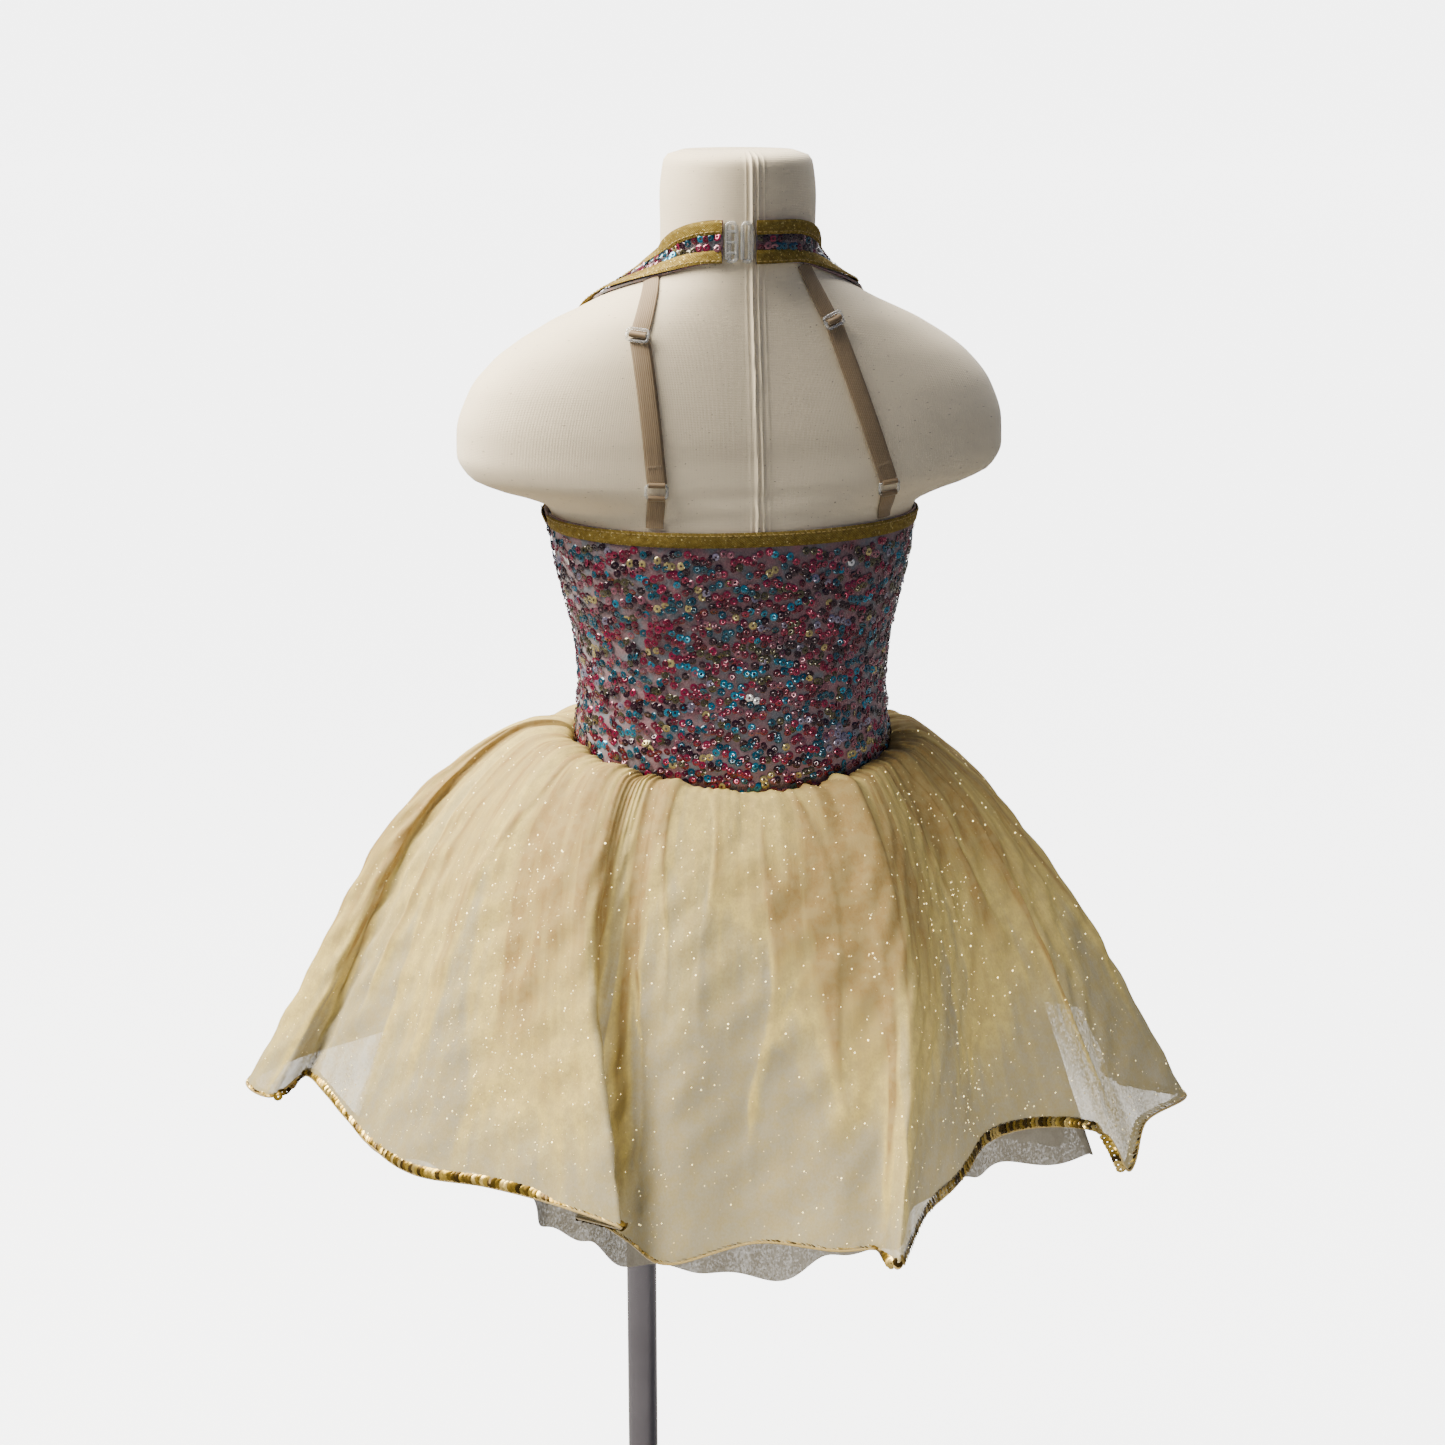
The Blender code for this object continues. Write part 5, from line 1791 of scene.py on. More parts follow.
@dataclass
class Bodice(BoundPart):
    """The sequinned back and front, and the binding along the back's top edge."""

    columns: int = 110
    rows: int = 56
    sequin_row: float = 0.0041
    sequin_lift: float = 0.0005
    binding_columns: int = 130
    more_front_rows: int = 34
    front_rise: float = 0.27
    back_rise: float = 0.142
    below_binding: float = 0.0018
    side_share: float = 0.985

    def back_places(self, across: Array, share: Array) -> Path:
        """Returns the back's places: across from -1 to 1, and a share of the way up.

        Args:
            across: Shares of the way from the centre to a side.
            share: Shares of the way up.

        Returns:
            Their turns and heights.
        """
        seam = CUT.seam_gap / 2 / FORM.width(CUT.back_top_side)
        turn = across * (math.pi / 2 - seam)
        low, high = CUT.hem(turn), CUT.back_top(turn)
        return turn, low + (high - low) * share

    def front_places(self, across: Array, share: Array) -> Path:
        """Returns the front's places: across from -1 to 1, and a share of the way up.

        Args:
            across: Shares of the way from the centre to a side.
            share: Shares of the way up.

        Returns:
            Their turns and heights.
        """
        across, share = np.broadcast_arrays(across, share)
        seam = CUT.seam_gap / 2 / FORM.width(CUT.back_top_side)
        inset = -CUT.band_width / 2 - CUT.binding_clear
        side_top = CUT.band_offset(np.array([180.0 - CUT.band_front]), inset)[1][0]
        level = CUT.hem_side + share * (side_top - CUT.hem_side)
        reach_width = SmoothCurve(CUT.armhole)(level)
        arm = np.pi - FORM.turn_at(-reach_width, level, front=True)
        reach = np.where(level <= CUT.armhole[0][0], math.pi / 2, np.abs(arm)) - seam
        turn = math.pi + across * reach
        top_turn, high = CUT.band_offset((180 + across * CUT.band_front).ravel(), inset)
        top_turn, high = top_turn.reshape(across.shape), high.reshape(across.shape)
        near_top = soft_step(level, CUT.armhole[-2][0], side_top)
        height = CUT.hem(turn) + (high - CUT.hem(turn)) * share
        return turn * (1 - near_top) + top_turn * near_top, height

    def panel(self, name: str, node: str, front: bool) -> Object:
        """Builds one panel of the bodice.

        Args:
            name: The panel's name.
            node: The node it stands for.
            front: Whether it is the front.

        Returns:
            The panel.
        """
        across = np.linspace(-1, 1, self.columns)[None, :]
        share = np.linspace(0, 1, self.rows + (self.more_front_rows if front else 0))[:, None]
        turn, height = self.front_places(across, share) if front else self.back_places(across, share)
        lift = CUT.clear + CUT.fold_lift(turn, height, front)
        outer, inner = FORM.lifted(turn, height, lift + CUT.wall), FORM.lifted(turn, height, lift)
        return dress(wall_mesh(name, outer, inner, self.finishes.mesh_cloth), Slot.SEQUIN_MESH, node)

    def sequin_lines(self, front: bool) -> list[Path]:
        """Returns the rows that the sequins follow.

        Args:
            front: Whether they lie on the front.

        Returns:
            Each row's turns and heights.
        """
        across = np.linspace(-self.side_share, self.side_share, 160)
        tallest = self.front_rise if front else self.back_rise
        count = int(tallest / self.sequin_row)
        bare = 0.0 if front else (CUT.binding_width + self.below_binding) / tallest
        places = self.front_places if front else self.back_places
        return [places(across, np.full(1, (row + 0.4) / count * (1 - bare))) for row in range(count)]

    def build(self) -> None:
        """Builds the panels, their sequins and the back's binding."""
        lift = CUT.clear + CUT.wall + self.sequin_lift
        for name, front, seed in (("back", False, 11), ("front", True, 12)):
            panel = self.panel(f"{name}_panel", f"bodice_{name}", front)
            spots = SequinRows(seed).spots(self.sequin_lines(front), lift, front)
            sequins = self.box.spots.lay(f"{name}_sequins", spots, self.box.sequin, 1.0, self.finishes.sequins)
            dress(sequins, Slot.SEQUIN_MESH)
        turn = np.radians(np.linspace(-89, 89, self.binding_columns))
        height = CUT.back_top(turn) - CUT.binding_width / 2 + CUT.seam_gap
        self.edge("back_edge", "back_binding", (turn, height), CUT.binding_width, 1)


@dataclass
class NeckBand(BoundPart):
    """The neck band with its bindings, which run on down the armholes, and the clasp at the nape."""

    columns: int = 200
    clasp_width: float = 0.0082
    clasp_length: float = 0.0230
    bar: float = 0.0011
    armhole_inset: float = 0.45
    armhole_clear: float = 0.0010
    corner: float = 0.0022
    corner_margin: float = 14.0
    chest_margin: float = 4.0
    band_rows: tuple[float, ...] = (-0.0026, 0.0022)
    chest_rows: tuple[float, ...] = (-0.0066, -0.0102)
    sequin_lift: float = 0.0007
    sequin_scale: float = 0.95

    def build(self) -> None:
        """Builds the band, its sequins, the bindings and the clasp."""
        degrees = np.linspace(CUT.band_right_end, 360 - CUT.band_left_end, self.columns)
        shape = strip_shape(*CUT.band(degrees), CUT.band_width, CUT.clear, CUT.wall, across=13)
        band = wall_mesh("neck_band_cloth", shape.outer, shape.inner, self.finishes.mesh_cloth)
        dress(band, Slot.SEQUIN_MESH, "neck_band")
        inset = (CUT.band_width - CUT.band_binding) / 2
        piece = self.edge("neck_edge", "neck_binding", CUT.band_offset(degrees, inset), CUT.band_binding, -1)
        lines = [CUT.band_offset(degrees, offset) for offset in self.band_rows]
        reach = CUT.band_front - self.chest_margin
        chest = np.linspace(180 - reach, 180 + reach, self.columns)
        lines += [CUT.band_offset(chest, offset) for offset in self.chest_rows]
        rows = SequinRows(13, pitch=0.0036, sway=0.0006, missing=0.02)
        spots = rows.spots(lines, CUT.clear + CUT.wall + self.sequin_lift, False)
        sequins = self.box.spots.lay("neck_band_sequins", spots, self.box.sequin, self.sequin_scale,
                                      self.finishes.sequins)
        dress(sequins, Slot.SEQUIN_MESH)
        for side in ("left", "right"):
            self.armhole_edge(side)
        self.clasp()

    def armhole_edge(self, side: str) -> None:
        """Builds the binding that runs along the band's lower edge and on down one armhole.

        Args:
            side: The wearer's side, left or right.
        """
        inset = (CUT.band_width - CUT.band_binding) / 2
        last = 180 - CUT.band_front - self.corner_margin
        first = CUT.band_left_end if side == "left" else CUT.band_right_end
        turn, height = CUT.band_offset(np.linspace(first, last, 7), -inset)
        drop = SmoothCurve(((CUT.armhole[0][0], 0.5), (CUT.armhole[3][0], 0.15), (CUT.armhole[-1][0], 0.0)))
        knots = [FORM.point(turn, height)]
        for level, width in reversed(CUT.armhole[1:-1]):
            lowered = level - CUT.band_binding * float(drop(level))
            reach = width - CUT.band_binding * self.armhole_inset
            knots.append(FORM.point(FORM.turn_at(np.array([-reach]), lowered, front=True), np.array([lowered])))
        knots.append(FORM.point(np.radians([91.0]), np.array([CUT.armhole[0][0] - CUT.band_binding / 2])))
        knots = np.concatenate(knots)
        dense = spline(knots, np.linspace(0, len(knots) - 1.001, 260), closed=False)
        turn, height = even_path(*FORM.under(dense), 0.0022)
        inward = 1 if side == "left" else -1
        self.edge("armhole_edge", "armhole_binding", (-turn * inward, height), CUT.band_binding, inward,
                  f"_{side}", self.armhole_clear, folds=True)

    def clasp(self) -> None:
        """Builds the two halves of the clear clasp."""
        middle_turn = (CUT.band_right_end - CUT.band_left_end) / 2
        turn, height = (np.atleast_1d(value) for value in CUT.band(middle_turn))
        for name, node, sign in (("clasp_loop_half", "clasp_loop", -1), ("clasp_hook_half", "clasp_hook", 1)):
            direction = np.array([[float(sign), 0.0, 0.0]])
            place = FORM.walk(turn, height, direction, self.clasp_width / 2 + CUT.seam_gap / 2)
            out = FORM.normal(*place)[0]
            along = unit(UP - out * out[2])
            across = np.cross(out, along)
            middle = FORM.point(*place)[0] + out * (CUT.clear + self.bar)
            made = []
            for outline, closed, radius in self.clasp_bars(sign):
                path = np.array([middle + across * x + along * z + out * lift for x, z, lift in outline])
                made.append(tube(path, radius, 10, closed))
            dress(closed_mesh(name, *join_parts(made), self.finishes.plastic), Slot.CLEAR_PLASTIC, node)

    def clasp_bars(self, sign: int) -> list[tuple[list[tuple[float, float, float]], bool, float]]:
        """Returns the lines of one clasp half: its frame, a bar across and, on one half, the hook.

        Args:
            sign: 1 for the half with the hook, -1 for the other.

        Returns:
            For each line its points, whether it closes and its radius.
        """
        half_x = self.clasp_width / 2 - self.bar - CUT.seam_gap
        half_z = self.clasp_length / 2 - self.bar
        frame_line = [(x, z, 0.0) for x, z in rounded_frame(half_x, half_z, self.corner)]
        bars = [(frame_line, True, self.bar)]
        reach = half_z - 0.0004
        bars.append(([(0.0010 * sign, -reach, 0.0001), (0.0010 * sign, 0.0, 0.0001), (0.0010 * sign, reach, 0.0001)],
                     False, self.bar * 0.85))
        if sign > 0:
            for level in (-0.0058, 0.0, 0.0058):
                bars.append(([(-half_x, level, 0.0002), (0.0, level, 0.0005), (half_x, level, 0.0002)],
                             False, self.bar * 0.75))
        return bars


class StrapPoint(NamedTuple):
    """A place on the back of the form, where a strap's run ends."""

    name: str
    side: str
    x: float
    height: float


STRAP_POINTS = tuple(StrapPoint(*row) for row in (
    ("bodice", "left", 0.0583, 0.8175),
    ("ring", "left", 0.0583, 0.8390),
    ("slider", "left", 0.0645, 0.9220),
    ("band", "left", 0.0539, 0.9478),
    ("bodice", "right", -0.0755, 0.8175),
    ("ring", "right", -0.0755, 0.8367),
    ("slider", "right", -0.0437, 0.9285),
    ("band", "right", -0.0325, 0.9522),
))


@dataclass
class Straps(Part):
    """The two elastic straps with their rings and sliders."""

    width: float = 0.0100
    wall: float = 0.0010
    clear: float = 0.0006
    end_gap: float = 0.0006
    ring_width: float = 0.0135
    ring_length: float = 0.0090
    slider_length: float = 0.0085
    bar: float = 0.00085
    layer_shift: float = 0.0012
    corner: float = 0.0017
    upper_ends: tuple[float, float] = (-0.004, -0.0085)
    slider_lift: float = 0.0004
    tack_row: int = 5
    tack_stitches: int = 9
    tack_share: float = 0.36

    def run(self, start: StrapPoint, end: StrapPoint, trims: tuple[float, float]) -> Path:
        """Returns the path of one run, cut short at its ends.

        Args:
            start: Where it starts.
            end: Where it ends.
            trims: How much is cut off at each end.

        Returns:
            The run's turns and heights.
        """
        a = FORM.point(FORM.turn_at(start.x, start.height), start.height)
        b = FORM.point(FORM.turn_at(end.x, end.height), end.height)
        length = float(np.linalg.norm(b - a))
        share = np.linspace(trims[0] / length, 1 - trims[1] / length, max(6, int(length / 0.002)))
        x = start.x + (end.x - start.x) * share
        height = start.height + (end.height - start.height) * share
        return FORM.turn_at(x, height), height

    def layer(self, name: str, path: Path, lift: float, shift: float, *nodes: str) -> StripShape:
        """Builds one layer of elastic along a path.

        Args:
            name: The layer's name.
            path: Its turns and heights.
            lift: How far it stands off the form.
            shift: How far it is moved sideways.
            nodes: The node it stands for, if any.

        Returns:
            Its shape.
        """
        shape = strip_shape(*path, self.width, lift, self.wall, across=9, roundness=0.35, shift=shift)
        dress(wall_mesh(name, shape.outer, shape.inner, self.finishes.elastic), Slot.NUDE_ELASTIC, *nodes)
        return shape

    def hardware(self, name: str, node: str, point: StrapPoint, path: Path, length: float,
                 lift: float, middle_bar: bool) -> None:
        """Builds a ring or a slider: a round-cornered frame, with a bar across a slider.

        Args:
            name: The piece's name.
            node: The node it stands for.
            point: Where it sits.
            path: The run that it lines up with.
            length: Its length.
            lift: How far it stands off the form.
            middle_bar: Whether it has a bar across.
        """
        turn = np.atleast_1d(FORM.turn_at(point.x, point.height))
        out = FORM.normal(turn, np.array([point.height]))[0]
        centre = FORM.point(turn, np.array([point.height]))[0] + out * (lift + self.bar)
        ends = FORM.point(path[0][[0, -1]], path[1][[0, -1]])
        along = ends[1] - ends[0]
        along = unit(along - out * along.dot(out))
        across = np.cross(out, along)
        half_x, half_z = self.ring_width / 2 - self.bar, length / 2 - self.bar
        outline = [centre + across * x + along * z for x, z in rounded_frame(half_x, half_z, self.corner)]
        parts = [tube(np.array(outline), self.bar, 10, True)]
        if middle_bar:
            line = np.array([centre + across * x for x in (-half_x, 0.0, half_x)])
            parts.append(tube(line, self.bar * 0.9, 10, False))
        dress(closed_mesh(name, *join_parts(parts), self.finishes.plastic), Slot.CLEAR_PLASTIC, node)
        self.wraps(name, centre, across, along, out, half_z, middle_bar)

    def wraps(self, name: str, centre: Array, across: Array, along: Array, out: Array, half_z: float,
              middle_bar: bool) -> None:
        """Builds the folds of elastic that pass round the bars.

        Args:
            name: The hardware's name.
            centre: Its middle.
            across: Its direction across.
            along: Its direction along the strap.
            out: Its direction off the form.
            half_z: Half its length.
            middle_bar: Whether it has a bar across.
        """
        reach = self.width / 2 - 0.0004
        made = []
        for level in ((0.0,) if middle_bar else (-half_z, half_z)):
            line = np.array([centre + across * x + along * level + out * 0.0001
                             for x in np.linspace(-reach, reach, 9)])
            made.append(tube(line, self.bar + self.wall * 0.75, 14, False))
        dress(closed_mesh(f"{name}_elastic", *join_parts(made), self.finishes.elastic), Slot.NUDE_ELASTIC)

    def build(self) -> None:
        """Builds both straps."""
        for side in ("left", "right"):
            bodice, ring, slider, band = [point for point in STRAP_POINTS if point.side == side]
            half_ring = self.ring_length / 2 - self.bar
            stub = self.run(bodice, ring, (0.0, half_ring))
            self.layer(f"strap_{side}_stub", stub, self.clear, 0.0, f"strap_stub_{side}")
            lower = self.run(ring, slider, (half_ring, self.end_gap))
            self.layer(f"strap_{side}_under", lower, self.clear, -self.layer_shift)
            top = self.layer(f"strap_{side}_over", lower, self.clear + self.wall, 0.0, f"strap_lower_{side}")
            upper = self.run(slider, band, (0.0, self.upper_ends[0 if side == "left" else 1]))
            self.layer(f"strap_{side}_upper", upper, self.clear, 0.0, f"strap_upper_{side}")
            self.hardware(f"{side}_ring", f"strap_ring_{side}", ring, stub, self.ring_length, self.clear, False)
            self.hardware(f"{side}_slider", f"strap_slider_{side}", slider, upper, self.slider_length,
                          self.clear + 2 * self.wall + self.slider_lift, True)
            self.tack(f"strap_{side}_tack", top)

    def tack(self, name: str, shape: StripShape) -> None:
        """Sews the short bar of stitches that holds the lower run's end.

        Args:
            name: The stitches' name.
            shape: The lower run's upper layer.
        """
        row, count = self.tack_row, self.tack_stitches
        shares = np.linspace(-self.tack_share, self.tack_share, count)
        points = shape.middle[row] + shape.side[row] * (shares * self.width)[:, None]
        facing, along = (np.repeat(values[row][None], count, 0) for values in (shape.facing, shape.along))
        spots = Spots(points, facing, along, np.full(count, 0.8), np.ones((count, 4)))
        dress(self.box.spots.lay(name, spots, self.box.stitch, 1.0, self.finishes.tan_thread), Slot.NUDE_ELASTIC)


# The skirt


class HemFold(NamedTuple):
    """One ridge, valley or turned edge of a skirt layer: where it starts and where its hem lies."""

    name: str
    seam_turn: float
    hem_turn: float
    radius: float
    height: float


OUTER_FOLDS = tuple(HemFold(*row) for row in (
    ("left tip", -106, -104.0, 0.304, 0.4500),
    ("left pocket", -103, -98.5, 0.285, 0.4505),
    ("left notch", -100, -100.5, 0.267, 0.4600),
    ("left panel start", -97, -95.5, 0.255, 0.4640),
    ("left panel fall", -91, -89.0, 0.241, 0.4560),
    ("left panel turn", -83, -80.0, 0.231, 0.4500),
    ("left panel trim", -74, -66.0, 0.226, 0.4530),
    ("back left", -63, -52.0, 0.214, 0.4600),
    ("back left inner", -52, -39.0, 0.214, 0.4620),
    ("first fold edge", -42, -27.5, 0.226, 0.4615),
    ("first fold under", -38, -38.5, 0.193, 0.4450),
    ("first fold turn", -34, -38.0, 0.182, 0.4410),
    ("second panel", -29, -29.5, 0.194, 0.4370),
    ("second panel low", -20, -21.5, 0.214, 0.4365),
    ("second panel mid", -6, -8.5, 0.201, 0.4440),
    ("third panel low", 9, 2.5, 0.219, 0.4450),
    ("second fold", 22, 8.5, 0.226, 0.4455),
    ("second fold tip", 29, 9.0, 0.249, 0.4455),
    ("sweep start", 36, 18.0, 0.212, 0.4510),
    ("sweep", 42, 29.0, 0.196, 0.4560),
    ("sweep crest", 49, 41.0, 0.187, 0.4645),
    ("sweep far", 56, 52.5, 0.203, 0.4620),
    ("right curl", 62, 57.5, 0.235, 0.4550),
    ("right curl edge", 66, 58.0, 0.251, 0.4330),
    ("right curl back", 71, 64.5, 0.256, 0.4530),
    ("right tip", 76, 74.0, 0.280, 0.4530),
    ("right pocket", 83, 78.5, 0.238, 0.4560),
    ("right side", 90, 90.5, 0.258, 0.4500),
    ("right side flute", 96, 98.5, 0.284, 0.4510),
    ("right side turn", 102, 106.5, 0.274, 0.4500),
    ("front right valley", 113, 121.0, 0.228, 0.4560),
    ("front right flute", 125, 136.0, 0.270, 0.4460),
    ("front valley", 137, 149.5, 0.216, 0.4570),
    ("front flute", 149, 165.0, 0.258, 0.4470),
    ("front fold edge", 161, 181.0, 0.238, 0.4560),
    ("front fold under", 166, 173.5, 0.210, 0.4460),
    ("front fold turn", 171, 173.5, 0.198, 0.4430),
    ("front panel", 177, 182.5, 0.209, 0.4400),
    ("front panel low", 187, 197.0, 0.243, 0.4430),
    ("front left valley", 200, 211.0, 0.212, 0.4560),
    ("front left flute", 214, 225.5, 0.272, 0.4470),
    ("front left dip", 228, 237.5, 0.234, 0.4580),
    ("left rise", 242, 248.5, 0.272, 0.4540),
))

NET_FOLDS = tuple(HemFold(*row) for row in (
    ("left", -100, -97.0, 0.232, 0.4330),
    ("left back", -80, -76.0, 0.204, 0.4400),
    ("back left", -63, -60.0, 0.176, 0.4400),
    ("back step", -51, -47.0, 0.180, 0.4240),
    ("under first fold", -38, -38.0, 0.169, 0.4170),
    ("back", -16, -18.0, 0.186, 0.4165),
    ("back right", 6, 2.0, 0.183, 0.4165),
    ("under second fold", 22, 16.0, 0.186, 0.4240),
    ("under sweep", 40, 34.0, 0.164, 0.4330),
    ("right sweep", 54, 50.0, 0.182, 0.4350),
    ("right flute", 68, 62.5, 0.226, 0.4290),
    ("right", 84, 79.0, 0.208, 0.4350),
    ("front right", 104, 104.0, 0.240, 0.4330),
    ("front right valley", 120, 124.0, 0.200, 0.4320),
    ("front flute", 140, 143.0, 0.200, 0.4270),
    ("front", 163, 166.0, 0.186, 0.4240),
    ("front left", 186, 188.0, 0.186, 0.4270),
    ("front left valley", 206, 210.0, 0.192, 0.4290),
    ("front left flute", 226, 228.0, 0.214, 0.4310),
    ("left front", 246, 248.0, 0.226, 0.4330),
))


class BellPoint(NamedTuple):
    """One level of a skirt layer, as shares of the way from the seam to its hem."""

    name: str
    out: float
    down: float
    fan: float
    lean: float


BELL = tuple(BellPoint(*row) for row in (
    ("seam", 0.000, 0.000, 0.00, 0.000),
    ("gathers", 0.026, -0.010, 0.02, 0.004),
    ("puff", 0.130, -0.016, 0.08, 0.024),
    ("crown", 0.320, 0.070, 0.24, 0.052),
    ("shoulder", 0.505, 0.240, 0.42, 0.048),
    ("fall", 0.668, 0.460, 0.60, 0.022),
    ("lower fall", 0.812, 0.700, 0.79, 0.008),
    ("hem", 1.000, 1.000, 1.00, 0.000),
))
HEM_LEVEL = len(BELL) - 1.0


class Crease(NamedTuple):
    """A long crease of the outer skirt, from a place and level to another.

    Places count the folds round the hem, levels run from 0 at the seam to 7 at the hem. A crease
    stands out by a share of its width, or sinks where that is negative, and gathers extra layers of
    cloth. Its crisp side is 1 towards -X, -1 towards +X and 0 where both sides are soft.
    """

    start: tuple[float, float]
    end: tuple[float, float]
    width: float
    rise: float
    layers: float
    crisp: int


CREASES = tuple(Crease(*row) for row in (
    ((1.2, 0.6), (2.2, 6.9), 0.55, 0.24, 1.3, 1),
    ((2.6, 0.9), (3.0, 6.2), 0.45, -0.22, 0.4, 0),
    ((4.2, 0.4), (3.5, 6.4), 0.40, 0.28, 1.1, -1),
    ((5.0, 1.0), (4.6, 5.4), 0.35, -0.22, 0.1, 0),
    ((7.2, 0.5), (5.2, 6.6), 0.34, 0.30, 1.1, 1),
    ((7.8, 0.8), (6.4, 5.2), 0.40, -0.24, 0.0, 0),
    ((8.6, 0.4), (7.1, 6.4), 0.34, 0.16, 0.7, -1),
    ((9.4, 0.3), (8.7, 5.4), 0.34, 0.12, 0.9, 0),
    ((10.9, 0.2), (11.9, 6.9), 0.60, 0.14, 1.5, 0),
    ((12.3, 0.4), (12.6, 5.4), 0.24, 0.20, 1.2, 1),
    ((11.5, 1.6), (12.2, 6.6), 0.20, -0.30, 1.0, -1),
    ((13.3, 0.3), (13.4, 6.0), 0.20, 0.24, 0.6, -1),
    ((14.4, 2.0), (14.0, 6.9), 0.16, 0.36, 1.1, -1),
    ((14.1, 1.0), (13.7, 5.6), 0.26, -0.22, 0.1, 0),
    ((14.9, 0.2), (15.3, 6.3), 0.22, 0.26, 0.9, 1),
    ((15.4, 0.1), (15.9, 4.8), 0.90, 0.02, 3.4, 0),
    # A wide, nearly flat crease that takes layers away in the lower centre: thinner, more see-through cloth there,
    # whose darker, greyer single tone is partly painted shade.
    ((13.2, 3.4), (13.6, 7.4), 1.70, -0.02, -1.3, 0),
    ((15.9, 0.2), (16.25, 6.9), 0.26, 0.22, 2.6, 0),
    ((16.7, 0.6), (16.7, 4.6), 0.22, 0.24, 1.8, 1),
    ((18.6, 0.3), (20.2, 5.6), 0.30, 0.22, 0.7, -1),
    ((19.6, 0.3), (21.6, 5.8), 0.30, 0.26, 1.0, 1),
    ((21.4, 0.5), (23.1, 6.7), 0.34, 0.30, 1.6, 1),
    ((22.2, 1.4), (23.7, 6.0), 0.34, -0.24, 0.2, 0),
    ((24.4, 0.7), (24.6, 6.2), 0.34, 0.26, 1.0, -1),
    ((26.3, 0.4), (27.2, 6.6), 0.38, 0.26, 1.0, 1),
    ((27.6, 1.0), (28.0, 5.8), 0.36, -0.24, 0.1, 0),
    ((29.4, 0.3), (30.2, 6.2), 0.36, 0.24, 0.9, -1),
    ((31.2, 0.4), (31.6, 6.8), 0.30, 0.30, 1.2, 1),
    ((32.8, 0.6), (32.6, 5.6), 0.34, -0.22, 0.2, 0),
    ((33.9, 0.3), (33.5, 6.5), 0.28, 0.28, 1.0, -1),
    ((35.2, 0.2), (35.6, 6.9), 0.40, 0.20, 2.2, 0),
    ((37.4, 0.4), (37.9, 6.4), 0.30, 0.26, 0.8, 1),
    ((38.6, 1.0), (38.4, 5.4), 0.36, -0.24, 0.1, 0),
    ((39.8, 0.3), (40.4, 6.6), 0.34, 0.30, 1.2, -1),
    ((41.0, 0.8), (41.2, 5.8), 0.34, -0.22, 0.1, 0),
    ((42.2, 0.4), (42.4, 6.5), 0.34, 0.26, 1.0, 1),
    ((13.3, 5.3), (14.5, 6.3), 0.20, 0.12, 0.5, 0),
    ((14.5, 6.3), (15.6, 5.9), 0.18, 0.10, 0.4, 0),
    ((7.3, 6.2), (8.9, 5.7), 0.22, 0.10, 0.35, 0),
    ((18.8, 6.3), (20.6, 5.8), 0.24, 0.12, 0.4, 0),
))


class Gather(NamedTuple):
    """A family of gathers that starts at the seam and fades down the skirt."""

    count: int
    size: float
    fade: float
    uneven: float
    seed: int


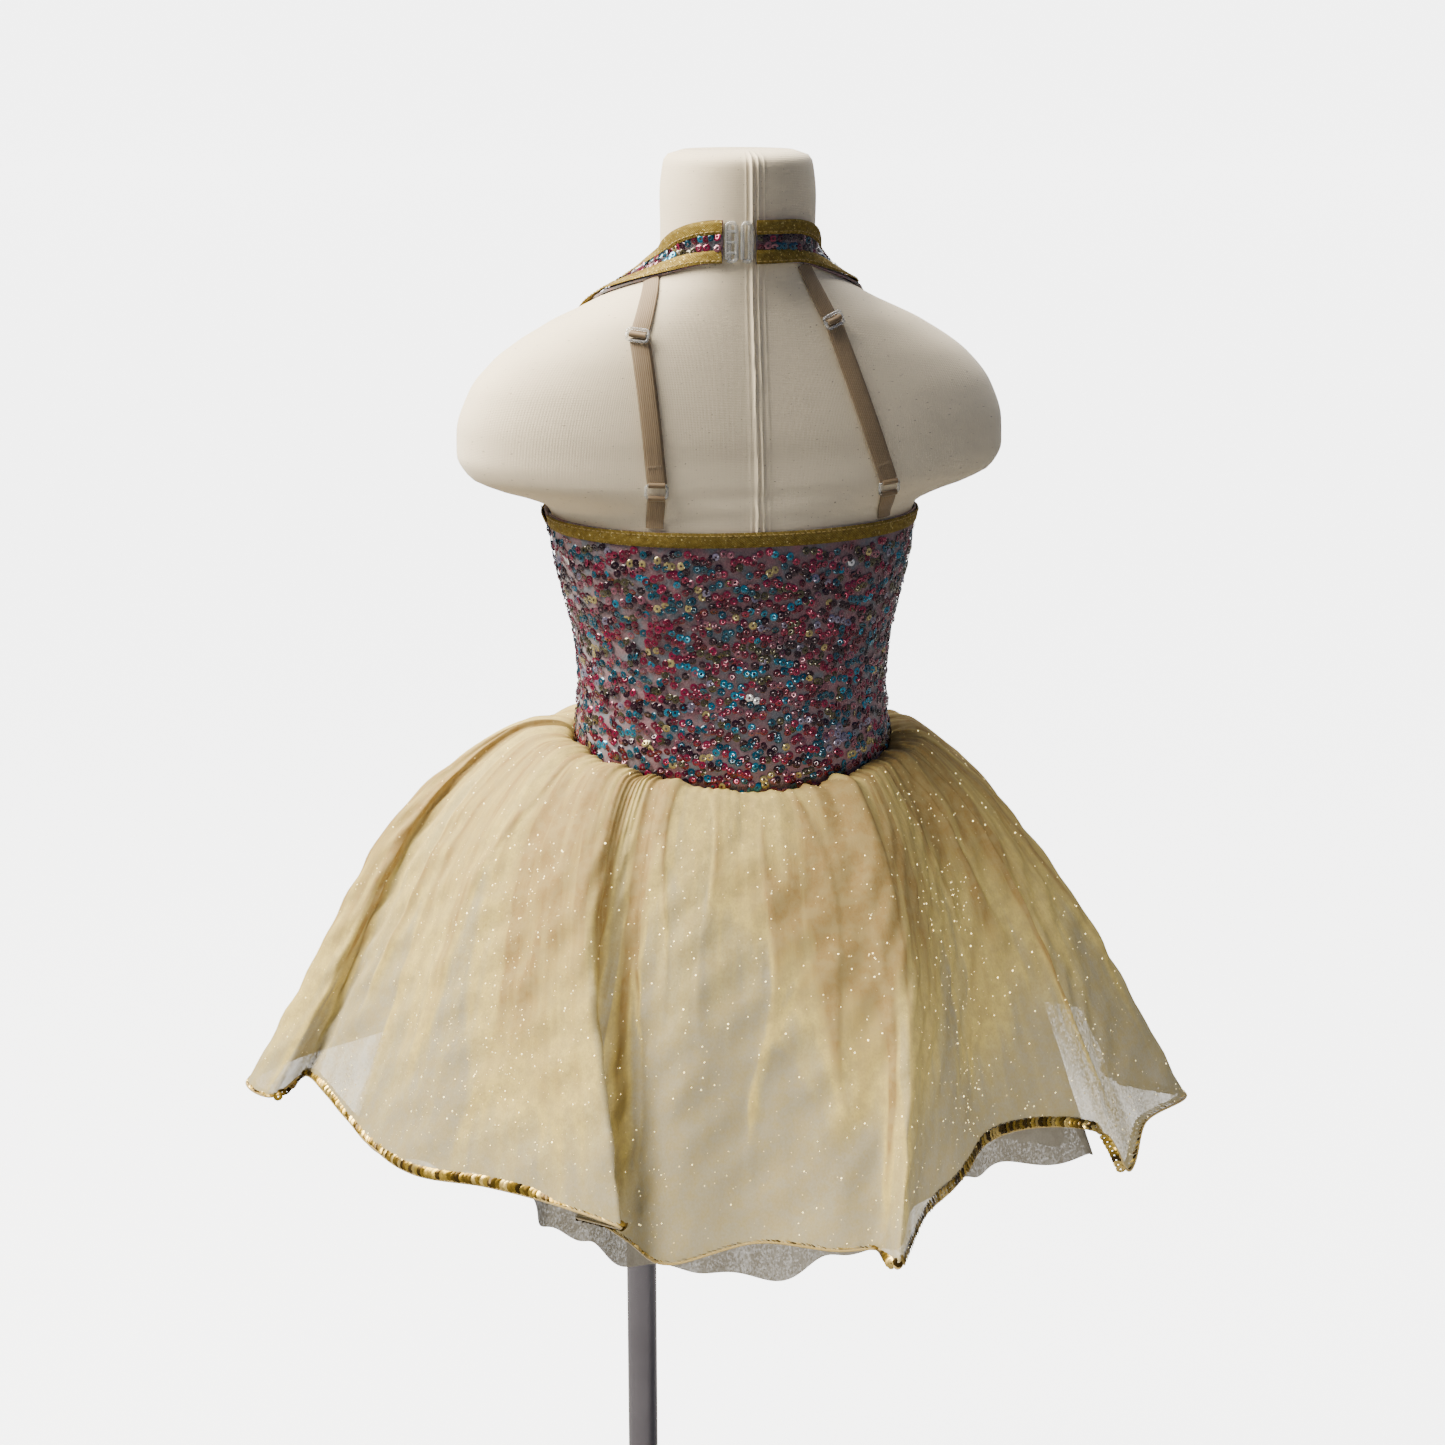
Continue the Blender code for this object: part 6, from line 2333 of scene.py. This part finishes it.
@dataclass
class SkirtLayer:
    """One gathered layer: folds that fan out from the seam to a waved hem."""

    folds: tuple[HemFold, ...]
    seam_lift: float
    seam_drop: float
    columns: int
    rows: int
    puff: float = 0.0
    puff_levels: float = 3.0
    puff_back_share: float = 0.25
    puff_right_drop: float = 0.70
    ruffles: int = 15
    ruffle: float = 0.0
    hem_wave: float = 0.0
    crumple: float = 0.0004
    crease_rise: float = 0.48
    least_layers: float = 2.3
    laps: int = 0
    filled: float = 0.0
    gathers: tuple[Gather, ...] = ()
    creases: tuple[Crease, ...] = ()
    streak_seed: int = 5

    def __post_init__(self) -> None:
        """Makes the curves and reads the folds round the hem."""
        self.out, self.down, self.fan, self.lean = (
            SmoothCurve([(index, getattr(row, name)) for index, row in enumerate(BELL)])
            for name in ("out", "down", "fan", "lean"))
        rows = []
        for fold in (*self.folds, *self.folds, *self.folds):
            lap = len(rows) // len(self.folds) - 1
            turn = math.radians(fold.hem_turn)
            rows.append((fold.seam_turn + 360 * lap, -fold.radius * math.sin(turn),
                         fold.radius * math.cos(turn), fold.height))
        self.knots = np.array(rows)
        self.places = np.arange(self.columns) * len(self.folds) / self.columns

    def surface(self, places: Array, levels: Array) -> Array:
        """Returns the cloth's points.

        Args:
            places: Places round the layer, in folds from the first.
            levels: Levels of the bell, 0 at the seam.

        Returns:
            Points by level and place.
        """
        read = spline(self.knots, places + len(self.folds), closed=False)
        seam_turn, hem_x, hem_y, hem_height = np.radians(read[:, 0]), read[:, 1], read[:, 2], read[:, 3]
        edge = CUT.hem(seam_turn)
        seam = FORM.lifted(seam_turn, edge, self.seam_lift)
        seam_height = edge - self.seam_drop
        level = levels[:, None]
        seam_angle = np.arctan2(-seam[:, 0], seam[:, 1])
        swing = wrapped(np.arctan2(-hem_x, hem_y) - seam_angle, 2 * math.pi)
        angle = seam_angle + swing * self.fan(level)
        out = self.out(level) - self.lean(level) * np.sin(angle)
        seam_radius = np.hypot(seam[:, 0], seam[:, 1])
        radius = seam_radius + (np.hypot(hem_x, hem_y) - seam_radius) * out
        height = seam_height + (hem_height - seam_height) * self.down(level)
        rise = np.sin(math.pi * np.minimum(level / self.puff_levels, 1.0))
        side = np.sin(seam_turn)
        share = (1 - self.puff_back_share) * np.abs(side) - self.puff_right_drop * np.maximum(side, 0.0)
        height = height + self.puff * rise * (self.puff_back_share + share)
        uneven = Ripple(self.streak_seed + 9, (0.17, 0.083, 0.037), 1.0)(places / len(self.folds))
        height = height + self.hem_wave * uneven * self.down(level) ** 4
        wave = np.sin(2 * math.pi * self.ruffles * places / len(self.folds))
        radius = radius + self.ruffle * out * wave
        return np.stack((-radius * np.sin(angle), radius * np.cos(angle), height), axis=-1)

    def eased(self, points: Array, levels: Array) -> Array:
        """Softens the hem's folds on their way up: valleys fill all round, and the back's edges round off.

        Args:
            points: The layer's points.
            levels: Their levels of the bell.

        Returns:
            The softer points.
        """
        if not self.filled:
            return points
        window = int(4.4 * self.columns / len(self.folds)) | 1
        kernel = np.hanning(window + 2)[1:-1]
        radius = np.hypot(points[..., 0], points[..., 1])
        x, y, height = (ring_mean(points[..., axis], kernel) for axis in range(3))
        mean_radius = ring_mean(radius, kernel)
        wide = mean_radius / np.hypot(x, y)
        soft = np.stack((x * wide, y * wide, height), axis=-1)
        share = (self.filled * soft_step(levels, 0.2, 1.2) * (1 - soft_step(levels, 3.4, 7.0)))[:, None]
        grown = 1 + share * np.maximum(mean_radius / radius - 1, 0)
        filled = points * np.stack((grown, grown, np.ones_like(grown)), axis=-1)
        back = soft_step(self.places, 7.6, 9.0) * (1 - soft_step(self.places, 18.6, 20.4))
        front = soft_step(self.places, 32.5, 34.0) * (1 - soft_step(self.places, 37.5, 39.0))
        rounded = (share * np.maximum(back, front)[None, :])[..., None]
        return filled * (1 - rounded) + soft * rounded

    def outward(self, points: Array) -> Array:
        """Returns the directions out of a closed grid of points."""
        ahead = np.roll(points, -1, axis=1) - np.roll(points, 1, axis=1)
        down = np.gradient(points, axis=0)
        return unit(np.cross(down, ahead))

    def packing(self, points: Array) -> Array:
        """Returns how many layers of cloth lie at each point, from how far the hem is drawn in above it.

        Args:
            points: The layer's points.

        Returns:
            A number for each point.
        """
        steps = np.linalg.norm(np.roll(points, -1, axis=1) - points, axis=-1)
        soft = ring_mean(steps, np.hanning(2 * max(3, self.columns // 90) + 3))
        return np.clip(soft[-1:] / np.maximum(soft, 1e-5), 0.8, 4.6)

    def shape(self) -> tuple[Array, Array, Array]:
        """Returns the layer's points with all their folds, the layers of cloth there and the bell's levels."""
        levels = HEM_LEVEL * np.linspace(0, 1, self.rows) ** 0.92
        points = self.eased(self.surface(self.places, levels), levels)
        normals = self.outward(points)
        steps = np.linalg.norm(np.diff(points, axis=0), axis=-1).mean(axis=1)
        down = np.concatenate(([0.0], np.cumsum(steps)))[:, None]
        layers = self.packing(points)
        spacing = np.linalg.norm(np.roll(points, -1, axis=1) - points, axis=-1).mean(axis=1)[:, None]
        spacing = spacing * self.columns / len(self.folds)
        lift = np.zeros(points.shape[:2])
        round_way = self.places / len(self.folds)
        pinned = soft_step(down, 0.0, 0.006)
        for gather in self.gathers:
            wander = Ripple(gather.seed, (0.31, 0.17, 0.11), 1.0)
            strength = 0.65 + 0.35 * Ripple(gather.seed + 50, (0.21, 0.11, 0.05), 1.0)(round_way, down)
            phase = 2 * math.pi * (gather.count * round_way + gather.uneven * wander(round_way))
            fade = np.exp(-down / gather.fade) * pinned
            lift += gather.size * strength * fade * np.sin(phase)
            layers = layers * (1 + 0.20 * np.exp(-down / (gather.fade * 1.4)) * strength * np.cos(phase + 0.6))
        for crease in self.creases:
            body = self.crease_shape(crease, levels)
            lift += self.crease_rise * crease.rise * crease.width * spacing * body
            layers = layers + 1.5 * crease.layers * body
        if self.laps:
            layers = layers + self.lap_layers(levels)
        streaks = Ripple(self.streak_seed, (0.083, 0.047, 0.029, 0.017), 1.0)(round_way, down * 0.6)
        layers = layers * (1 + 0.12 * streaks * np.exp(-down / 0.22))
        slack = Ripple(self.streak_seed + 1, (0.13, 0.07, 0.036, 0.019), 1.0)(round_way, down * 2.2)
        lift += self.crumple * slack * soft_step(down, 0.02, 0.12)
        near_hem = 1 - 0.5 * soft_step(levels[:, None], HEM_LEVEL - 0.5, HEM_LEVEL)
        points = points + normals * (lift * near_hem)[..., None]
        least = 1.0 + (self.least_layers - 1.0) * (1 - soft_step(levels, 1.5, 6.5))[:, None]
        return points, np.maximum(layers, least), levels

    def lap_layers(self, levels: Array) -> Array:
        """Returns the cloth that folds lying over each other add, each with one denser edge.

        Args:
            levels: Levels of the bell.

        Returns:
            Extra layers for each point of the grid.
        """
        draw = np.random.default_rng(self.streak_seed + 40)
        total = len(self.folds)
        added = np.zeros((len(levels), self.columns))
        for lap in range(self.laps):
            middle = (lap + draw.uniform(-0.6, 0.6)) * total / self.laps
            drift, half = draw.normal(0.1, 2.6), draw.uniform(0.25, 1.5)
            low, high = draw.uniform(-0.4, 3.6), draw.uniform(4.4, 7.8)
            cloth, edge, side = draw.uniform(0.35, 1.0), draw.uniform(0.25, 0.95), draw.choice((-1.0, 1.0))
            bend, phase = draw.uniform(0.05, 0.28), draw.uniform(0, 2 * math.pi)
            centre = middle + drift * (levels - low) / HEM_LEVEL + bend * np.sin(levels * 1.1 + phase)
            away = wrapped(self.places[None, :] - centre[:, None], total)
            wide = half * (1 + 0.25 * np.sin(levels * 0.8 + phase))[:, None]
            body = 1 - soft_step(away * side, wide - 0.05, wide + 0.08)
            body *= soft_step(away * side, -wide - 0.35, -wide + 0.35)
            beyond = away - side * wide
            line = np.exp(-(beyond / np.where(beyond * side > 0, 0.06, 0.16)) ** 2)
            ends = soft_step(levels, low, low + 1.4) * (1 - soft_step(levels, high - 1.6, high))
            added += (cloth * body + edge * line) * ends[:, None]
        return added

    def crease_shape(self, crease: Crease, levels: Array) -> Array:
        """Returns how strongly a crease shows, from 0 to 1, over the whole grid.

        Args:
            crease: The crease.
            levels: Levels of the bell.

        Returns:
            A share for each point.
        """
        total = len(self.folds)
        low, high = sorted((crease.start[1], crease.end[1]))
        if high - low > 1.5:
            share = (levels - crease.start[1]) / (crease.end[1] - crease.start[1])
            centre = crease.start[0] + (crease.end[0] - crease.start[0]) * np.clip(share, 0, 1)
            centre = centre + 0.12 * np.sin(levels * 1.9 + crease.start[0] * 3)
            away = wrapped(self.places[None, :] - centre[:, None], total)
            spread = crease.width * (0.75 + 0.35 * np.sin(levels * 1.3 + crease.start[0]))[:, None]
            spread = np.where(away * crease.crisp > 0, spread * 0.3, spread)
            ends = soft_step(levels, low - 0.1, low + 0.9) * (1 - soft_step(levels, high - 1.3, high + 0.25))
            return np.exp(-(away / spread) ** 2) * ends[:, None]
        across = crease.end[0] - crease.start[0]
        share = wrapped(self.places - crease.start[0], total) / across
        centre = crease.start[1] + (crease.end[1] - crease.start[1]) * np.clip(share, 0, 1)
        away = levels[:, None] - centre[None, :]
        ends = soft_step(share, -0.15, 0.3) * (1 - soft_step(share, 0.7, 1.15))
        return np.exp(-(away / crease.width) ** 2) * ends[None, :]


# Places round the hem, and how far the trim is rolled under there: 0 lies flat, 1 is under
TRIM_TURNS = (
    (0.0, 0.9), (1.0, 0.85), (1.8, 0.45), (5.0, 0.45), (5.9, 0.15), (7.4, 0.15), (8.4, 0.9), (16.6, 0.95),
    (17.2, 0.1), (21.6, 0.05), (22.4, 0.9), (26.0, 0.95), (28.4, 0.3), (30.0, 0.9), (32.6, 0.2), (34.2, 0.9),
    (37.6, 0.3), (39.2, 0.95), (41.0, 0.4), (43.0, 0.9),
)
TRIM_GOLDS = ((0.26, 0.165, 0.022), (0.42, 0.285, 0.05), (0.13, 0.080, 0.012), (0.060, 0.036, 0.008),
              (0.58, 0.42, 0.13))


class GlitterCluster(NamedTuple):
    """Where glitter lies thick: a place round the hem, a width in folds, two levels and how streaked it is."""

    place: float
    width: float
    low: float
    high: float
    extra: float
    streaked: float


GLITTER_CLUSTERS = tuple(GlitterCluster(*row) for row in (
    (6.6, 1.7, 4.0, 6.3, 0.55, 0.4), (19.6, 1.2, 2.6, 6.4, 0.62, 0.8),
    (12.6, 1.2, 3.2, 5.0, 0.18, 0.0), (15.4, 1.0, 0.6, 2.8, 0.20, 0.3),
    (9.0, 1.6, 1.6, 3.0, 0.10, 0.0), (26.5, 1.6, 3.4, 6.2, 0.45, 0.6),
    (33.0, 2.2, 3.6, 6.4, 0.55, 0.5), (39.5, 1.8, 3.8, 6.4, 0.5, 0.4),
))


@dataclass
class Skirt(Part):
    """The tulle skirt with its glitter and hem trim, and the two nets under it."""

    columns: int = 1118
    rows: int = 66
    trim_width: float = 0.0062
    trim_pitch: float = 0.0029
    cord_radius: float = 0.00075
    trim_set: float = 0.47
    trim_lift: float = 0.0011
    trim_overlap: float = 0.30
    net_step_in: float = 0.018
    net_step_up: float = 0.014
    glitter_density: float = 46000.0
    smallest_flake: float = 0.00040
    largest_flake: float = 0.00125
    outer: SkirtLayer = field(init=False)
    long_net: SkirtLayer = field(init=False)
    short_net: SkirtLayer = field(init=False)

    def __post_init__(self) -> None:
        """Lays out the three layers."""
        gathers = (Gather(160, 0.0008, 0.013, 2.0, 21), Gather(74, 0.0010, 0.028, 1.3, 22),
                   Gather(34, 0.0013, 0.050, 0.55, 23), Gather(17, 0.0022, 0.24, 0.30, 24))
        self.outer = SkirtLayer(OUTER_FOLDS, 0.0027, 0.0009, self.columns, self.rows, puff=0.009,
                                gathers=gathers, creases=CREASES, laps=50, crumple=0.0009, filled=0.85)
        net_gathers = (Gather(96, 0.0009, 0.05, 1.4, 31), Gather(27, 0.0020, 0.14, 0.5, 32))
        self.long_net = SkirtLayer(NET_FOLDS, 0.0012, 0.0035, 600, 44, ruffle=0.0045, hem_wave=0.004,
                                   gathers=net_gathers, streak_seed=7)
        short_folds = tuple(fold._replace(radius=fold.radius - self.net_step_in,
                                          height=fold.height + self.net_step_up) for fold in NET_FOLDS)
        self.short_net = SkirtLayer(short_folds, 0.0012, 0.0070, 560, 40, ruffle=0.0045, hem_wave=0.004,
                                    gathers=(Gather(88, 0.0009, 0.05, 1.4, 41),), streak_seed=9)

    def build(self) -> None:
        """Builds the skirt."""
        points, layers, levels = self.outer.shape()
        glitter = self.glitter_map(levels)
        tulle = self.cloth("tulle_skirt", points, layers, self.finishes.tulle, {"glitter": glitter})
        flakes = self.box.scatter.run("tulle_glitter", tulle.data.copy(), {
            "Piece": self.box.flake, "Density": self.glitter_density, "Seed": 4, "Tilt": 0.55,
            "Smallest": self.smallest_flake, "Largest": self.largest_flake, "Material": self.finishes.flake})
        dress(flakes, Slot.GOLD_TULLE)
        dress(tulle, Slot.GOLD_TULLE, "skirt_tulle")
        trim = self.trim(points)
        for name, node, layer, flat in (("long_net_layer", "net_long", self.long_net, (1.40, 0.270)),
                                        ("short_net_layer", "net_short", self.short_net, (1.30, 0.250))):
            points, layers, _ = layer.shape()
            net = self.cloth(name, points, layers, self.finishes.net, {})
            dress(net, Slot.IVORY_NET, node)

    def cloth(self, name: str, points: Array, layers: Array, material: Material,
              more: dict[str, Array]) -> Object:
        """Makes one layer's shell, with its layers of cloth stored on it.

        Args:
            name: The shell's name.
            points: Its points.
            layers: Layers of cloth at each point.
            material: Its finish.
            more: More numbers to store on it, by name.

        Returns:
            The shell.
        """
        hem = points[-1]
        across = distances(np.concatenate((hem, hem[:1])))
        stored = {"layers": layers, **more}
        return sheet_mesh(name, points, material, closed=True, across=across, attributes=stored)

    def glitter_map(self, levels: Array) -> Array:
        """Returns where glitter lies thick on the outer skirt, from 0 to 1.

        Args:
            levels: Levels of the bell.

        Returns:
            A number for each point of the grid.
        """
        places = self.outer.places[None, :]
        level = levels[:, None]
        patches = 0.5 + 0.5 * Ripple(61, (0.09, 0.05, 0.023), 1.0)(places / len(OUTER_FOLDS), level * 0.06)
        amount = 0.06 + 0.16 * np.clip(patches, 0, 1) ** 2
        streaks = 0.5 + 0.5 * np.sin(2 * math.pi * (places / 0.42 + 1.3 * level))
        for cluster in GLITTER_CLUSTERS:
            body = np.exp(-((places - cluster.place) / cluster.width) ** 2)
            body = body * (1 - cluster.streaked * streaks) * soft_step(level, cluster.low - 0.8, cluster.low)
            amount = amount + cluster.extra * body * (1 - soft_step(level, cluster.high, cluster.high + 0.9))
        return np.clip(amount, 0, 1) * soft_step(level, 0.2, 1.0)

    def trim(self, points: Array) -> list[Object]:
        """Builds the cord and the overlapping sequins along the hem.

        Args:
            points: The outer skirt's points.

        Returns:
            The two pieces.
        """
        hem = points[-1]
        rising = unit(points[-4] - hem)
        facing = self.outer.outward(points)[-1]
        inward = unit(-hem * (1, 1, 0))
        under = SmoothCurve(TRIM_TURNS)(self.outer.places)[:, None]
        wide = unit(rising * (1 - under) + (inward * 0.92 + UP * -0.12) * under)
        cord = closed_mesh("hem_cord", *tube(hem, self.cord_radius, 7, True), self.finishes.gold_thread)
        dress(cord, Slot.SEQUIN_TRIM)
        length = distances(np.concatenate((hem, hem[:1])))
        count = int(length[-1] / self.trim_pitch)
        places = np.arange(count) * length[-1] / count

        def read(values: Array) -> Array:
            """Reads values round the hem at the sequins."""
            return read_line(np.concatenate((values, values[:1])), length, places)

        along = unit(read(np.roll(hem, -1, axis=0) - np.roll(hem, 1, axis=0)))
        wide_at = unit(read(wide))
        face = unit(np.cross(along, wide_at))
        face = np.where((face * read(facing)).sum(-1, keepdims=True) < 0, -face, face)
        draw = np.random.default_rng(71)
        middle = read(hem) + wide_at * self.trim_width * self.trim_set + face * self.trim_lift
        shingled = unit(face + along * self.trim_overlap + draw.normal(0, 0.10, (count, 3)))
        tint = np.array([(*colour, 1.0) for colour in TRIM_GOLDS])[draw.integers(0, len(TRIM_GOLDS), count)]
        tint[:, :3] *= draw.uniform(0.75, 1.1, (count, 1))
        spots = Spots(middle, shingled, along, draw.uniform(0.92, 1.05, count), np.clip(tint, 0, 1))
        sequins = self.box.spots.lay("hem_sequins", spots, self.box.trim_sequin, 1.0, self.finishes.trim_sequins)
        dress(sequins, Slot.SEQUIN_TRIM, "hem_trim")
        return [cord, sequins]


# The studio


class Lamp(NamedTuple):
    """A square soft light that faces the dress, with angles in degrees.

    Aside is its turn from the camera towards the picture's left, rise its angle above level, power
    its watts, height the height that it faces and spread how wide its beam opens.
    """

    name: str
    aside: float
    rise: float
    distance: float
    size: float
    power: float
    colour: Colour
    height: float = 0.80
    spread: float = 180.0


LAMPS = (
    Lamp("window", 92.0, 48.0, 1.9, 1.5, 250.0, (1.0, 0.93, 0.80)),
    Lamp("ceiling", 180.0, 72.0, 1.7, 0.9, 26.0, (1.0, 0.95, 0.86)),
    Lamp("low", -14.0, 2.0, 1.7, 0.4, 1.1, (1.0, 0.95, 0.84), 0.38, 24.0),
    Lamp("rear", 200.0, 35.0, 2.2, 1.2, 11.0, (1.0, 0.98, 0.95)),
)


@dataclass
class Studio:
    """A pale floor, soft lights and the camera."""

    azimuth: float = 168.0
    elevation: float = 15.0
    distance: float = 1.5
    target_height: float = 0.685
    side_shift: float = 0.0057
    lens: float = 62.3
    sensor: float = 36.0
    floor_radius: float = 24.0
    cove_radius: float = 6.0
    cove_height: float = 12.0
    floor_glow: float = 5.0
    floor_middle: float = 0.09
    floor_drop: float = 0.0002
    floor_sides: int = 96
    sky: Colour = (0.70, 0.92, 1.60)
    sky_strength: float = 0.14

    def away(self) -> Vector:
        """Returns the direction from the dress to the camera."""
        turn, rise = math.radians(self.azimuth), math.radians(self.elevation)
        return Vector((math.sin(turn) * math.cos(rise), -math.cos(turn) * math.cos(rise), math.sin(rise)))

    def right(self) -> Vector:
        """Returns the direction to the picture's right."""
        turn = math.radians(self.azimuth)
        return Vector((math.cos(turn), math.sin(turn), 0.0))

    def aim(self, thing: Object, target: Vector) -> None:
        """Turns a camera or a light towards a point."""
        thing.rotation_euler = (target - thing.location).to_track_quat("-Z", "Y").to_euler()

    def camera(self) -> None:
        """Makes the camera."""
        data = bpy.data.cameras.new("view")
        data.lens = self.lens
        data.sensor_width = self.sensor
        data.sensor_fit = "HORIZONTAL"
        camera = bpy.data.objects.new("view", data)
        target = Vector((0.0, 0.0, self.target_height)) - self.right() * self.side_shift
        camera.location = target + self.away() * self.distance
        bpy.context.scene.collection.objects.link(camera)
        self.aim(camera, target)
        bpy.context.scene.camera = camera

    def lamp(self, lamp: Lamp) -> None:
        """Makes one soft light.

        Args:
            lamp: The light's numbers.
        """
        data = bpy.data.lights.new(lamp.name, "AREA")
        data.spread = math.radians(lamp.spread)
        data.shape = "SQUARE"
        data.size = lamp.size
        data.energy = lamp.power
        data.color = lamp.colour
        level = self.away() * Vector((1, 1, 0))
        level.normalize()
        turn, up = math.radians(lamp.aside), math.radians(lamp.rise)
        across = (level * math.cos(turn) - self.right() * math.sin(turn)) * math.cos(up)
        middle = Vector((0.0, 0.0, lamp.height))
        made = bpy.data.objects.new(lamp.name, data)
        made.location = middle + (across + Vector((0, 0, math.sin(up)))) * lamp.distance
        bpy.context.scene.collection.objects.link(made)
        self.aim(made, middle)

    def floor(self) -> None:
        """Makes the pale floor, which sweeps up into a wall far away all round.

        Its glow makes the picture's ground pale and lights the dress softly from below.
        """
        board = Board("studio_floor", (0.10, 0.10, 0.10), 0.9)
        board.shader.inputs["Emission Color"].default_value = (1.0, 1.0, 1.0, 1.0)
        board.shader.inputs["Emission Strength"].default_value = self.floor_glow
        rows = [(self.floor_middle, 0.0), (self.floor_radius, 0.0)]
        for sine, cosine in quarter_turn(8)[1:]:
            rows.append((self.floor_radius + self.cove_radius * sine, self.cove_radius * (1 - cosine)))
        rows.append((rows[-1][0], self.cove_height))
        angles = 2 * math.pi * np.arange(self.floor_sides) / self.floor_sides
        points = np.array([[(radius * math.cos(angle), radius * math.sin(angle), height) for angle in angles]
                           for radius, height in rows])
        faces = grid_quads(len(rows), self.floor_sides, True).tolist() + [list(reversed(range(self.floor_sides)))]
        mesh = plain_mesh("studio_floor", points.reshape(-1, 3).tolist(), faces)
        mesh.shade_smooth()
        floor = new_object("studio_floor", mesh, board.material)
        floor.location.z = -self.floor_drop
        lit = bpy.data.collections.new("lit_by_floor")
        lit.objects.link(floor)
        floor.light_linking.receiver_collection = lit

    def build(self) -> None:
        """Builds the studio."""
        self.floor()
        self.camera()
        world = bpy.data.worlds.new("studio")
        world.use_nodes = True
        background = world.node_tree.nodes["Background"]
        background.inputs["Color"].default_value = (*self.sky, 1.0)
        background.inputs["Strength"].default_value = self.sky_strength
        bpy.context.scene.world = world
        for lamp in LAMPS:
            self.lamp(lamp)


def main() -> None:
    """Builds every piece in order."""
    logging.basicConfig(level=logging.INFO, format="%(message)s")
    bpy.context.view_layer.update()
    Studio().build()
    finishes = Wardrobe()
    box = Workbox()
    for part in (DressForm, Stand, Bodice, NeckBand, Straps, Skirt):
        part(finishes, box).build()
    box.put_away()


if __name__ == "__main__":
    main()
